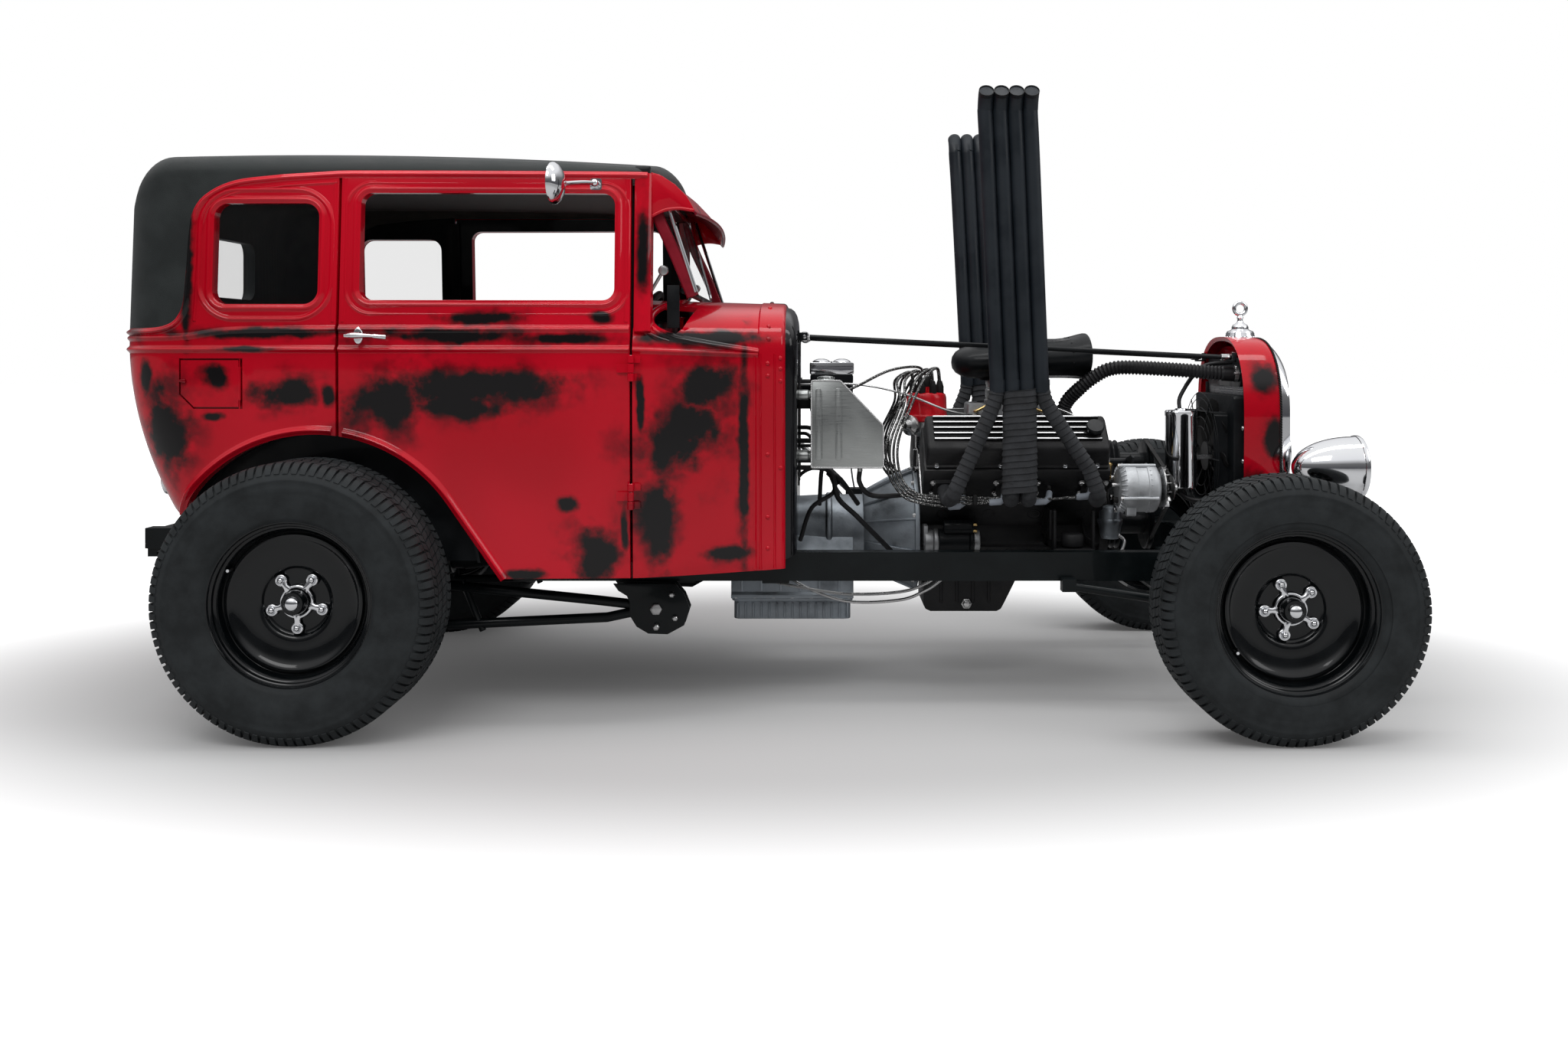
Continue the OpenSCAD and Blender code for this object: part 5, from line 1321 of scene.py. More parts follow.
def make_tyre(name, centre, r, w, count):
    """A tyre: carcass with sidewall ribs, and tread blocks set round it."""
    x, y, z = centre
    out = 1 if y > 0 else -1
    h = w / 2
    flat = r - 0.008
    half = [(0.2055, 0.74), (0.212, 0.8), (0.2195, 0.86), (0.224, 0.905), (0.231, 0.935), (0.244, 0.955),
        (0.62 * r + 0.02, 0.978), (0.745 * r, 0.996), (0.78 * r, 1.0), (0.795 * r, 0.996),
        (0.8 * r, 0.9995), (0.835 * r, 0.992), (0.87 * r, 0.972), (0.875 * r, 0.978), (0.885 * r, 0.968),
        (0.915 * r, 0.925), (0.94 * r, 0.875), (0.958 * r, 0.8), (flat - 0.0015, 0.7), (flat, 0.6),
        (flat, 0.585), (flat + 0.0045, 0.58), (flat + 0.0045, 0.4), (flat, 0.395), (flat, 0.335),
        (flat + 0.0045, 0.33), (flat + 0.0045, 0.11), (flat, 0.105)]
    profile = [(q, -h * v) for q, v in half] + [(q, h * v) for q, v in reversed(half)]
    s = Shape().lathe(profile, (x, y, z), (0, 1, 0), 144, closed=True)
    rows = []
    step = TAU / count
    for m in (1, -1):
        unit = Shape()
        rounded_edge = [(r, 0.61), (r, 0.665), (r * 0.988, 0.785), (r * 0.963, 0.87), (r * 0.925, 0.93)]
        rings = []
        for q, v in rounded_edge:
            wide = step * (0.36 if v < 0.9 else 0.3)
            deep = 0.009 if v < 0.9 else 0.003
            rings.append([(q * sin(a), m * h * v, q * cos(a)) for a in (-wide, wide)]
                         + [((q - deep) * sin(a), m * h * (v - 0.02), (q - deep) * cos(a))
                            for a in (wide + 0.001, -wide - 0.001)])
        unit.loft(rings)
        rows.append((unit, step * (0.25 if m > 0 else 0.75), count))
        rows.append((tread_block(r, 0.01, m * h * 0.35, m * h * 0.57, -step * 0.4, step * 0.34,
            m * step * 0.32), 0.0, count))
        rows.append((tread_block(r, 0.01, m * h * 0.03, m * h * 0.31, -step * 0.42, step * 0.4,
            -m * step * 0.36), step * 0.5, count))
        nub = tread_block(r * 0.913, 0.004, m * h * 0.925, m * h * 0.962, -step * 0.36, step * 0.36, 0, 0.012)
        rows.append((nub, 0.0, count))
    tyre = piece(name, s, [rubber_black], "wheel" + name[4:], replaces=name, angle=50)
    for i, (unit, start, n) in enumerate(rows):
        places = [((x, y, z), Euler((0, start + TAU * k / n, 0))) for k in range(n)]
        repeat(f"{name}_blocks_{i}", unit, places, rubber_black, "wheel" + name[4:], angle=30)
    return tyre, out


def make_rim(name, centre, w, turn):
    """A steel wheel with its bright centre spider and its valve."""
    x, y, z = centre
    out = 1 if y > 0 else -1
    h = w / 2
    d = h - 0.092
    edge = h * 0.84
    body = "wheel" + name[3:]
    face = [(0.0, d), (0.046, d), (0.046, d + 0.006), (0.08, d + 0.006), (0.086, d + 0.0068),
        (0.0905, d + 0.0105), (0.0935, d + 0.015), (0.0985, d + 0.0178), (0.106, d + 0.0188),
        (0.122, d + 0.0196), (0.142, d + 0.0214), (0.157, d + 0.025), (0.167, d + 0.03),
        (0.1725, d + 0.035), (0.1765, d + 0.0362), (0.18, d + 0.035), (0.183, d + 0.03),
        (0.185, d + 0.0255), (0.1885, d + 0.024), (0.1915, d + 0.0262), (0.1935, d + 0.032),
        (0.195, edge - 0.034), (0.196, edge - 0.026), (0.1985, edge - 0.022), (0.2025, edge - 0.0205),
        (0.2045, edge - 0.0185), (0.2052, edge - 0.012), (0.206, edge - 0.0085), (0.2085, edge - 0.006),
        (0.212, edge - 0.005), (0.2135, edge - 0.002), (0.215, edge + 0.0002), (0.2185, edge + 0.0008),
        (0.221, edge - 0.0012), (0.2215, edge - 0.004), (0.2205, edge - 0.006), (0.217, edge - 0.0055)]
    back = [(0.2085, edge - 0.016), (0.2065, edge - 0.03), (0.2005, edge - 0.04), (0.199, 0.0),
        (0.204, -edge + 0.03), (0.207, -edge + 0.012), (0.215, -edge + 0.004), (0.2215, -edge + 0.004),
        (0.2205, -edge), (0.213, -edge), (0.204, -edge + 0.006), (0.201, -edge + 0.03), (0.196, 0.0),
        (0.192, d + 0.012), (0.188, d + 0.02), (0.184, d + 0.02), (0.179, d + 0.029), (0.17, d + 0.028),
        (0.156, d + 0.019), (0.12, d + 0.0145), (0.096, d + 0.012), (0.089, d + 0.001), (0.046, d),
        (0.0, d - 0.001)]
    s = Shape().lathe([(r, out * v) for r, v in face + back], (x, y, z), (0, 1, 0), 120)
    s.lathe([(r, out * v) for r, v in ((0.0, d - 0.058), (0.045, d - 0.058), (0.045, d + 0.001),
        (0.0, d + 0.001))], (x, y, z), (0, 1, 0), 40, 1)
    drum = [(0.0, d - 0.0625), (0.119, d - 0.0625), (0.119, d - 0.01), (0.123, d - 0.01),
        (0.123, d - 0.058), (0.125, d - 0.0625), (0.1265, d - 0.058), (0.1265, d - 0.052),
        (0.124, d - 0.05), (0.124, d - 0.044), (0.1265, d - 0.042), (0.1265, d - 0.036), (0.124, d - 0.034),
        (0.124, d - 0.028), (0.1265, d - 0.026), (0.1265, d - 0.018), (0.12, d - 0.006),
        (0.088, d + 0.0005), (0.0, d + 0.0005)]
    s.lathe([(r, out * v) for r, v in drum], (x, y, z), (0, 1, 0), 64, 1)
    hub = [(0.0, d + 0.005), (0.0335, d + 0.005), (0.0335, d + 0.03), (0.0315, d + 0.036),
        (0.0305, d + 0.047), (0.028, d + 0.0505), (0.0, d + 0.0515)]
    s.lathe([(r, out * v) for r, v in hub], (x, y, z), (0, 1, 0), 40, 0)
    piece(name, s, [wheel_black, chassis_black], body, replaces=name, angle=32)
    c = Shape()
    at = d + 0.014
    dome_profile = [(0.0, 0.045), (0.0205, 0.046)] + [(0.0205 * cos(pi * k / 16),
                                                       0.0515 + 0.015 * sin(pi * k / 16)) for k in range(9)]
    c.lathe([(r, out * (d + v)) for r, v in dome_profile], (x, y, z), (0, 1, 0), 32)
    ring = [(0.0345 + 0.0055 * (1 + cos(TAU * k / 12)), at + 0.0055 * sin(TAU * k / 12)) for k in range(12)]
    c.lathe([(r, out * v) for r, v in ring], (x, y, z), (0, 1, 0), 48, closed=True)
    for k in range(5):
        a = radians(turn + 72 * k)
        reach = Vector((cos(a), 0, sin(a)))
        side = Vector((-sin(a), 0, cos(a)))
        hub_point = Vector((x, y + out * at, z))
        rings = []
        for r, half, rise in ((0.036, 0.0165, 0.0055), (0.043, 0.0105, 0.0068), (0.05, 0.0085, 0.0068),
                              (0.056, 0.0095, 0.006), (0.062, 0.0125, 0.005)):
            base = hub_point + reach * r
            rings.append([base + side * half * cos(TAU * q / 12)
                + Vector((0, out * rise * sin(TAU * q / 12), 0)) for q in range(12)])
        c.loft(rings)
        end = hub_point + reach * 0.0699
        loop = [(0.0125 + 0.0042 * cos(TAU * q / 10), 0.0045 * sin(TAU * q / 10)) for q in range(10)]
        c.lathe(loop, tuple(end), (0, out, 0), 28, closed=True)
        nut = [(0.0, -0.006), (0.0088, -0.006), (0.0088, 0.004), (0.0078, 0.008), (0.0052, 0.0115),
            (0.0, 0.013)]
        c.lathe(nut, tuple(end), (0, out, 0), 18)
    piece(name + "_spider", c, [bright], body, angle=40)
    v = Shape()
    a = radians(152 if turn == 127 else 215)
    p = Vector((x + 0.187 * cos(a), y + out * (d + 0.024), z + 0.187 * sin(a)))
    v.tube([p, p + Vector((0, out * 0.024, 0))], 0.0032, 10, 0)
    v.tube([p + Vector((0, out * 0.02, 0)), p + Vector((0, out * 0.034, 0))], 0.0042, 10, 1)
    piece(name + "_valve", v, [seal_black, bright], body)


def make_wheels():
    """All four tyres and rims, from the sizes of front and rear."""
    for side, m in (("right", -1), ("left", 1)):
        make_tyre("tyre_rear_" + side, (REAR_X, m * REAR_Y, REAR_Z), 0.3725, 0.25, 96)
        make_tyre("tyre_front_" + side, (FRONT_X, m * FRONT_Y, FRONT_Z), 0.3525, 0.205, 88)
        make_rim("rim_rear_" + side, (REAR_X, m * REAR_Y, REAR_Z), 0.25, 127)
        make_rim("rim_front_" + side, (FRONT_X, m * FRONT_Y, FRONT_Z), 0.205, 112)


# ---------------------------------------------------------------- chassis

def dress(node, finish, bevel=0.0):
    """Shows a CAD node as it is, with a finish and softened edges."""
    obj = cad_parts[node]
    obj.data.materials.clear()
    obj.data.materials.append(finish)
    if bevel:
        soft = obj.modifiers.new("edges", "BEVEL")
        soft.width = bevel
        soft.segments = 2
        soft.limit_method = "ANGLE"
        soft.angle_limit = radians(50)
    return obj


def make_chassis():
    """Frame, floors, front axle and steering parts take their paint; the rails get end plates."""
    for node in ("frame_rail_right", "frame_rail_left", "frame_crossmembers"):
        dress(node, chassis_black, 0.003)
    for node in ("floor_pan", "rear_floor", "wheel_tubs"):
        dress(node, satin_black, 0.0015)
    dress("front_axle", chassis_black)
    dress("knuckle_right", chassis_black, 0.0015)
    dress("knuckle_left", chassis_black, 0.0015)
    dress("tie_rod", chassis_black, 0.001)
    dress("driveshaft", chassis_black)
    s = Shape()
    for m in (1, -1):
        s.box((-1.801, m * 0.355 - 0.024, 0.458), (-1.7975, m * 0.355 + 0.024, 0.514), 1)
        s.prism(rounded(-0.35, 0.225, -0.24, 0.352, 0.022, 5), m * 0.381, m * 0.389, "y", 0)
    piece("rail_ends", s, [chassis_black, steel], bevel=0.001)
    make_ladder_bars()
    make_rear_axle()


def make_fuel_door():
    """The filler's flat lid takes the body's paint, with a raised pull at its rear edge."""
    dress("fuel_door", paint, 0.0015)
    y = side_y(-1.492, 0.946)
    s = Shape().prism([(-1.574, 0.951), (-1.556, 0.947), (-1.556, 0.959), (-1.574, 0.957)], -y - 0.006,
        -y + 0.001, "y")
    piece("fuel_door_pull", s, [paint], "fuel_door", bevel=0.002)


def make_ladder_bars():
    """Two trailing ladder bars with their front brackets."""
    s = Shape()
    z = REAR_Z
    x = REAR_X + 0.08
    low = [(x, 0.421, z - 0.126), (x + 0.04, 0.4205, z - 0.127), (-0.45, 0.403, 0.257), (-0.36, 0.401, 0.276),
           (-0.318, 0.4, 0.285)]
    s.tube([low[0], (x + 0.02, 0.421, z - 0.136), (x + 0.055, 0.42, z - 0.14), (-0.44, 0.403, 0.259),
        low[3], low[4]], 0.0145, 16)
    s.tube([(x, 0.421, z + 0.006), (-0.47, 0.403, 0.309), (-0.318, 0.4, 0.291)], 0.0145, 16)
    s.tube([(-0.86, 0.414, z - 0.006), (-0.8, 0.414, 0.222)], 0.01, 12)
    for p in (z - 0.126, z + 0.006):
        s.lathe([(0.0, -0.016), (0.021, -0.016), (0.024, -0.012), (0.024, 0.012), (0.021, 0.016),
            (0.0, 0.016)], (x, 0.421, p), (0, 1, 0), 28)
    s.lathe([(0.012, -0.018), (0.03, -0.018), (0.034, -0.013), (0.034, 0.013), (0.03, 0.018), (0.012, 0.018)],
            (-0.295, 0.401, 0.288), (0, 1, 0), 36, closed=True)
    plate = [(-0.372, 0.268), (-0.352, 0.236), (-0.318, 0.216), (-0.262, 0.214), (-0.214, 0.24),
        (-0.198, 0.29), (-0.214, 0.33), (-0.24, 0.361), (-0.42, 0.361), (-0.405, 0.34), (-0.38, 0.325),
        (-0.372, 0.306)]
    s.prism(plate, 0.4215, 0.4285, "y", 0)
    s.prism(plate, 0.3735, 0.38, "y", 0)
    for px, pz, r in ((-0.295, 0.288, 0.019), (-0.295, 0.236, 0.011), (-0.25, 0.33, 0.01),
            (-0.24, 0.262, 0.01)):
        s.lathe([(0.0, 0.0), (r, 0.0), (r * 0.94, 0.01), (r * 0.5, 0.014), (0.0, 0.014)], (px, 0.428, pz),
            (0, 1, 0), 6, 1)
    s.box((-0.33, 0.352, 0.3), (-0.26, 0.378, 0.362))
    s.with_mirror()
    piece("ladder_bar_set", s, [chassis_black, steel], replaces="ladder_bars",
        bevel=0.0012)


def make_rear_axle():
    """Rear axle with its differential, coil-overs, tail lamps and plate holder."""
    s = Shape()
    z = REAR_Z
    s.tube([(REAR_X, -0.672, z), (REAR_X, -0.15, z), (REAR_X, -0.135, z)], [0.038, 0.038, 0.06], 28)
    s.tube([(REAR_X, 0.135, z), (REAR_X, 0.15, z), (REAR_X, 0.672, z)], [0.06, 0.038, 0.038], 28)
    s.ball((REAR_X, 0, z), (0.125, 0.14, 0.128), 0, 32, 18)
    s.lathe([(0.0, 0.0), (0.105, 0.0), (0.112, -0.006), (0.108, -0.016), (0.08, -0.03), (0.0, -0.036)],
            (REAR_X - 0.105, 0, z), (1, 0, 0), 40, 0)
    s.tube([(REAR_X + 0.06, 0, z), (REAR_X + 0.12, 0, z), (REAR_X + 0.2, 0, z), (REAR_X + 0.21, 0, z)],
           [0.085, 0.064, 0.052, 0.048], 28)
    for m in (1, -1):
        s.lathe([(0.0, 0.0), (0.118, 0.0), (0.118, m * 0.003), (0.0, m * 0.004)], (REAR_X, m * 0.672, z),
            (0, 1, 0), 56)
        s.prism([(REAR_X - 0.045, z - 0.148), (REAR_X + 0.11, z - 0.15), (REAR_X + 0.115, z + 0.028),
                 (REAR_X + 0.05, z + 0.06), (REAR_X - 0.045, z + 0.03)], m * 0.436, m * 0.446, "y")
        s.tube([(REAR_X, m * 0.67, z), (REAR_X, m * 0.768, z)], 0.015, 20)
    axle = piece("rear_axle_housing", s, [chassis_black], replaces="rear_axle",
        bevel=0.0015)
    bolts = []
    for k in range(10):
        a = TAU * k / 10
        bolts.append(((REAR_X - 0.117, 0.098 * cos(a), z + 0.098 * sin(a)), (-1, 0, 0)))
    repeat("axle_cover_bolts", hex_bolt(0.012, 0.007), bolts, steel)
    c = Shape()
    for m in (1, -1):
        y = m * 0.405
        foot, head = Vector((REAR_X - 0.09, y, 0.3)), Vector((REAR_X - 0.115, y, 0.59))
        lean = head - foot
        c.tube([foot, foot + lean * 0.55], 0.021, 20, 1)
        c.tube([foot + lean * 0.5, head], 0.008, 14, 1)
        coil = []
        for k in range(7 * 20 + 1):
            f = 0.12 + 0.74 * k / 140
            p = foot + lean * f
            a = TAU * k / 20
            coil.append((p.x + 0.034 * cos(a), p.y + 0.034 * sin(a), p.z))
        c.tube(coil, 0.0058, 10, 0)
        for f in (0.1, 0.88):
            p = foot + lean * f
            c.lathe([(0.0, -0.004), (0.036, -0.004), (0.04, 0.0), (0.036, 0.004), (0.0, 0.004)], tuple(p),
                tuple(lean), 36, 1)
        for p in (foot, head):
            c.lathe([(0.007, -0.014), (0.018, -0.014), (0.02, 0.0), (0.018, 0.014), (0.007, 0.014)],
                tuple(p), (0, 1, 0), 24, 1, closed=True)
            c.tube([p - Vector((0, 0.03, 0)), p + Vector((0, 0.04, 0))], 0.007, 12, 1)
    piece("coilover_set", c, [bright, steel], replaces="rear_coilovers")
    t = Shape()
    for m in (1, -1):
        t.lathe([(0.0, 0.0), (0.044, 0.0), (0.046, -0.01), (0.044, -0.022), (0.039, -0.024), (0.039, -0.02)],
                (-1.708, m * 0.385, 0.66), (1, 0, 0), 36, 0)
        t.lathe([(0.0, -0.018), (0.038, -0.018), (0.0385, -0.022), (0.034, -0.028), (0.018, -0.033),
            (0.0, -0.0335)], (-1.708, m * 0.385, 0.66), (1, 0, 0), 36, 1)
        t.tube([(-1.702, m * 0.385, 0.66), (-1.66, m * 0.385, 0.655), (-1.6, m * 0.385, 0.63)], 0.012, 12, 0)
    piece("tail_lamp_set", t, [bright, red_glass], replaces="tail_lights")
    p = Shape().prism(rounded(-0.152, 0.5, 0.152, 0.575, 0.008, 4), -1.72, -1.717, "x")
    p.tube([(-1.717, -0.1, 0.56), (-1.66, -0.1, 0.585)], 0.006, 10)
    p.tube([(-1.717, 0.1, 0.56), (-1.66, 0.1, 0.585)], 0.006, 10)
    piece("plate_holder", p, [satin_black], bevel=0.001)
    return axle


make_wheels()
make_chassis()
make_fuel_door()


# ---------------------------------------------------------------- engine

CRANK = 0.49
PUMP_Z = 0.68
BOX_Z = 0.46
SLANT = 0.70711
HEAD_REAR, HEAD_FRONT = 0.49, 1.049


def bank(u, v):
    """A point of the right-angled V, as (y, z): u along the cylinders, v across them."""
    return SLANT * (u + v), CRANK + SLANT * (u - v)


def turned(points):
    """Both halves of a symmetrical outline."""
    return points + [(-y, z) for y, z in reversed(points)]


def make_block():
    """Block, heads, mounts, pulleys, starter and fuel pump."""
    s = Shape()
    lower = [(0.128, 0.398), (0.128, 0.425), (0.15, 0.44), (0.15, 0.475), bank(0.1, 0.093),
        bank(0.228, 0.093), bank(0.228, -0.085), (0.1, 0.648)]
    s.prism(turned(lower), HEAD_REAR, HEAD_FRONT, "x")
    head = [bank(0.231, 0.095), bank(0.238, 0.098), bank(0.35, 0.098), bank(0.359, 0.092), bank(0.3605, 0.08),
            bank(0.3605, -0.08), bank(0.35, -0.085), bank(0.231, -0.085)]
    for m in (1, -1):
        s.prism([(m * y, z) for y, z in head], HEAD_REAR + 0.002, HEAD_FRONT - 0.002, "x")
        gasket = [bank(0.228, 0.096), bank(0.231, 0.096), bank(0.231, -0.086), bank(0.228, -0.086)]
        s.prism([(m * y, z) for y, z in gasket], HEAD_REAR - 0.001, HEAD_FRONT + 0.001, "x", 1)
        for x in (0.556, 0.745, 0.796, 1.0):
            pad = [bank(0.262, 0.094), bank(0.326, 0.094), bank(0.322, 0.104), bank(0.266, 0.104)]
            s.prism([(m * y, z) for y, z in pad], x - 0.034, x + 0.034, "x")
        for x in (0.56, 0.7, 0.84, 0.98):
            y, z = bank(0.155, 0.09)
            s.lathe([(0.0, 0.0), (0.022, 0.0), (0.022, 0.004), (0.017, 0.004), (0.015, 0.001), (0.0, 0.001)],
                    (x, m * y, z), (0, m * SLANT, -SLANT), 28)
        s.box((0.868, m * 0.128 - 0.004, 0.47), (0.876, m * 0.3, 0.56))
        ear = [(m * 0.15, 0.436), (m * 0.33, 0.446), (m * 0.33, 0.56), (m * 0.318, 0.566), (m * 0.306, 0.56),
               (m * 0.3, 0.47), (m * 0.215, 0.47), (m * 0.15, 0.52)]
        for x in (0.875, 0.99):
            s.prism(ear, x, x + 0.008, "x")
        s.box((0.875, min(m * 0.17, m * 0.33), 0.436), (0.998, max(m * 0.17, m * 0.33), 0.448))
        s.lathe([(0.0, -0.02), (0.03, -0.02), (0.034, -0.014), (0.034, 0.014), (0.03, 0.02), (0.0, 0.02)],
                (0.936, m * 0.3, 0.47), (0, 0, 1), 28)
    front = [(0.128, 0.398), (0.15, 0.43), (0.156, 0.53), (0.12, 0.6), (0.06, 0.652)]
    s.prism(turned(front), HEAD_FRONT - 0.001, 1.075, "x")
    s.lathe([(0.0, 0.0), (0.118, 0.0), (0.12, 0.012), (0.104, 0.02), (0.05, 0.026), (0.0, 0.026)],
        (1.074, 0, 0.54), (1, 0, 0), 44)
    s.lathe([(0.0, 0.0), (0.062, 0.0), (0.066, 0.01), (0.06, 0.03), (0.034, 0.04), (0.02, 0.06), (0.0, 0.06)],
            (1.07, 0, PUMP_Z), (1, 0, 0), 32)
    for m in (1, -1):
        s.tube([(1.085, m * 0.02, 0.69), (1.085, m * 0.09, 0.665), (1.07, m * 0.13, 0.62)], 0.024, 16)
    piece("engine_castings", s, [engine_black, steel], replaces="engine_block",
        bevel=0.0025)
    bolts = []
    for m in (1, -1):
        out = (0, m * SLANT, -SLANT)
        for x in (0.52, 0.592, 0.709, 0.77, 0.832, 0.964, 1.036):
            for u in (0.27, 0.318):
                y, z = bank(u, 0.103)
                bolts.append(((x, m * y, z), out))
        for k in range(9):
            y, z = bank(0.3605, -0.083)
            bolts.append(((0.52 + 0.062 * k, m * 0.12, 0.412), (0, m, 0)))
    for k in range(9):
        a = TAU * k / 9
        bolts.append(((1.093, 0.108 * cos(a), 0.54 + 0.108 * sin(a)), (1, 0, 0)))
    for k in range(4):
        a = TAU * (k + 0.5) / 4
        bolts.append(((1.1, 0.05 * cos(a), 0.68 + 0.05 * sin(a)), (1, 0, 0)))
    repeat("engine_bolts", hex_bolt(0.013, 0.008), bolts, steel)
    p = Shape()
    pulley = [(0.0, 0.0), (0.08, 0.0), (0.086, 0.003), (0.086, 0.006), (0.076, 0.012), (0.086, 0.018),
        (0.086, 0.022), (0.076, 0.028), (0.086, 0.034), (0.086, 0.038), (0.07, 0.04), (0.064, 0.03),
        (0.034, 0.026), (0.026, 0.044), (0.0, 0.044)]
    p.lathe(pulley, (1.094, 0, CRANK), (1, 0, 0), 56)
    water = [(r * 0.82, h) for r, h in pulley]
    p.lathe(water, (1.094, 0, PUMP_Z), (1, 0, 0), 56)
    piece("engine_pulleys", p, [satin_black], bevel=0.0006)
    d = Shape()
    for sides in ((0.502, 0.53, 0.034, 0), (0.53, 0.545, 0.038, 0), (0.545, 0.64, 0.0365, 1),
            (0.64, 0.652, 0.038, 1), (0.652, 0.672, 0.034, 0)):
        x0, x1, r, f = sides
        d.lathe([(0.0, 0.0), (r - 0.003, 0.0), (r, 0.003), (r, x1 - x0 - 0.003), (r - 0.003, x1 - x0),
            (0.0, x1 - x0)], (x0, -0.18, 0.452), (1, 0, 0), 36, f)
    d.lathe([(0.0, 0.0), (0.02, 0.0), (0.022, 0.003), (0.022, 0.085), (0.018, 0.09), (0.0, 0.09)],
            (0.56, -0.2, 0.496), (1, 0, 0), 28, 1)
    for y, z in ((-0.21, 0.505), (-0.205, 0.485)):
        d.tube([(0.648, y, z), (0.662, y, z)], 0.005, 10, 2)
    d.box((0.5, -0.205, 0.44), (0.512, -0.13, 0.5))
    piece("starter_motor", d, [cast_bright, satin_black, brass], bevel=0.001)
    f = Shape()
    f.lathe([(0.0, 0.0), (0.026, 0.0), (0.03, 0.012), (0.034, 0.04), (0.0385, 0.05), (0.0385, 0.058),
        (0.034, 0.062), (0.034, 0.082), (0.026, 0.096), (0.012, 0.102), (0.0, 0.102)],
        (1.075, -0.18, 0.459), (0, 0, 1), 40)
    f.tube([(1.075, -0.165, 0.52), (1.068, -0.12, 0.53)], 0.02, 16)
    f.tube(smooth_path([(1.05, -0.18, 0.545), (1.03, -0.185, 0.56), (1.04, -0.2, 0.6), (1.062, -0.21, 0.66),
                        (1.055, -0.19, 0.76), (0.98, -0.12, 0.83), (0.9, -0.08, 0.865)], 8), 0.0048, 10, 1)
    f.tube(smooth_path([(1.095, -0.195, 0.475), (1.11, -0.22, 0.45), (1.05, -0.3, 0.41),
        (0.9, -0.325, 0.4)], 8), 0.005, 10, 1)
    f.lathe([(0.0, 0.0), (0.01, 0.002), (0.017, 0.006), (0.017, 0.012), (0.014, 0.014), (0.014, 0.044),
        (0.017, 0.046), (0.017, 0.052), (0.01, 0.056), (0.0, 0.058)], (1.058, -0.205, 0.64), (0.05, 0, 1),
        28, 2)
    piece("fuel_pump", f, [cast_grey, steel, brass], bevel=0.0006)


def make_covers():
    """Finned rocker covers with their bolts and filler caps."""
    s = Shape()
    edge = [bank(0.3605, 0.084), bank(0.366, 0.086), bank(0.368, 0.083), bank(0.369, 0.078),
        bank(0.418, 0.076), bank(0.429, 0.068), bank(0.433, 0.058), bank(0.433, -0.056),
        bank(0.428, -0.066), bank(0.416, -0.072), bank(0.369, -0.072), bank(0.368, -0.08),
        bank(0.3605, -0.08)]
    x0, x1 = HEAD_REAR + 0.008, HEAD_FRONT - 0.008
    for m in (1, -1):
        rings = []
        for x, shrink in ((x0, 0.9), (x0 + 0.004, 0.97), (x0 + 0.01, 1.0), (x1 - 0.01, 1.0),
                (x1 - 0.004, 0.97), (x1, 0.9)):
            cy, cz = bank(0.3605, 0.0)
            ring = []
            for i, (y, z) in enumerate(edge):
                k = 1.0 if i < 4 or i > 10 else shrink
                ring.append((x, m * (cy + (y - cy) * k), cz + (z - cz) * k))
            rings.append(ring)
        s.loft(rings)
        for v in (-0.054, -0.032, -0.01, 0.012, 0.034):
            fin = [bank(0.432, v - 0.0042), bank(0.44, v - 0.0026), bank(0.44, v + 0.0026),
                bank(0.432, v + 0.0042)]
            s.prism([(m * y, z) for y, z in fin], x0 + 0.022, x1 - 0.022, "x")
            top = [bank(0.4398, v - 0.0023), bank(0.4412, v - 0.0019), bank(0.4412, v + 0.0019),
                bank(0.4398, v + 0.0023)]
            s.prism([(m * y, z) for y, z in top], x0 + 0.023, x1 - 0.023, "x", 1)
    piece("rocker_covers", s, [cover_black, bright], replaces="valve_covers",
        bevel=0.0008)
    bolts = []
    for m in (1, -1):
        for k in range(6):
            x = x0 + 0.03 + 0.0957 * k
            y, z = bank(0.3685, 0.0815)
            bolts.append(((x, m * y, z), (0, m * SLANT, SLANT)))
            y, z = bank(0.3685, -0.077)
            bolts.append(((x, m * y, z), (0, m * SLANT, SLANT)))
    repeat("cover_bolts", hex_bolt(0.011, 0.009), bolts, bright)
    c = Shape()
    y, z = bank(0.433, 0.0)
    for m in (1, -1):
        c.lathe([(0.0, 0.0), (0.02, 0.0), (0.02, 0.01), (0.026, 0.012), (0.027, 0.022), (0.024, 0.027),
            (0.0, 0.028)], (1.0, m * y, z), (0, m * SLANT, SLANT), 32)
    piece("filler_caps", c, [satin_black])


PORTS = (0.556, 0.745, 0.796, 1.0)


def wrapped(path, r, pitch, lift):
    """Spiral heat wrap along a pipe: evenly stepped points with a saw-tooth radius."""
    points = spaced(path, pitch / 6)
    radii = [r + lift * (1 - (k % 6) / 5.0) for k in range(len(points))]
    return points, radii


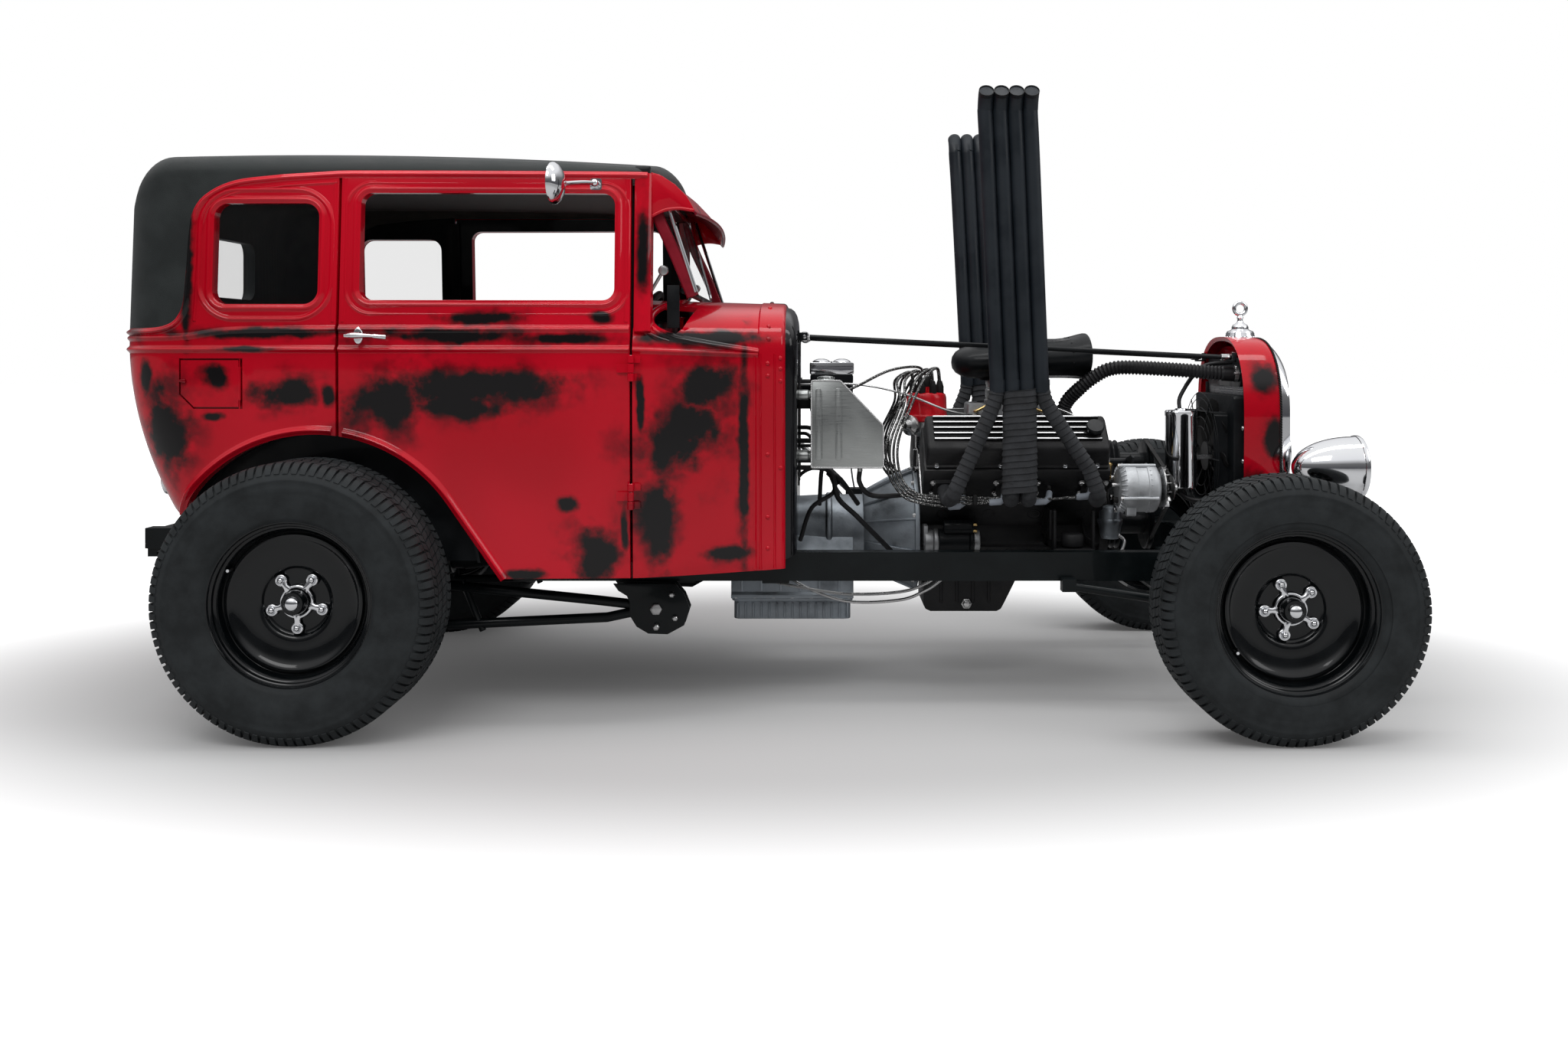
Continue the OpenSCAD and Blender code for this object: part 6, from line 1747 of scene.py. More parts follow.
def make_exhaust():
    """Wrapped primary pipes that gather into four upright stacks a side."""
    s = Shape()
    for m in (1, -1):
        for i in range(4):
            x, top = PORTS[i], 0.66 + 0.0437 * i
            sx = 0.7 + 0.043 * i
            knee = {0: (0.574, 0.388, 0.622), 1: (0.742, 0.388, 0.618), 2: (0.792, 0.388, 0.618),
                    3: (0.994, 0.388, 0.622)}[i]
            foot = {0: (0.6, 0.39, 0.678), 1: (0.7425, 0.39, 0.7), 2: (0.7875, 0.39, 0.7),
                    3: (0.968, 0.39, 0.69)}[i]
            low = smooth_path([(x, 0.284, 0.626), (x, 0.318, 0.603), (x + (knee[0] - x) * 0.4, 0.36, 0.598),
                knee, foot], 8)
            high = smooth_path([foot, (sx + (foot[0] - sx) * 0.16, 0.391, 0.868), (sx, 0.392, 0.925)], 10)
            path = [(px, m * py, pz) for px, py, pz in [tuple(q) for q in low[:-1]]
                + [tuple(q) for q in high]]
            points, radii = wrapped(path, 0.0212, 0.019, 0.0024)
            s.tube(points, radii, 20, 0)
            flange = rounded(x - 0.036, -0.03, x + 0.036, 0.03, 0.014, 5)
            ring = []
            for w in (0.105, 0.111):
                ring.append([(fx, m * bank(0.294 + fz, w)[0], bank(0.294 + fz, w)[1]) for fx, fz in flange])
            s.loft(ring, 1)
            rise = smooth_path([(sx, m * 0.392, 0.918), (sx - (sx - top) * 0.2, m * 0.3975, 1.08),
                                (top + (sx - top) * 0.2, m * 0.4135, 1.58), (top, m * 0.419, 1.722),
                                (top, m * 0.4205, 1.738), (top, m * 0.427, 1.758), (top, m * 0.439, 1.776),
                                (top, m * 0.45, 1.785)], 6)
            path = [Vector(q) for q in rise]
            s.tube(path, 0.02225, 28, 2)
            s.tube([(sx, m * 0.392, 0.915), (sx - 0.0006, m * 0.3925, 0.952)], 0.0237, 28, 2)
            out = (path[-1] - path[-2]).normalized()
            s.lathe([(0.0222, -0.018), (0.0222, 0.0), (0.0205, 0.0), (0.0205, -0.016), (0.0, -0.016),
                (0.0, -0.018)], tuple(path[-1] + out * 0.003), tuple(out), 28, 3)
        rings = []
        for k in range(97):
            f = k / 96
            lift = 0.003 * (1 - (k % 6) / 5.0)
            half = 0.05 - 0.002 * f + lift
            rings.append([(0.765 + half * copysign(abs(cos(TAU * q / 28)) ** 0.6, cos(TAU * q / 28)),
                           m * (0.388 + 0.004 * f) + (0.0245 + lift) * copysign(
                               abs(sin(TAU * q / 28)) ** 0.8, sin(TAU * q / 28)),
                           0.622 + 0.3 * f + 0.006 * cos(TAU * q / 28)) for q in range(28)])
        s.loft(rings, 0)
    piece("header_pipes", s, [header_wrap, engine_black, stack_black, seal_black], replaces="exhaust_headers",
          angle=40)


def make_intake():
    """Intake manifold with its carburettor and linkage."""
    s = Shape()
    body = [(0.094, 0.6485), (0.098, 0.66), (0.098, 0.69), (0.084, 0.715), (0.066, 0.735), (0.06, 0.768),
        (0.0, 0.774)]
    s.prism(turned(body)[:-1], 0.602, 0.978, "x")
    for m in (1, -1):
        for x in (0.64, 0.735, 0.81, 0.905):
            s.tube(smooth_path([(0.775, m * 0.02, 0.755), (0.5 * (x + 0.775), m * 0.055, 0.752),
                (x, m * 0.085, 0.728), (x, m * 0.094, 0.7)], 5), 0.021, 16)
    s.box((0.69, -0.07, 0.768), (0.862, 0.07, 0.78))
    s.lathe([(0.0, 0.0), (0.033, 0.0), (0.036, 0.006), (0.033, 0.012), (0.025, 0.016), (0.025, 0.04),
        (0.027, 0.046), (0.0, 0.046)], (0.955, -0.04, 0.77), (0, 0, 1), 32)
    piece("intake_manifold", s, [cast_bright], replaces="intake", bevel=0.0022)
    c = Shape()
    c.box((0.705, -0.064, 0.78), (0.848, 0.064, 0.806))
    c.prism(rounded(0.7, 0.806, 0.852, 0.868, 0.008, 4), -0.06, 0.06, "y")
    for x0, x1 in ((0.652, 0.7), (0.852, 0.902)):
        c.prism(rounded(x0, 0.812, x1, 0.872, 0.01, 4), -0.066, 0.066, "y")
        for m in (1, -1):
            c.lathe([(0.0, 0.0), (0.008, 0.0), (0.008, 0.006), (0.0, 0.007)],
                    ((x0 + x1) / 2, m * 0.066, 0.842), (0, m, 0), 12, 1)
            c.tube([((x0 + x1) / 2, m * 0.068, 0.824), ((x0 + x1) / 2, m * 0.074, 0.824)], 0.007, 12, 1)
    c.lathe([(0.0, 0.0), (0.064, 0.0), (0.066, 0.004), (0.066, 0.012), (0.06, 0.018), (0.06, 0.06),
        (0.062, 0.064), (0.062, 0.074), (0.0, 0.075)], (0.776, 0, 0.868), (0, 0, 1), 48)
    c.tube([(0.735, -0.085, 0.793), (0.735, 0.085, 0.793)], 0.0045, 12, 1)
    c.tube([(0.817, -0.08, 0.793), (0.817, 0.08, 0.793)], 0.0045, 12, 1)
    for x in (0.735, 0.817):
        c.prism(rounded(x - 0.009, 0.775, x + 0.009, 0.83, 0.008, 4), -0.08, -0.077, "y", 1)
    c.tube([(0.735, -0.082, 0.824), (0.817, -0.082, 0.824)], 0.0032, 10, 1)
    c.tube(smooth_path([(0.735, -0.084, 0.828), (0.66, -0.088, 0.835), (0.58, -0.09, 0.85),
        (0.45, -0.07, 0.9), (0.3, -0.05, 0.93), (0.12, -0.04, 0.93)], 6), 0.0036, 10, 1)
    c.tube(smooth_path([(0.676, -0.066, 0.848), (0.676, -0.085, 0.848), (0.76, -0.088, 0.88),
        (0.877, -0.085, 0.848), (0.877, -0.066, 0.848)], 6), 0.0045, 12, 2)
    c.lathe([(0.0, 0.0), (0.024, 0.0), (0.026, 0.004), (0.026, 0.01), (0.018, 0.016), (0.0, 0.018)],
            (0.85, -0.07, 0.882), (0, -1, 0), 24, 3)
    c.prism(rounded(0.705, 0.884, 0.76, 0.922, 0.008, 4), -0.074, -0.06, "y", 0)
    for k in range(3):
        c.lathe([(0.0, 0.0), (0.0038, 0.0), (0.0038, 0.004), (0.0, 0.005)],
            (0.714 + 0.018 * k, -0.074, 0.912), (0, -1, 0), 8, 1)
    piece("carburettor", c, [cast_bright, steel, brass, plastic_black], bevel=0.0009)
    ends = []
    for x in (0.63, 0.7, 0.77, 0.84, 0.91, 0.96):
        for m in (1, -1):
            ends.append(((x, m * 0.09, 0.7), (0, m * 0.7, 0.7)))
    for x, y in ((0.698, 0.058), (0.855, 0.058), (0.698, -0.058), (0.855, -0.058)):
        ends.append(((x, y, 0.806), (0, 0, 1)))
    for a in (45, 225):
        ends.append(((0.955 + 0.029 * cos(radians(a)), -0.04 + 0.029 * sin(radians(a)), 0.782),
                     (0, 0, 1)))
    repeat("intake_bolts", hex_bolt(0.012, 0.008), ends, steel)


def make_scoop():
    """The forward-facing air scoop on the carburettor."""
    s = Shape()
    outer = []
    for x, hy, hz, cz in ((0.6045, 0.01, 0.006, 1.0), (0.608, 0.038, 0.02, 1.0),
            (0.618, 0.063, 0.034, 1.0005), (0.636, 0.086, 0.045, 1.001), (0.664, 0.104, 0.052, 1.002),
            (0.7, 0.115, 0.0555, 1.003), (0.76, 0.12, 0.058, 1.006), (0.84, 0.1225, 0.06, 1.009),
            (0.92, 0.1235, 0.062, 1.012), (0.96, 0.1245, 0.064, 1.014), (0.99, 0.1265, 0.068, 1.017),
            (1.01, 0.1285, 0.0715, 1.019), (1.024, 0.13, 0.0735, 1.02), (1.031, 0.1298, 0.0733, 1.02),
            (1.033, 0.1285, 0.072, 1.02), (1.032, 0.1268, 0.0703, 1.02), (1.022, 0.1255, 0.069, 1.02),
            (0.995, 0.1225, 0.064, 1.017), (0.94, 0.1195, 0.059, 1.013), (0.9, 0.119, 0.058, 1.011),
            (0.895, 0.02, 0.02, 1.011)):
        outer.append([(x, hy * cos(TAU * k / 48), cz + hz * sin(TAU * k / 48)) for k in range(48)])
    s.loft(outer)
    s.lathe([(0.0, 0.0), (0.066, 0.0), (0.066, 0.01), (0.063, 0.013), (0.06, 0.022), (0.0, 0.022)],
        (0.76, 0, 0.9432), (0, 0, 1), 48)
    for y in (-0.06, 0.0, 0.06):
        s.box((0.896, y - 0.001, 0.955), (1.006, y + 0.001, 1.075), 1)
    s.lathe([(0.0, 0.0), (0.02, 0.0), (0.02, 0.004), (0.006, 0.006), (0.006, 0.014), (0.0, 0.015)],
        (0.77, 0, 1.064), (0, 0, 1), 24, 1)
    piece("scoop_shell", s, [satin_black, steel], replaces="air_scoop", angle=45)
    heads = []
    for k in range(12):
        a = TAU * (k + 0.5) / 12
        heads.append(((0.975, 0.1255 * cos(a), 1.0155 + 0.066 * sin(a)), (0, cos(a) * 0.6, sin(a))))
    repeat("scoop_rivets", dome(0.0035, 0.0016), heads, satin_black)


def make_distributor():
    """Distributor with its red cap, terminals and plug leads."""
    s = Shape()
    x = 0.524
    s.lathe([(0.0, 0.0), (0.04, 0.0), (0.04, 0.01), (0.032, 0.014), (0.03, 0.07), (0.036, 0.08),
        (0.036, 0.115), (0.052, 0.135), (0.056, 0.15), (0.056, 0.176), (0.05, 0.18), (0.0, 0.18)],
        (x, 0, 0.6485), (0, 0, 1), 44, 1)
    s.lathe([(0.0, -0.012), (0.064, -0.012), (0.0685, -0.008), (0.0685, 0.008), (0.0655, 0.012),
        (0.064, 0.064), (0.061, 0.076), (0.054, 0.081), (0.0, 0.082)], (x, 0, 0.822), (0, 0, 1), 52, 0)
    terminals = []
    for k in range(8):
        a = TAU * (k + 0.5) / 8
        px, py = x + 0.046 * cos(a), 0.046 * sin(a)
        s.lathe([(0.0, 0.0), (0.0105, 0.0), (0.0098, 0.026), (0.0085, 0.028), (0.0, 0.028)],
            (px, py, 0.893), (0, 0, 1), 18, 0)
        terminals.append((px, py, 0.919))
    s.lathe([(0.0, 0.0), (0.0135, 0.0), (0.012, 0.04), (0.0, 0.041)], (x, 0, 0.899), (0, 0, 1), 20, 0)
    for m in (1, -1):
        s.box((x - 0.006, m * 0.058 - 0.002, 0.8), (x + 0.006, m * 0.058 + 0.005, 0.85), 1)
        s.box((x + m * 0.0605 - 0.003, -0.007, 0.802), (x + m * 0.0605 + 0.004, 0.007, 0.852), 1)
    s.lathe([(0.0, 0.0), (0.03, 0.0), (0.033, 0.006), (0.033, 0.02), (0.018, 0.026), (0.01, 0.04),
        (0.0, 0.04)], (x - 0.045, -0.035, 0.8), (-0.7, -0.7, 0), 24, 1)
    s.tube([(x, -0.01, 0.662), (x - 0.045, -0.06, 0.662)], 0.007, 10, 1)
    piece("distributor_set", s, [cap_red, steel], replaces="distributor", bevel=0.0007)
    b = Shape()
    for px, py, pz in terminals:
        b.lathe([(0.0, 0.0), (0.0115, 0.0), (0.0115, 0.022), (0.0088, 0.03), (0.0062, 0.04), (0.0, 0.04)],
                (px, py, pz - 0.018), (0, 0, 1), 16)
    b.lathe([(0.0, 0.0), (0.0135, 0.0), (0.0135, 0.022), (0.008, 0.034), (0.0, 0.035)], (x, 0, 0.922),
        (0, 0, 1), 16)
    piece("terminal_boots", b, [plastic_black])
    plugs = ((0.587, 0.574), (0.709, 0.587), (0.843, 0.588), (0.968, 0.603))
    lead, boots = [], Shape()
    for m in (1, -1):
        order = sorted([t for t in terminals if t[1] * m > 0], key=lambda t: t[0])
        for i, (px, pz) in enumerate(plugs):
            t = order[i]
            drop = 0.385 + 0.011 * i
            path = [(t[0], t[1], t[2] + 0.018), (t[0] - 0.01, t[1] + m * 0.004, t[2] + 0.05 + 0.004 * i),
                (t[0] - 0.055, m * (0.06 + 0.012 * i), 0.94 + 0.004 * i),
                (drop + 0.045, m * (0.15 + 0.012 * i), 0.87), (drop, m * (0.215 + 0.01 * i), 0.757),
                (drop + 0.004, m * (0.25 + 0.01 * i), 0.665),
                (drop + 0.04, m * (0.29 + 0.007 * i), 0.605 + 0.004 * i),
                (0.47 + 0.02 * i, m * 0.318, 0.585 + 0.006 * i)]
            if i:
                path += [(px - 0.13, m * 0.33, 0.578 + 0.006 * i), (px - 0.06, m * 0.331, pz - 0.003)]
            path += [(px - 0.028, m * 0.33, pz - 0.001), (px - 0.01, m * 0.329, pz)]
            lead.append(smooth_path(path, 9))
            boots.tube([(px - 0.026, m * 0.33, pz - 0.001), (px - 0.022, m * 0.33, pz - 0.001),
                        (px + 0.006, m * 0.329, pz + 0.001), (px + 0.018, m * 0.322, pz + 0.008),
                        (px + 0.024, m * 0.3, pz + 0.024)], [0.0078, 0.0098, 0.0104, 0.0104, 0.0092], 18, 0)
            boots.tube([(px + 0.023, m * 0.304, pz + 0.022), (px + 0.028, m * 0.262, pz + 0.048)], 0.0062,
                12, 1)
    coil_path = smooth_path([(x, 0, 0.955), (x - 0.03, -0.02, 0.985), (0.4, -0.1, 0.975), (0.3, -0.18, 0.93),
                             (0.235, -0.2, 0.9)], 9)
    lead.append(coil_path)
    make_leads(lead)
    piece("plug_boots", boots, [boot_grey, steel])
    looms = Shape()
    for m in (1, -1):
        for px, pz in ((0.64, 0.594), (0.775, 0.601)):
            looms.box((px - 0.006, m * 0.33 - 0.018, pz - 0.014), (px + 0.006, m * 0.33 + 0.012, pz + 0.016))
    piece("lead_clips", looms, [plastic_black], bevel=0.002)


def make_leads(paths):
    """Round leads whose braid follows their own length."""
    mesh = bpy.data.meshes.new("plug_leads")
    build = bmesh.new()
    layer = build.loops.layers.uv.new("along")
    sides, r = 12, 0.0042
    for path in paths:
        rings, along, side = [], [0.0], None
        for i, p in enumerate(path):
            p = Vector(p)
            ahead = (Vector(path[min(i + 1, len(path) - 1)]) - Vector(path[max(i - 1, 0)])).normalized()
            side = basis(ahead)[0] if side is None else (side - ahead * side.dot(ahead)).normalized()
            other = ahead.cross(side)
            rings.append([build.verts.new(p + (side * cos(TAU * k / sides) + other * sin(TAU * k / sides))
                * r) for k in range(sides)])
            if i:
                along.append(along[-1] + (p - Vector(path[i - 1])).length)
        for i in range(len(rings) - 1):
            for k in range(sides):
                j = (k + 1) % sides
                face = build.faces.new((rings[i][k], rings[i][j], rings[i + 1][j], rings[i + 1][k]))
                face.smooth = True
                corners = ((along[i], k), (along[i], k + 1), (along[i + 1], k + 1), (along[i + 1], k))
                for loop, (a, b) in zip(face.loops, corners):
                    loop[layer].uv = (a, b / sides)
    build.to_mesh(mesh)
    build.free()
    mesh.materials.append(lead_braid)
    obj = bpy.data.objects.new("plug_leads", mesh)
    scene.collection.objects.link(obj)
    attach(obj, "root")


def make_alternator():
    """Alternator with its pulley and bracket, and the fan belt."""
    s = Shape()
    y, z = -0.292, 0.625
    case = [(0.0, 0.0), (0.052, 0.0), (0.062, 0.004), (0.07, 0.014), (0.0725, 0.02), (0.0725, 0.048),
        (0.07, 0.05), (0.07, 0.08), (0.0725, 0.082), (0.0725, 0.104), (0.068, 0.112), (0.048, 0.122),
        (0.02, 0.126), (0.0, 0.126)]
    s.lathe(case, (1.072, y, z), (1, 0, 0), 56, 0)
    for k in range(28):
        a = TAU * k / 28
        c, e = cos(a), sin(a)
        for x0, x1 in ((1.0725, 1.088), (1.158, 1.186)):
            ring = []
            for x in (x0, x1):
                lo, hi = (0.04, 0.0745 if 1.08 < x < 1.17 else 0.064)
                ring.append([(x, y + c * r - e * w, z + e * r + c * w) for r, w in ((lo, -0.0017),
                    (hi, -0.0017), (hi, 0.0017), (lo, 0.0017))])
            s.loft(ring, 0)
    fan_disc = [(0.0, 0.0), (0.05, 0.0), (0.064, 0.003), (0.064, 0.006), (0.0, 0.008)]
    s.lathe(fan_disc, (1.2, y, z), (1, 0, 0), 40, 1)
    for k in range(14):
        a = TAU * k / 14
        c, e = cos(a), sin(a)
        s.loft([[(x, y + c * r - e * w, z + e * r + c * w) for r, w in ((0.034, -0.001), (0.062, 0.006),
            (0.062, 0.008), (0.034, 0.001))] for x in (1.205, 1.22)], 1)
    pulley = [(0.0, 0.0), (0.034, 0.0), (0.037, 0.002), (0.029, 0.011), (0.037, 0.02), (0.034, 0.022),
        (0.014, 0.022), (0.012, 0.034), (0.0, 0.034)]
    s.lathe(pulley, (1.216, y, z), (1, 0, 0), 40, 1)
    for a in (20, 110, 200, 290):
        c, e = cos(radians(a)), sin(radians(a))
        s.tube([(1.074, y + c * 0.073, z + e * 0.073), (1.18, y + c * 0.073, z + e * 0.073)], 0.0062, 10, 0)
        s.tube([(1.068, y + c * 0.073, z + e * 0.073), (1.076, y + c * 0.073, z + e * 0.073)], 0.0072, 6, 1)
    s.prism(rounded(-0.34, 0.545, -0.26, 0.585, 0.008, 4), 1.09, 1.118, "x", 0)
    s.prism([(-0.15, 0.566), (-0.292, 0.56), (-0.302, 0.548), (-0.318, 0.548), (-0.318, 0.572),
        (-0.292, 0.588), (-0.15, 0.59)], 1.088, 1.096, "x", 2)
    s.prism([(-0.285, 0.7), (-0.292, 0.716), (-0.268, 0.722), (-0.196, 0.706), (-0.196, 0.688)], 1.118,
        1.124, "x", 2)
    s.tube([(1.05, -0.2, 0.697), (1.124, -0.2, 0.697)], 0.011, 12, 2)
    s.tube([(1.072, y - 0.03, z + 0.012), (1.05, y - 0.03, z + 0.012)], 0.006, 10, 1)
    s.tube([(1.072, y - 0.01, z - 0.035), (1.058, y - 0.01, z - 0.035)], 0.009, 12, 3)
    piece("alternator_set", s, [alternator_alloy, steel, satin_black, plastic_black], replaces="alternator",
        bevel=0.0006)
    belt = Shape()
    loops = []
    a0, a1 = Vector((y, z)), Vector((0.0, CRANK))
    for centre, r, turn0, turn1 in ((a0, 0.036, 90, 268), (a1, 0.084, 268, 420),
            (Vector((0.0, PUMP_Z)), 0.069, 60, 90)):
        for k in range(15):
            a = radians(turn0 + (turn1 - turn0) * k / 14)
            loops.append(Vector((centre.x + r * cos(a), centre.y + r * sin(a))))
    rings = []
    n = len(loops)
    for i, p in enumerate(loops):
        away = (loops[(i + 1) % n] - loops[i - 1]).normalized()
        side = Vector((away.y, -away.x))
        q, w = p + side * 0.004, p - side * 0.006
        rings.append([(1.222, q.x, q.y), (1.234, q.x, q.y), (1.232, w.x, w.y), (1.224, w.x, w.y)])
    rings.append(rings[0])
    belt.loft(rings, 0, caps=False)
    belt.lathe([(0.0, 0.0), (0.083, 0.0), (0.088, 0.003), (0.078, 0.01), (0.088, 0.017), (0.083, 0.02),
        (0.0, 0.021)], (1.218, 0, CRANK), (1, 0, 0), 48, 1)
    belt.lathe(disc(0.04, 0.085), (1.134, 0, CRANK), (1, 0, 0), 32, 1)
    belt.lathe([(0.0, 0.0), (0.068, 0.0), (0.072, 0.003), (0.063, 0.01), (0.072, 0.017), (0.068, 0.02),
        (0.0, 0.021)], (1.218, 0, PUMP_Z), (1, 0, 0), 44, 1)
    belt.lathe(disc(0.03, 0.085), (1.134, 0, PUMP_Z), (1, 0, 0), 32, 1)
    piece("fan_belt", belt, [seal_black, satin_black], angle=30)


def make_pan():
    """Oil pan with its flange and drain plug."""
    s = Shape()
    s.prism(rounded(0.5, -0.135, 1.046, 0.135, 0.01, 4), 0.39, 0.3978, "z")
    s.box((0.506, -0.118, 0.372), (1.04, 0.118, 0.391))
    s.prism([(0.506, 0.373), (0.506, 0.24), (0.512, 0.228), (0.528, 0.221), (0.735, 0.221), (0.748, 0.228),
        (0.756, 0.242), (0.8, 0.33), (1.036, 0.345), (1.036, 0.373)], -0.11, 0.11, "y")
    for x in (0.56, 0.61, 0.66, 0.71):
        for m in (1, -1):
            s.box((x - 0.004, m * 0.112 - 0.004, 0.25), (x + 0.004, m * 0.112 + 0.004, 0.35))
    s.lathe([(0.0, 0.0), (0.018, 0.0), (0.018, 0.006), (0.012, 0.006), (0.012, 0.014), (0.0, 0.014)],
        (0.64, -0.11, 0.245), (0, -1, 0), 6, 1)
    piece("oil_pan_shell", s, [engine_black, steel], replaces="oil_pan", bevel=0.004,
        segments=3)
    rim = [((0.515 + 0.0575 * k, m * 0.127, 0.391), (0, 0, -1)) for k in range(10) for m in (1, -1)]
    repeat("pan_bolts", hex_bolt(0.011, 0.006), rim, steel)


def round_ring(x, r, z, steps, squash=1.0):
    """A circle across the car at one x."""
    return [(x, r * cos(TAU * k / steps), z + r * squash * sin(TAU * k / steps)) for k in range(steps)]


def make_gearbox():
    """Bell housing and gearbox with pan, bolts and cooler lines, and the cables behind the engine."""
    s = Shape()
    z0 = 0.47
    bell = []
    for x, r in ((0.318, 0.112), (0.322, 0.116), (0.34, 0.124), (0.38, 0.146), (0.43, 0.172), (0.465, 0.186),
                 (0.474, 0.189), (0.475, 0.194), (0.489, 0.194)):
        bell.append(round_ring(x, r, z0, 64, 0.99))
    s.loft(bell)
    for k in range(12):
        a = TAU * (k + 0.5) / 12
        c, e = cos(a), sin(a)
        rings = []
        for x, r in ((0.32, 0.113), (0.4, 0.158), (0.476, 0.19)):
            rings.append([(x, c * (r + h) - e * w, z0 + e * (r + h) + c * w) for h, w in ((-0.006, -0.004),
                (0.007, -0.003), (0.007, 0.003), (-0.006, 0.004))])
        s.loft(rings)
    case = []
    for x, r in ((-0.1, 0.084), (-0.094, 0.094), (-0.06, 0.098), (-0.056, 0.104), (-0.046, 0.104),
            (-0.042, 0.098), (0.12, 0.112), (0.2, 0.116), (0.204, 0.122), (0.216, 0.122), (0.22, 0.116),
            (0.32, 0.116)):
        case.append(round_ring(x, r, BOX_Z, 48))
    s.loft(case)
    side = [(0.112, 0.46), (0.15, 0.4), (0.16, 0.36), (0.158, 0.29), (0.164, 0.282), (0.164, 0.27)]
    s.prism(turned(side), -0.094, 0.285, "x")
    for x in (-0.06, 0.0, 0.06, 0.12, 0.18, 0.24):
        for m in (1, -1):
            s.box((x - 0.004, m * 0.156 - 0.006, 0.292), (x + 0.004, m * 0.156 + 0.006, 0.396))
    tail = []
    for x, r in ((-0.268, 0.04), (-0.266, 0.05), (-0.25, 0.052), (-0.245, 0.046), (-0.15, 0.052),
            (-0.12, 0.07), (-0.108, 0.08), (-0.104, 0.088), (-0.096, 0.088)):
        tail.append(round_ring(x, r, BOX_Z, 40))
    s.loft(tail)
    s.box((-0.175, -0.04, 0.401), (-0.14, 0.04, 0.42))
    s.lathe([(0.0, 0.0), (0.02, 0.0), (0.02, 0.012), (0.014, 0.016), (0.0, 0.016)], (0.06, -0.155, 0.345),
        (0, -1, 0), 24, 1)
    s.prism(rounded(0.052, 0.345, 0.068, 0.43, 0.007, 4), -0.178, -0.173, "y", 1)
    piece("gearbox_case", s, [cast_grey, steel], replaces="gearbox", bevel=0.0022)
    p = Shape()
    p.prism(rounded(-0.092, -0.16, 0.283, 0.16, 0.02, 5), 0.262, 0.2715, "z")
    p.prism(rounded(-0.086, -0.15, 0.276, 0.15, 0.02, 5), 0.205, 0.264, "z")
    for k in range(15):
        x = -0.074 + 0.0243 * k
        p.box((x - 0.003, -0.1555, 0.209), (x + 0.003, 0.1555, 0.256))
    piece("gearbox_pan", p, [cast_grey], bevel=0.0018)
    bolts = [((-0.08 + 0.0585 * k, m * 0.156, 0.2715), (0, 0, 1)) for k in range(7) for m in (1, -1)]
    for k in range(10):
        a = TAU * (k + 0.5) / 10
        bolts.append(((0.475, 0.1865 * cos(a), z0 + 0.1865 * sin(a)), (-1, 0, 0)))
    repeat("gearbox_bolts", hex_bolt(0.013, 0.008), bolts, steel)
    t = Shape()
    for i in range(2):
        t.tube(smooth_path([(0.02 + 0.05 * i, -0.15, 0.33 + 0.02 * i),
            (0.03 + 0.05 * i, -0.18, 0.328 + 0.02 * i), (0.1 + 0.03 * i, -0.215, 0.318),
            (0.26, -0.25, 0.3 - 0.022 * i), (0.42, -0.285, 0.312 - 0.024 * i),
            (0.5, -0.318, 0.345 - 0.02 * i), (0.6, -0.322, 0.402 - 0.022 * i),
            (0.86, -0.322, 0.43 - 0.022 * i), (1.2, -0.318, 0.43 - 0.022 * i), (1.44, -0.25, 0.45),
            (1.5, -0.2 - 0.03 * i, 0.48)], 7), 0.0047, 10, 0)
        t.tube([(0.02 + 0.05 * i, -0.148, 0.33 + 0.02 * i), (0.028 + 0.05 * i, -0.17, 0.329 + 0.02 * i)],
            0.0085, 6, 1)
    piece("cooler_lines", t, [steel, brass])
    w = Shape()
    for i, (y, z, x1, z1) in enumerate(((-0.12, 0.78, 0.06, 0.57), (-0.145, 0.8, 0.18, 0.555),
                                        (-0.17, 0.76, 0.3, 0.56), (-0.1, 0.74, 0.24, 0.585),
                                        (-0.19, 0.7, 0.12, 0.45), (-0.205, 0.68, 0.4, 0.42))):
        w.tube(smooth_path([(0.112, y, z), (0.15 + 0.012 * i, y - 0.01, z - 0.01),
            (0.185 + 0.01 * i, y - 0.02, z - 0.09), (0.5 * (x1 + 0.19), y - 0.015, 0.5 * (z + z1) - 0.02),
            (x1, min(-0.1, y + 0.03), z1)], 7), 0.0055 + 0.0012 * (i % 3), 10)
    piece("firewall_cables", w, [hose_black])


make_block()
make_covers()
make_exhaust()
make_intake()
make_scoop()
make_distributor()
make_alternator()
make_pan()
make_gearbox()


# ---------------------------------------------------------------- firewall and cooling

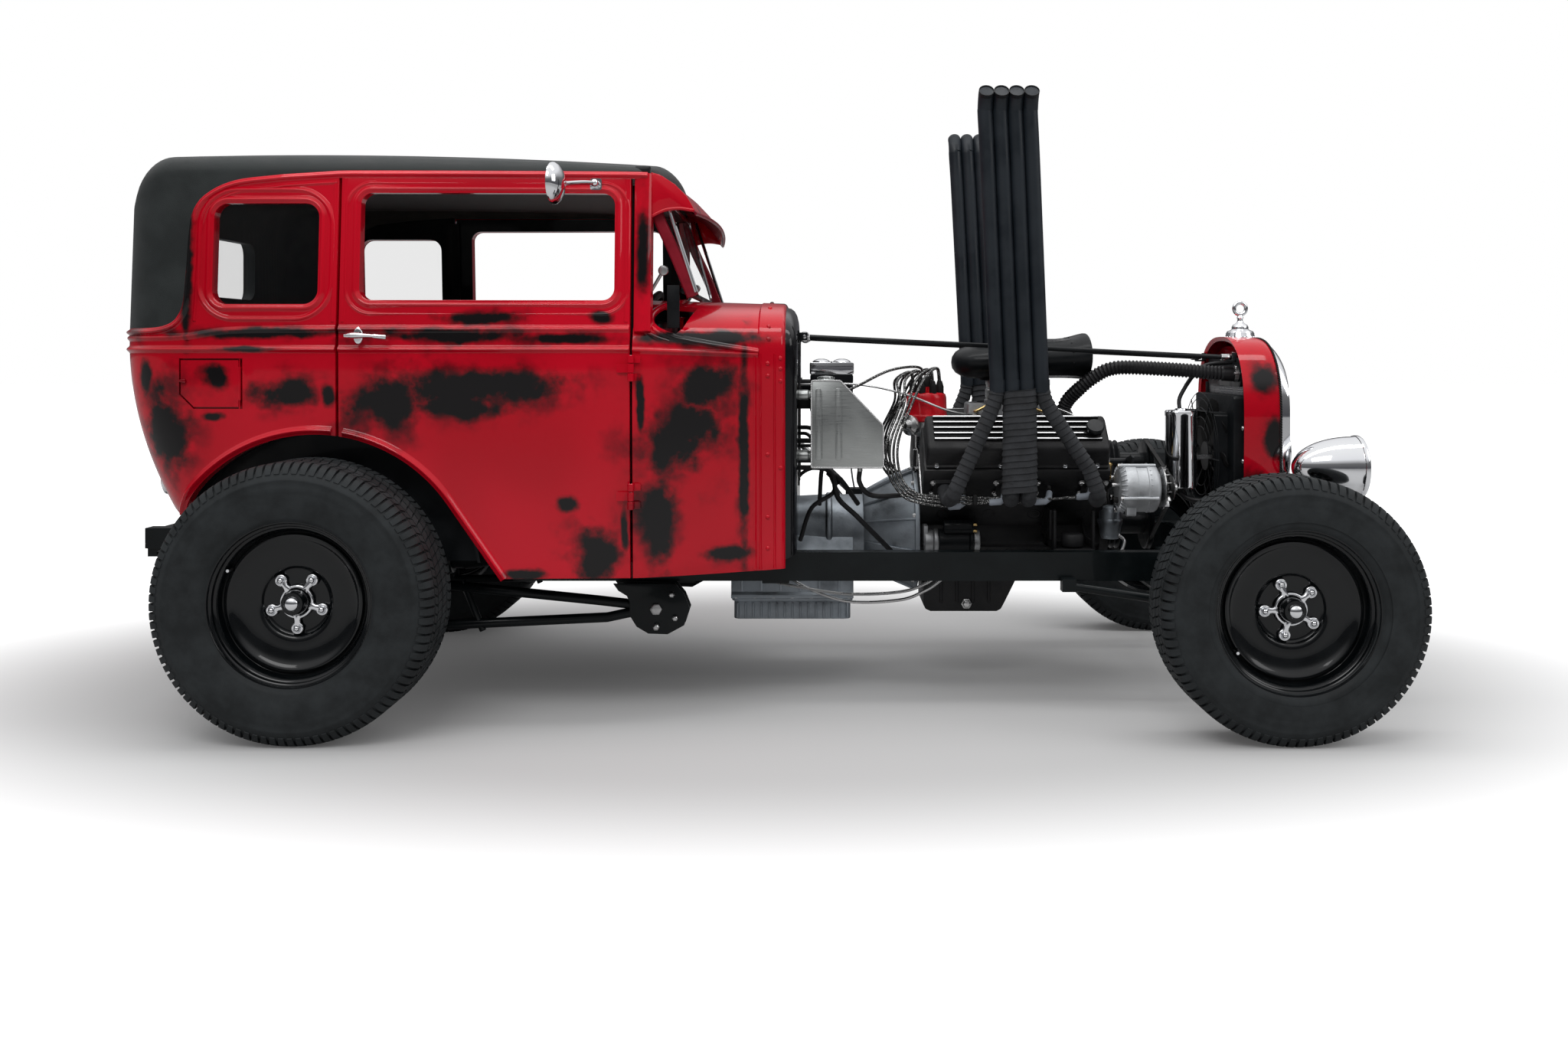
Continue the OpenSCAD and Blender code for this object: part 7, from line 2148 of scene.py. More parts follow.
def make_radiator():
    """Radiator core, tanks, shroud and canister."""
    s = Shape()
    s.prism(rounded(-0.205, 0.472, 0.205, 0.93, 0.006, 4), 1.49, 1.522, "x", 1)
    for m in (1, -1):
        s.box((1.48, m * 0.199 - 0.006, 0.47), (1.53, m * 0.199 + 0.006, 0.935))
    s.prism(rounded(-0.172, 0.925, 0.172, 1.014, 0.02, 6), 1.48, 1.532, "x")
    s.prism(rounded(-0.205, 0.47, 0.205, 0.505, 0.01, 4), 1.48, 1.532, "x")
    ring = []
    outer, inner = rounded(-0.208, 0.5, 0.208, 0.9, 0.014, 9), []
    for k in range(len(outer)):
        a = atan2(outer[k][1] - 0.7, outer[k][0])
        inner.append((0.202 * cos(a), 0.7 + 0.202 * sin(a)))
    for x, shape in ((1.483, outer), (1.455, outer),
            (1.448, [(p[0] * 0.99, 0.7 + (p[1] - 0.7) * 0.99) for p in outer]), (1.446, inner),
            (1.404, inner), (1.404, [(p[0] * 0.985, 0.7 + (p[1] - 0.7) * 0.985) for p in inner]),
            (1.45, [(p[0] * 0.985, 0.7 + (p[1] - 0.7) * 0.985) for p in inner]), (1.476, inner)):
        ring.append([(x, y, z) for y, z in shape])
    s.loft(ring, 0, caps=False)
    s.lathe([(0.0, 0.0), (0.046, 0.0), (0.046, -0.026), (0.04, -0.03), (0.0, -0.03)], (1.482, 0, 0.7),
        (1, 0, 0), 40)
    for k in range(3):
        a = TAU * k / 3 + 0.5
        s.tube([(1.466, 0.04 * cos(a), 0.7 + 0.04 * sin(a)), (1.462, 0.206 * cos(a), 0.7 + 0.206 * sin(a))],
               0.006, 10)
    for r in (0.095, 0.125, 0.155, 0.185, 0.203):
        s.lathe([(r - 0.0018, 0.0), (r, 0.0018), (r + 0.0018, 0.0), (r, -0.0018)], (1.404, 0, 0.7),
            (1, 0, 0), 64, 0, closed=True)
    for k in range(6):
        a = TAU * k / 6
        s.tube([(1.404, 0.095 * cos(a), 0.7 + 0.095 * sin(a)), (1.404, 0.206 * cos(a), 0.7 + 0.206 * sin(a))],
               0.002, 8)
    for m in (1, -1):
        s.box((1.482, m * 0.177 - 0.027, 0.457), (1.53, m * 0.177 + 0.027, 0.474))
    piece("radiator_set", s, [satin_black, steel], replaces="radiator", bevel=0.001)
    fins = Shape().box((-0.018, -0.193, -0.0006), (0.018, 0.193, 0.0006))
    rows = [((1.506, 0, 0.482 + 0.0075 * k), Euler((0, 0, 0))) for k in range(59)]
    repeat("radiator_fins", fins, rows, steel)
    c = Shape()
    can = [(0.0, 0.0), (0.04, 0.0), (0.047, 0.004), (0.0485, 0.01), (0.0485, 0.222), (0.05, 0.225),
        (0.05, 0.236), (0.047, 0.24), (0.02, 0.242), (0.018, 0.246), (0.0, 0.246)]
    c.lathe(can, (1.302, -0.15, 0.612), (0, 0, 1), 52)
    c.box((1.33, -0.128, 0.7), (1.406, -0.116, 0.712), 1)
    c.tube(smooth_path([(1.302, -0.15, 0.614), (1.302, -0.15, 0.595), (1.34, -0.17, 0.575),
        (1.44, -0.2, 0.57)], 6), 0.008, 12, 2)
    c.tube(smooth_path([(1.3, -0.138, 0.852), (1.31, -0.12, 0.9), (1.38, -0.1, 0.985), (1.48, -0.08, 1.0)],
        6), 0.0065, 12, 2)
    piece("overflow_canister", c, [bright, steel, hose_black])


def make_fan():
    """Fan hub and its pitched blades."""
    s = Shape()
    s.lathe([(0.0125, 0.0), (0.046, 0.0), (0.048, 0.003), (0.048, 0.022), (0.044, 0.026), (0.0, 0.026),
        (0.0, 0.01), (0.0125, 0.01)], (1.418, 0, 0.7), (1, 0, 0), 40)
    for k in range(10):
        a = TAU * k / 10
        rings = []
        for r, half, twist in ((0.044, 0.018, 34), (0.08, 0.024, 30), (0.13, 0.026, 25), (0.17, 0.025, 21),
                               (0.186, 0.021, 19), (0.1925, 0.012, 18)):
            t = radians(twist)
            ring = []
            for w, h in ((-half, -0.001), (0.0, -0.0035), (half, -0.001), (half, 0.0006), (0.0, -0.0012),
                    (-half, 0.0006)):
                dx = w * sin(t) + h * cos(t)
                dt = w * cos(t) - h * sin(t)
                ring.append((1.432 + dx, r * cos(a) - dt * sin(a), 0.7 + r * sin(a) + dt * cos(a)))
            rings.append(ring)
        s.loft(rings)
    piece("fan_rotor", s, [plastic_black], "fan", replaces="fan")


def make_hose():
    """Ribbed upper hose with its clamps."""
    path = smooth_path([(0.955, -0.04, 0.812), (0.956, -0.041, 0.845), (0.968, -0.056, 0.88),
        (1.0, -0.092, 0.92), (1.04, -0.112, 0.955), (1.085, -0.124, 0.979), (1.15, -0.131, 0.985),
        (1.3, -0.14, 0.977), (1.43, -0.148, 0.966), (1.486, -0.15, 0.962)], 12)
    points = spaced(path, 0.0022)
    radii = []
    total = len(points)
    for k in range(total):
        if k < 14 or k > total - 26:
            radii.append(0.0222)
        else:
            radii.append(0.0208 + 0.0022 * cos(TAU * (k % 5) / 5))
    s = Shape().tube(points, radii, 26)
    piece("corrugated_hose", s, [hose_black], replaces="radiator_hose", angle=60)
    c = Shape()
    for i in (6, total - 8):
        p = points[i]
        way = (points[min(i + 1, total - 1)] - points[i - 1]).normalized()
        c.lathe([(0.0222, -0.006), (0.0236, -0.006), (0.0236, 0.006), (0.0222, 0.006)], tuple(p),
            tuple(way), 36, closed=True)
        c.tube([p + Vector((0.006, -0.026, 0.004)), p + Vector((-0.012, -0.026, 0.004))], 0.0042, 6)
    piece("hose_clamps", c, [steel])


SHELL_MIDDLE = 0.7


def shell_ring(x, inset, top, steps=34):
    """Half-round outline of the radiator shell at one x."""
    w, h = 0.25 - inset, top - inset - 0.83
    side = [(w - 0.026, 0.447 + inset), (w - 0.022, 0.48 + inset * 0.8), (w - 0.013, 0.56),
        (w - 0.004, 0.66), (w - 0.001, 0.76)]
    arc = []
    for k in range(steps + 1):
        a = pi * k / steps
        c = cos(a)
        arc.append(((1 if c >= 0 else -1) * w * abs(c) ** 0.8, 0.83 + h * sin(a) ** 0.8))
    return [(x, y, z) for y, z in side + arc + [(-y, z) for y, z in reversed(side)]]


def nose(angle, inset=0.0):
    """Outline of the shell where its front edge has rolled over by an angle."""
    b = radians(angle)
    drop = 1 - cos(b)
    return shell_ring(1.552 + 0.06 * sin(b), inset + 0.006 * drop, 1.082 - 0.06 * drop)


def drawn_in(ring, move, narrow):
    """A ring of the shell moved along x and shrunk toward the middle of the shell."""
    return [(x + move, y * narrow, SHELL_MIDDLE + (z - SHELL_MIDDLE) * narrow) for x, y, z in ring]


def make_shell():
    """Red grille shell with its bright surround, bars, beaded rope, bolts and cap."""
    s = Shape()
    rings = [shell_ring(1.472, 0.013, 1.082), shell_ring(1.467, 0.003, 1.082),
        shell_ring(1.4665, 0.0, 1.082), shell_ring(1.48, 0.0, 1.082), shell_ring(1.52, 0.0, 1.082),
        shell_ring(1.552, 0.0, 1.082), nose(8), nose(16), nose(24), nose(25.5, 0.0015)]
    rings.append(drawn_in(rings[-1], -0.002, 0.955))
    rings.append([(1.5, y * 0.955, SHELL_MIDDLE + (z - SHELL_MIDDLE) * 0.94) for _, y, z in rings[-2]])
    s.loft(rings, 0, closed=True, caps=False)
    piece("grille_shell", s, [paint], replaces="radiator_shell", angle=30)
    c = Shape()
    rings = [drawn_in(nose(27), -0.001, 0.975), nose(27, 0.001), nose(29)]
    rings += [nose(b) for b in (36, 44, 52, 60, 67)]
    last = rings[-1]
    for move, narrow in ((0.001, 0.985), (-0.001, 0.965), (-0.01, 0.957), (-0.026, 0.955)):
        rings.append(drawn_in(last, move, narrow))
    c.loft(rings, 0, closed=True, caps=False)
    piece("grille_surround", c, [bright], angle=50)
    bars = Shape()
    for k in range(-10, 11):
        y = 0.0195 * k
        top = 0.83 + 0.186 * max(0.0, 1 - (abs(y) / 0.222) ** 1.25) ** 0.8
        bars.prism(rounded(y - 0.0022, 0.47, y + 0.0022, top, 0.002, 2), 1.586, 1.6, "x")
    for z in (0.56, 0.76, 0.92):
        bars.tube([(1.584, -0.205, z), (1.584, 0.205, z)], 0.003, 8)
    piece("grille_bars", bars, [steel], bevel=0.0005)
    seam = spaced(nose(26), 0.0022)
    rope = Shape()
    for i in range(2):
        path = []
        for k, p in enumerate(seam):
            a = TAU * k / 7 + pi * i
            out = Vector((0, p.y, p.z - 0.75)).normalized()
            path.append(p + out * (0.0014 + 0.0022 * cos(a)) + Vector((0.0022 * sin(a), 0, 0)))
        rope.tube(path, 0.0021, 7)
    piece("shell_rope", rope, [seal_black], angle=60)
    bolts = []
    for z in (0.5, 0.6, 0.7, 0.8):
        for m in (1, -1):
            bolts.append(((1.4665, m * 0.236, z), (-1, 0, 0)))
    for m in (1, -1):
        bolts.append(((1.4665, m * 0.165, 0.985), (-1, 0, 0)))
    repeat("shell_bolts", dome(0.008, 0.005), bolts, steel)
    cap = Shape()
    rim = [(0.0, 0.0), (0.04, 0.0), (0.0465, 0.004), (0.0465, 0.011), (0.044, 0.015), (0.044, 0.02),
        (0.04, 0.027), (0.03, 0.031), (0.026, 0.034), (0.026, 0.041), (0.022, 0.048), (0.013, 0.053),
        (0.0085, 0.06), (0.0085, 0.066), (0.0105, 0.07), (0.0085, 0.075), (0.006, 0.08), (0.0, 0.081)]
    cap.lathe(rim, (1.532, 0, 1.0725), (0, 0, 1), 56)
    for k in range(24):
        a = TAU * k / 24
        cap.ball((1.532 + 0.0462 * cos(a), 0.0462 * sin(a), 1.08), (0.0026, 0.0026, 0.004), 0, 8, 6)
    ring = [(0.019 + 0.0062 * cos(TAU * k / 16), 0.0062 * sin(TAU * k / 16)) for k in range(16)]
    cap.lathe(ring, (1.532, 0, 1.1722), (0, 1, 0), 48, closed=True)
    piece("shell_cap", cap, [bright], replaces="radiator_cap")


def make_stays():
    """Two stays from the firewall to the shell."""
    s = Shape()
    for m in (1, -1):
        s.tube([(0.122, m * 0.25, 1.08), (1.453, m * 0.164, 1.016)], 0.0072, 18)
        for f in (0.012, 0.985):
            x, y, z = 0.122 + 1.331 * f, 0.25 - 0.086 * f, 1.08 - 0.064 * f
            s.tube([(x - 0.012, m * y, z), (x + 0.012, m * y, z - 0.0004)], 0.0115, 6, 1)
        s.lathe([(0.006, -0.009), (0.014, -0.009), (0.016, 0.0), (0.014, 0.009), (0.006, 0.009)],
            (0.134, m * 0.25, 1.079), (0, 1, 0), 28, 1, closed=True)
        s.tube([(0.134, m * 0.234, 1.079), (0.134, m * 0.266, 1.079)], 0.006, 12, 1)
        s.prism([(m * 0.232, 1.06), (m * 0.232, 1.098), (m * 0.268, 1.098), (m * 0.268, 1.06)], 0.1145,
            0.1185, "x")
        s.box((0.117, m * 0.236 - 0.002, 1.068), (0.143, m * 0.236 + 0.001, 1.092))
        s.box((0.117, m * 0.264 - 0.001, 1.068), (0.143, m * 0.264 + 0.002, 1.092))
        s.box((1.436, m * 0.164 - 0.014, 1.002), (1.465, m * 0.164 + 0.014, 1.008))
        s.box((1.459, m * 0.164 - 0.014, 1.002), (1.466, m * 0.164 + 0.014, 1.03))
    piece("stay_rods", s, [satin_black, steel], replaces="support_rods", bevel=0.0008)


def make_tank():
    """Folded aluminium tank on its stand-offs, brake reservoir and ignition box."""
    s = Shape()
    outline = [(0.155, 0.692), (0.16, 0.69), (0.364, 0.69), (0.368, 0.694), (0.368, 0.812), (0.366, 0.817),
               (0.242, 0.946), (0.238, 0.948), (0.159, 0.948), (0.155, 0.944)]
    s.prism(outline, -0.345, -0.265, "y")
    for x in (0.176, 0.235):
        s.prism(rounded(x - 0.009, 0.712, x + 0.009, 0.926, 0.0085, 6), -0.352, -0.258, "y")
    weld = spaced([Vector((x, -0.345, z)) for x, z in outline], 0.0042, closed=True)
    s2 = Shape()
    for p in weld:
        s2.ball((p.x, p.y, p.z), (0.003, 0.0024, 0.003), 0, 8, 5)
    for z in (0.725, 0.905):
        for y in (-0.328, -0.28):
            s.lathe([(0.0, 0.0), (0.014, 0.0), (0.014, 0.03), (0.011, 0.032), (0.011, 0.04), (0.0, 0.04)],
                    (0.115, y, z), (1, 0, 0), 28)
    s.lathe([(0.0, 0.0), (0.026, 0.0), (0.026, 0.006), (0.022, 0.008), (0.022, 0.016), (0.0, 0.018)],
        (0.198, -0.305, 0.944), (0, 0, 1), 40)
    for k in range(20):
        a = TAU * k / 20
        s.box((0.198 + 0.0255 * cos(a) - 0.001, -0.305 + 0.0255 * sin(a) - 0.001, 0.951),
              (0.198 + 0.0255 * cos(a) + 0.001, -0.305 + 0.0255 * sin(a) + 0.001, 0.958))
    s.tube([(0.3, -0.305, 0.69), (0.3, -0.305, 0.676)], 0.008, 14)
    s.tube(smooth_path([(0.3, -0.305, 0.684), (0.3, -0.3, 0.64), (0.34, -0.27, 0.6), (0.46, -0.24, 0.6)],
        6), 0.0075, 12, 1)
    piece("coolant_tank_shell", s, [sheet_alloy, hose_black], replaces="coolant_tank",
        bevel=0.0012)
    piece("tank_weld", s2, [steel])
    b = Shape()
    b.prism(rounded(0.15, 0.925, 0.296, 0.96, 0.01, 5), 0.254, 0.346, "y", 1)
    b.prism(rounded(0.148, 0.957, 0.298, 0.998, 0.006, 4), 0.252, 0.348, "y")
    for x in (0.188, 0.258):
        b.ball((x, 0.3, 0.997), (0.031, 0.04, 0.014), 0, 28, 10)
    b.tube([(0.223, 0.252, 0.999), (0.223, 0.348, 0.999)], 0.0035, 10)
    b.lathe([(0.0, 0.0), (0.03, 0.0), (0.03, 0.17), (0.026, 0.18), (0.0, 0.18)], (0.116, 0.3, 0.91),
        (1, 0, 0), 36, 1)
    b.prism(rounded(0.255, 0.88, 0.345, 0.945, 0.016, 6), 0.114, 0.122, "x", 1)
    for x in (0.175, 0.245):
        b.tube([(x, 0.272, 0.915), (x, 0.25, 0.915)], 0.009, 6, 2)
        b.tube(smooth_path([(x, 0.25, 0.915), (x + 0.01, 0.225, 0.9), (x + 0.03, 0.23, 0.8),
            (x + 0.05, 0.3, 0.6), (0.33, 0.345, 0.46)], 7), 0.0032, 8, 3)
    piece("brake_reservoir", b, [bright, satin_black, brass, steel], replaces="brake_master",
        bevel=0.001)
    e = Shape()
    e.prism(rounded(0.15, 0.85, 0.235, 0.925, 0.008, 4), -0.235, -0.165, "y", 0)
    e.prism(rounded(0.17, 0.895, 0.25, 0.915, 0.006, 4), -0.215, -0.185, "y", 0)
    e.lathe([(0.0, 0.0), (0.013, 0.0), (0.013, 0.014), (0.009, 0.02), (0.0, 0.021)], (0.235, -0.2, 0.895),
        (1, 0, 0), 20, 1)
    e.lathe([(0.0, 0.0), (0.012, 0.0), (0.012, 0.012), (0.0, 0.013)], (0.215, -0.2, 0.924), (0, 0, 1), 20, 2)
    e.box((0.114, -0.225, 0.86), (0.152, -0.175, 0.915), 0)
    piece("ignition_box", e, [plastic_black, steel, cap_red], bevel=0.001)


def make_headlights():
    """Bullet headlights on curved arms."""
    s = Shape()
    for m in (1, -1):
        cy, cz = m * 0.33, 0.69
        shell = [(0.0, -0.1815)] + [(0.092 * sin(radians(a)), -0.182 * cos(radians(a)))
                                    for a in range(6, 91, 6)]
        shell += [(0.0925, 0.001), (0.095, 0.002), (0.0955, 0.006), (0.0955, 0.012), (0.093, 0.016),
            (0.0875, 0.0175), (0.085, 0.015), (0.0845, 0.01)]
        inner = [(0.0845, 0.004), (0.07, -0.03), (0.045, -0.055), (0.018, -0.066), (0.0, -0.068)]
        s.lathe(shell + inner, (1.765, cy, cz), (1, 0, 0), 60, 0)
        glass_face = [(0.0, 0.0215), (0.03, 0.0205), (0.06, 0.0175), (0.08, 0.013), (0.085, 0.01),
            (0.085, 0.008), (0.06, 0.014), (0.03, 0.017), (0.0, 0.018)]
        s.lathe(glass_face, (1.765, cy, cz), (1, 0, 0), 48, 1)
        s.lathe([(0.0, 0.0), (0.01, 0.0), (0.012, 0.006), (0.01, 0.02), (0.0, 0.026)], (1.704, cy, cz),
            (1, 0, 0), 20, 1)
        s.lathe([(0.0, 0.0), (0.028, 0.0), (0.03, 0.006), (0.018, 0.02), (0.014, 0.034), (0.0, 0.034)],
                (1.7, cy, 0.572), (0, 0, 1), 32, 0)
        s.lathe([(0.01, -0.014), (0.019, -0.014), (0.022, 0.0), (0.019, 0.014), (0.01, 0.014)],
            (1.7, cy, 0.56), (0, 1, 0), 28, 0, closed=True)
        s.tube(smooth_path([(1.59, m * 0.355, 0.446), (1.59, m * 0.355, 0.468), (1.606, m * 0.352, 0.478),
                            (1.65, m * 0.341, 0.479), (1.688, m * 0.332, 0.482), (1.7, m * 0.33, 0.498),
                            (1.7, m * 0.33, 0.575)], 6), 0.0125, 18, 2)
        s.prism(rounded(1.56, m * 0.355 - 0.022, 1.619, m * 0.355 + 0.022, 0.008, 4), 0.4452, 0.45, "z", 2)
    piece("headlamp_set", s, [bright, lamp_glass, satin_black], replaces="headlights")


def make_hardware():
    """Door handles and mirrors, riding on the doors."""
    for side, m in (("right", -1), ("left", 1)):
        body = "door_" + side
        y = m * side_y(-1.083, 1.077)
        s = Shape()
        plate = []
        for d, k in ((0.0, 1.0), (0.003, 1.0), (0.0055, 0.9), (0.0065, 0.72)):
            plate.append([(-1.083 + 0.0135 * k * cos(TAU * q / 36), y + m * d,
                1.077 + 0.024 * k * sin(TAU * q / 36)) for q in range(36)])
        s.loft(plate)
        s.tube([(-1.083, y + m * 0.004, 1.077), (-1.083, y + m * 0.016, 1.077),
            (-1.083, y + m * 0.024, 1.077)], [0.0095, 0.0075, 0.0085], 20)
        grip = smooth_path([(-1.11, y + m * 0.031, 1.0765), (-1.095, y + m * 0.034, 1.077),
            (-1.07, y + m * 0.033, 1.077), (-1.04, y + m * 0.03, 1.076), (-1.016, y + m * 0.026, 1.0735),
            (-1.004, y + m * 0.02, 1.0725)], 6)
        n = len(grip)
        s.tube(grip, [0.0052 + 0.0032 * sin(pi * min(1, (k + 1) / (n * 0.62))) ** 2 if k < n * 0.62 else
                      0.0058 + 0.0016 * (k / n) for k in range(n)], 18)
        s.lathe([(0.0, 0.0), (0.0042, 0.0), (0.0036, 0.002), (0.0, 0.0028)],
            (-1.083, y + m * 0.0385, 1.077), (0, m, 0), 14)
        edge = m * side_y(-0.44, 1.495)
        s.prism(rounded(-0.456, 1.48, -0.424, 1.512, 0.006, 4), edge - m * 0.001, edge + m * 0.008, "y")
        s.tube([(-0.44, edge + m * 0.006, 1.497), (-0.44, edge + m * 0.03, 1.497)], 0.0085, 20)
        s.ball((-0.44, edge + m * 0.032, 1.497), 0.0105, 0, 18, 10)
        s.tube(smooth_path([(-0.44, edge + m * 0.032, 1.497), (-0.465, m * 0.672, 1.494),
            (-0.495, m * 0.712, 1.487), (-0.51, m * 0.738, 1.482)], 5), 0.0058, 14)
        mirror_back = [(0.0, -0.022), (0.012, -0.022), (0.02, -0.02), (0.034, -0.015), (0.048, -0.007),
            (0.0555, 0.002), (0.0565, 0.006), (0.056, 0.01), (0.053, 0.0115), (0.0515, 0.0095),
            (0.051, 0.0075)]
        s.lathe(mirror_back, (-0.522, m * 0.76, 1.481), (-0.94, m * -0.16, 0), 48)
        s.lathe([(0.0, 0.0068), (0.0512, 0.0068), (0.0512, 0.0075), (0.0, 0.008)], (-0.522, m * 0.76, 1.481),
                (-0.94, m * -0.16, 0), 40, 1)
        s.ball((-0.506, m * 0.745, 1.482), 0.01, 0, 16, 10)
        piece("hardware_" + side, s, [bright, steel], body, replaces="door_hardware_" + side,
            angle=40)
        heads = [((-0.448, edge + m * 0.008, 1.504), (0, m, 0)),
            ((-0.432, edge + m * 0.008, 1.488), (0, m, 0))]
        repeat("hardware_screws_" + side, dome(0.0032, 0.0018), heads, steel, body)


# ---------------------------------------------------------------- inside

WHEEL_HUB = Vector((-0.455, 0.33, 1.085))
TILT = radians(60)


def column_at(d):
    """A point along the slanted steering column."""
    return WHEEL_HUB + Vector((d * sin(TILT), 0, -d * cos(TILT)))


def make_steering():
    """Steering column, wheel, spokes and horn button."""
    s = Shape()
    s.tube([column_at(0.035), column_at(0.56)], 0.019, 24)
    s.lathe([(0.0, 0.0), (0.019, 0.0), (0.03, 0.01), (0.031, 0.06), (0.024, 0.075), (0.0, 0.075)],
        tuple(column_at(0.03)), (sin(TILT), 0, -cos(TILT)), 32)
    s.tube([column_at(-0.012), column_at(0.034)], 0.0094, 16, 1)
    top, foot = column_at(0.54), Vector((0.3, 0.33, 0.54))
    s.tube([top, foot], 0.0098, 16, 1)
    s.tube([top.lerp(foot, 0.06), top.lerp(foot, 0.22)], 0.0155, 20)
    s.tube([top.lerp(foot, 0.7), top.lerp(foot, 0.84)], 0.0155, 20)
    s.prism(rounded(0.272, 0.446, 0.348, 0.566, 0.012, 4), 0.287, 0.343, "y")
    s.lathe([(0.0, 0.0), (0.026, 0.0), (0.026, 0.02), (0.016, 0.026), (0.0, 0.026)], (0.31, 0.34, 0.48),
        (0, 1, 0), 30)
    s.tube([(0.31, 0.36, 0.48), (0.31, 0.396, 0.48)], 0.0135, 20, 1)
    s.prism([(0.298, 0.486), (0.322, 0.486), (0.32, 0.376), (0.3, 0.376)], 0.384, 0.396, "y")
    s.box((-0.318, 0.322, 0.99), (-0.302, 0.338, 1.06))
    s.tube(smooth_path([column_at(0.075) + Vector((0, 0.022, 0)),
        column_at(0.07) + Vector((-0.01, 0.08, 0.015)), column_at(0.06) + Vector((-0.03, 0.135, 0.03))], 5),
        0.0042, 10, 1)
    piece("steering_shaft", s, [satin_black, steel], replaces="steering_column",
        bevel=0.001)
    w = Shape()
    turn = Euler((0, -TILT, 0)).to_matrix()
    rim = [(0.17 + 0.0128 * cos(TAU * k / 20), 0.0128 * sin(TAU * k / 20)) for k in range(20)]
    w.lathe(rim, (0, 0, 0), (0, 0, 1), 96, closed=True)
    for k in range(4):
        a = radians(45 + 90 * k)
        for off in (-0.008, 0.0, 0.008):
            side = Vector((-sin(a), cos(a), 0)) * off
            reach = Vector((cos(a), sin(a), 0))
            w.tube([reach * 0.026 + side + Vector((0, 0, -0.008)),
                reach * 0.1 + side + Vector((0, 0, -0.006)), reach * 0.162 + side], 0.0026, 10, 1)
    w.lathe([(0.01, -0.016), (0.03, -0.016), (0.033, -0.008), (0.033, 0.004), (0.029, 0.012), (0.02, 0.017),
        (0.0, 0.018), (0.0, 0.013), (0.01, 0.013)], (0, 0, 0), (0, 0, 1), 40, 0)
    for k in range(48):
        a = TAU * k / 48
        w.ball((0.1595 * cos(a), 0.1595 * sin(a), -0.0052), (0.0042, 0.0042, 0.0042), 0, 8, 6)
    w.moved(lambda p: turn @ p + WHEEL_HUB)
    piece("steering_rim", w, [plastic_black, steel], "steering_wheel", replaces="steering_wheel",
        angle=40)


def make_dash():
    """Dashboard with its gauges, and the pedals and lever."""
    s = Shape()
    s.prism(rounded(-0.43, 1.045, 0.43, 1.13, 0.012, 5), -0.334, -0.318, "x")
    for m in (1, -1):
        s.box((-0.318, m * 0.415 - 0.015, 1.045), (-0.25, m * 0.415 + 0.015, 1.1))
    s.tube([(-0.336, -0.425, 1.052), (-0.336, 0.425, 1.052)], 0.004, 10, 1)
    s.prism(rounded(-0.11, 1.056, 0.11, 1.122, 0.02, 6), -0.338, -0.333, "x", 1)
    for y in (-0.072, 0.0, 0.072):
        s.lathe([(0.0, 0.001), (0.026, 0.001), (0.027, 0.003), (0.0295, 0.004), (0.03, 0.001), (0.03, -0.002),
                 (0.0, -0.002)], (-0.3385, y, 1.089), (-1, 0, 0), 40, 2)
        s.lathe([(0.0, 0.0), (0.026, 0.0), (0.026, 0.0012), (0.0, 0.0014)], (-0.339, y, 1.089), (-1, 0, 0),
            36, 3)
        s.box((-0.3412, y - 0.0008, 1.089), (-0.3405, y + 0.0008, 1.11), 1)
    for k in range(5):
        s.lathe([(0.0, 0.0), (0.004, 0.0), (0.004, 0.01), (0.007, 0.012), (0.007, 0.018), (0.0, 0.019)],
                (-0.334, 0.16 + 0.035 * k - (0.5 if k > 2 else 0), 1.066), (-1, 0, 0), 18, 1)
    piece("dash_panel", s, [shaded_red, steel, bright, satin_black], replaces="dashboard",
        bevel=0.0012)
    p = Shape()
    for x, y, z, w in ((-0.1, 0.36, 0.6, 0.028), (-0.1, 0.27, 0.6, 0.034), (-0.12, 0.165, 0.58, 0.02)):
        p.prism(rounded(y - w, z - 0.03, y + w, z + 0.03, 0.008, 4), x, x + 0.008, "x", 1)
        p.tube(smooth_path([(x + 0.008, y, z), (x + 0.06, y, z + 0.02), (x + 0.12, y, z + 0.12),
            (x + 0.14, y, z + 0.24)], 5), 0.006, 12)
    p.tube(smooth_path([(-0.22, 0.0, 0.575), (-0.23, 0.0, 0.64), (-0.3, 0.0, 0.76), (-0.34, 0.0, 0.84)], 6),
        0.007, 14, 2)
    p.ball((-0.343, 0, 0.852), (0.022, 0.022, 0.022), 3, 24, 14)
    p.lathe([(0.0, 0.0), (0.055, 0.0), (0.045, 0.012), (0.02, 0.05), (0.0, 0.054)], (-0.22, 0, 0.572),
        (0, 0, 1), 32, 1)
    piece("pedals_and_lever", p, [steel, seal_black, bright, cap_red], bevel=0.001)


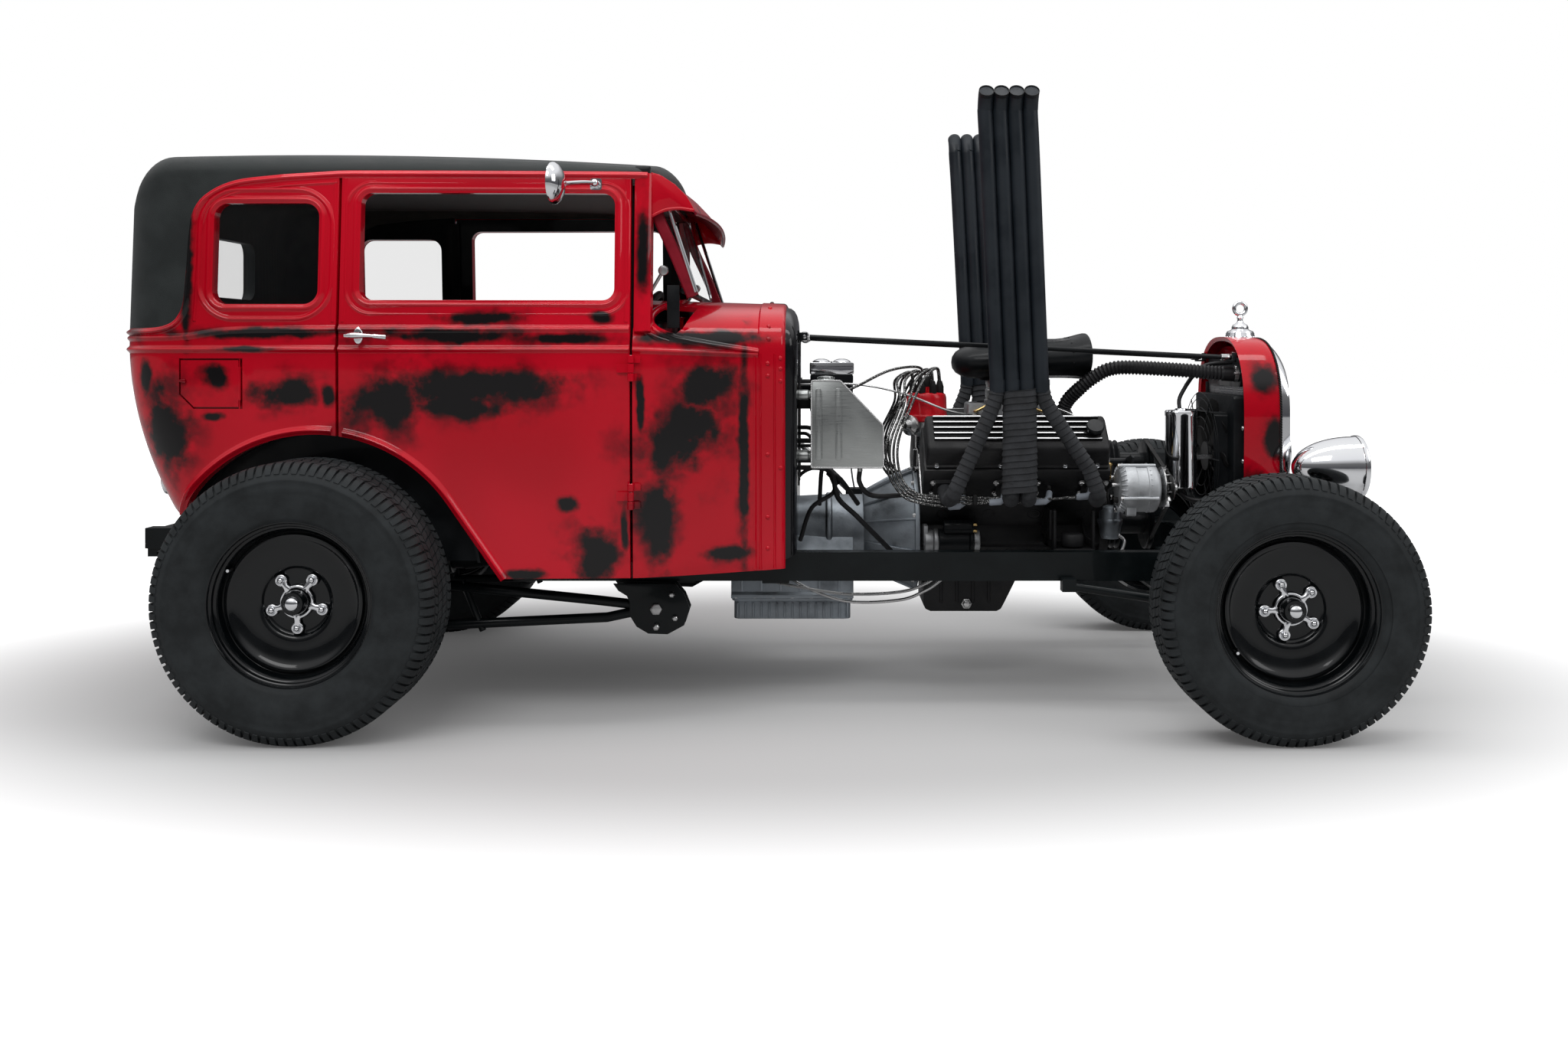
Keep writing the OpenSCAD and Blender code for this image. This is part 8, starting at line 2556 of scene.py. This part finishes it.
def pad(name, low, high, rings, lean=0.0, pivot=None, roll=()):
    """One stuffed seat part: a soft block with pleats pressed into its face and a piped edge."""
    (x0, y0, z0), (x1, y1, z1) = low, high
    nx, ny, nz = rings
    s = Shape()
    lines_x = [x0 + (x1 - x0) * i / nx for i in range(nx + 1)]
    lines_y = [y0 + (y1 - y0) * i / ny for i in range(ny + 1)]
    lines_z = [z0 + (z1 - z0) * i / nz for i in range(nz + 1)]

    def sheet(points, across, along):
        start = len(s.points)
        s.points += [tuple(p) for p in points]
        for i in range(along - 1):
            for j in range(across - 1):
                a = start + i * across + j
                s.faces.append((a, a + 1, a + across + 1, a + across))
                s.finishes.append(0)
    sheet([(x, y, z1) for x in lines_x for y in lines_y], ny + 1, nx + 1)
    sheet([(x, y, z0) for x in lines_x for y in lines_y], ny + 1, nx + 1)
    sheet([(x0, y, z) for z in lines_z for y in lines_y], ny + 1, nz + 1)
    sheet([(x1, y, z) for z in lines_z for y in lines_y], ny + 1, nz + 1)
    sheet([(x, y0, z) for z in lines_z for x in lines_x], nx + 1, nz + 1)
    sheet([(x, y1, z) for z in lines_z for x in lines_x], nx + 1, nz + 1)
    centre = Vector(((x0 + x1) / 2, (y0 + y1) / 2, (z0 + z1) / 2))
    half = Vector(((x1 - x0) / 2, (y1 - y0) / 2, (z1 - z0) / 2))
    soft = 0.045

    def shaped(p):
        q = Vector(p) - centre
        core = Vector([max(-half[i] + soft, min(half[i] - soft, q[i])) for i in range(3)])
        off = q - core
        if off.length > 1e-9:
            big = max(abs(off[i]) for i in range(3))
            off = off.normalized() * big
        r = core + off
        face = roll[0]
        sign = 1 if roll[1] > 0 else -1
        if r[face] * sign > half[face] * 0.6:
            pitch = 0.072
            wave = abs(sin(pi * r.y / pitch)) ** 0.55
            inside = min(1.0, max(0.0, (half.y - abs(r.y) - 0.03) / 0.05))
            other = 2 if face == 0 else 0
            inside *= min(1.0, max(0.0, (half[other] - abs(r[other]) - 0.03) / 0.05))
            r[face] += sign * (0.01 * wave - 0.01) * inside
        r = r + centre
        if pivot:
            r = Euler((0, lean, 0)).to_matrix() @ (r - Vector(pivot)) + Vector(pivot)
        return r
    s.moved(shaped)
    obj = piece(name, s, [hide], angle=60)
    cord = Shape()
    edge = rounded(y0 + 0.006, min(x0, x1) + 0.006, y1 - 0.006, max(x0, x1) - 0.006, 0.04,
        6) if roll[0] == 2 else rounded(y0 + 0.006, z0 + 0.006, y1 - 0.006, z1 - 0.006, 0.04, 6)
    ring = []
    for a, b in edge + edge[:1]:
        p = (b, a, z1 - 0.022) if roll[0] == 2 else ((x1 if roll[1] > 0 else x0) - 0.022 * roll[1], a, b)
        ring.append(shaped_edge(p, lean, pivot))
    cord.tube(ring, 0.0045, 8)
    piece(name + "_piping", cord, [hide])
    return obj


def shaped_edge(p, lean, pivot):
    """A point of a seat part, tipped back about its pivot."""
    q = Vector(p)
    if pivot:
        q = Euler((0, lean, 0)).to_matrix() @ (q - Vector(pivot)) + Vector(pivot)
    return q


def make_seats():
    """Front and rear bench seats on their frames."""
    front = pad("front_cushion", (-0.93, -0.51, 0.655), (-0.52, 0.51, 0.752), (34, 84, 10), roll=(2, 1))
    lean = radians(-10)
    pad("front_back", (-1.005, -0.51, 0.745), (-0.875, 0.51, 1.095), (12, 84, 30), lean, (-0.93, 0, 0.745),
        roll=(0, 1))
    pad("rear_cushion", (-1.48, -0.52, 0.655), (-1.13, 0.52, 0.8), (30, 84, 12), roll=(2, 1))
    pad("rear_back", (-1.56, -0.48, 0.79), (-1.43, 0.48, 1.09), (12, 80, 26), radians(-8), (-1.49, 0, 0.79),
        roll=(0, 1))
    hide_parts("seats")
    s = Shape()
    for m in (1, -1):
        s.box((-0.56, m * 0.315 - 0.015, 0.457), (-0.53, m * 0.315 + 0.015, 0.656))
        s.box((-0.575, m * 0.315 - 0.028, 0.457), (-0.515, m * 0.315 + 0.028, 0.463))
    s.box((-0.92, -0.48, 0.652), (-0.53, 0.48, 0.662))
    s.box((-1.47, -0.49, 0.652), (-1.14, 0.49, 0.662))
    piece("seat_frames", s, [satin_black], bevel=0.001)


make_radiator()
make_fan()
make_hose()
make_shell()
make_stays()
make_tank()
make_headlights()
make_hardware()
make_steering()
make_dash()
make_seats()


# ---------------------------------------------------------------- stage

def size_file():
    """Brings the scene up to date."""
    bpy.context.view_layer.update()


def lamp(name, place, aim, energy, size_x, size_y):
    """An oblong lamp on the stage, aimed at a place."""
    data = bpy.data.lights.new(name, "AREA")
    data.energy = energy
    data.shape = "RECTANGLE"
    data.size = size_x
    data.size_y = size_y
    obj = placed(name, data)
    obj.location = place
    obj.rotation_euler = (Vector(aim) - Vector(place)).to_track_quat("-Z", "Y").to_euler()


def make_stage():
    """White floor with a painted shade pool under the car, surroundings, lamps and camera."""
    floor_mesh = bpy.data.meshes.new("floor")
    floor_mesh.from_pydata([(-40, -40, 0), (40, -40, 0), (40, 40, 0), (-40, 40, 0)], [], [(0, 1, 2, 3)])
    ground = placed("floor", floor_mesh)
    look = Finish("floor_white", (0.46, 0.46, 0.46), 0.8, Specular_IOR_Level=0.0, Emission_Color=(1, 1, 1, 1))
    seen = look.node("ShaderNodeLightPath").outputs["Is Camera Ray"]
    spot = look.node("ShaderNodeSeparateXYZ", {"Vector": look.place})
    # the floor glows white to the camera outside an oval pool under the car, so that its edges never show;
    # inside the pool the glow fades almost out, a painted darker pool of shade under the car
    shade_pool_x, shade_pool_y = 2.5, 1.5
    along, across = look.over(spot.outputs["X"], shade_pool_x), look.over(spot.outputs["Y"], shade_pool_y)
    away = look.math("SQRT", look.plus(look.times(along, along), look.times(across, across)))
    look.link(look.times(seen, look.ramp(away, 0.7, 1.5, 0.06, 0.95)), "Emission Strength")
    floor_mesh.materials.append(look.material)
    world = bpy.data.worlds.new("studio")
    world.use_nodes = True
    tree = world.node_tree
    back = tree.nodes["Background"]
    coord = tree.nodes.new("ShaderNodeTexCoord")
    parts = tree.nodes.new("ShaderNodeSeparateXYZ")
    ramp = tree.nodes.new("ShaderNodeValToRGB")
    tree.links.new(coord.outputs["Generated"], parts.inputs[0])
    tree.links.new(parts.outputs["Z"], ramp.inputs[0])
    ramp.color_ramp.elements[0].color = (0.09, 0.09, 0.1, 1)
    ramp.color_ramp.elements[1].color = (1.25, 1.25, 1.25, 1)
    for at, level in ((0.3, 0.2), (0.55, 1.1)):
        ramp.color_ramp.elements.new(at).color = (level, level, level * 1.02, 1)
    tree.links.new(ramp.outputs[0], back.inputs[0])
    back.inputs[1].default_value = 0.8
    show = tree.nodes.new("ShaderNodeBackground")
    show.inputs[0].default_value = (1, 1, 1, 1)
    show.inputs[1].default_value = 1.0
    path = tree.nodes.new("ShaderNodeLightPath")
    either = tree.nodes.new("ShaderNodeMath")
    either.operation = "MAXIMUM"
    tree.links.new(path.outputs["Is Camera Ray"], either.inputs[0])
    tree.links.new(path.outputs["Is Transmission Ray"], either.inputs[1])
    blend = tree.nodes.new("ShaderNodeMixShader")
    tree.links.new(either.outputs[0], blend.inputs[0])
    tree.links.new(back.outputs[0], blend.inputs[1])
    tree.links.new(show.outputs[0], blend.inputs[2])
    tree.links.new(blend.outputs[0], tree.nodes["World Output"].inputs[0])
    scene.world = world
    lamp("key_soft", (-1.5, -4.5, 5.5), (0, 0, 0.8), 110, 4.0, 2.2)
    lamp("front_soft", (5.0, -2.0, 3.4), (0.6, 0, 0.8), 45, 2.5, 2.5)
    lamp("top_strip", (0, -0.5, 5.0), (0, 0, 0), 80, 6.0, 1.0)
    camera_data = bpy.data.cameras.new("camera")
    camera = placed("camera", camera_data)
    camera.location = (0.162, -4.375, 1.028)
    camera.rotation_euler = (pi / 2, 0, 0)
    camera_data.lens = 31.25
    camera_data.sensor_width = 36
    camera_data.shift_x = -0.019
    camera_data.shift_y = -0.108
    scene.camera = camera
    scene.view_settings.view_transform = "Standard"


make_stage()
size_file()
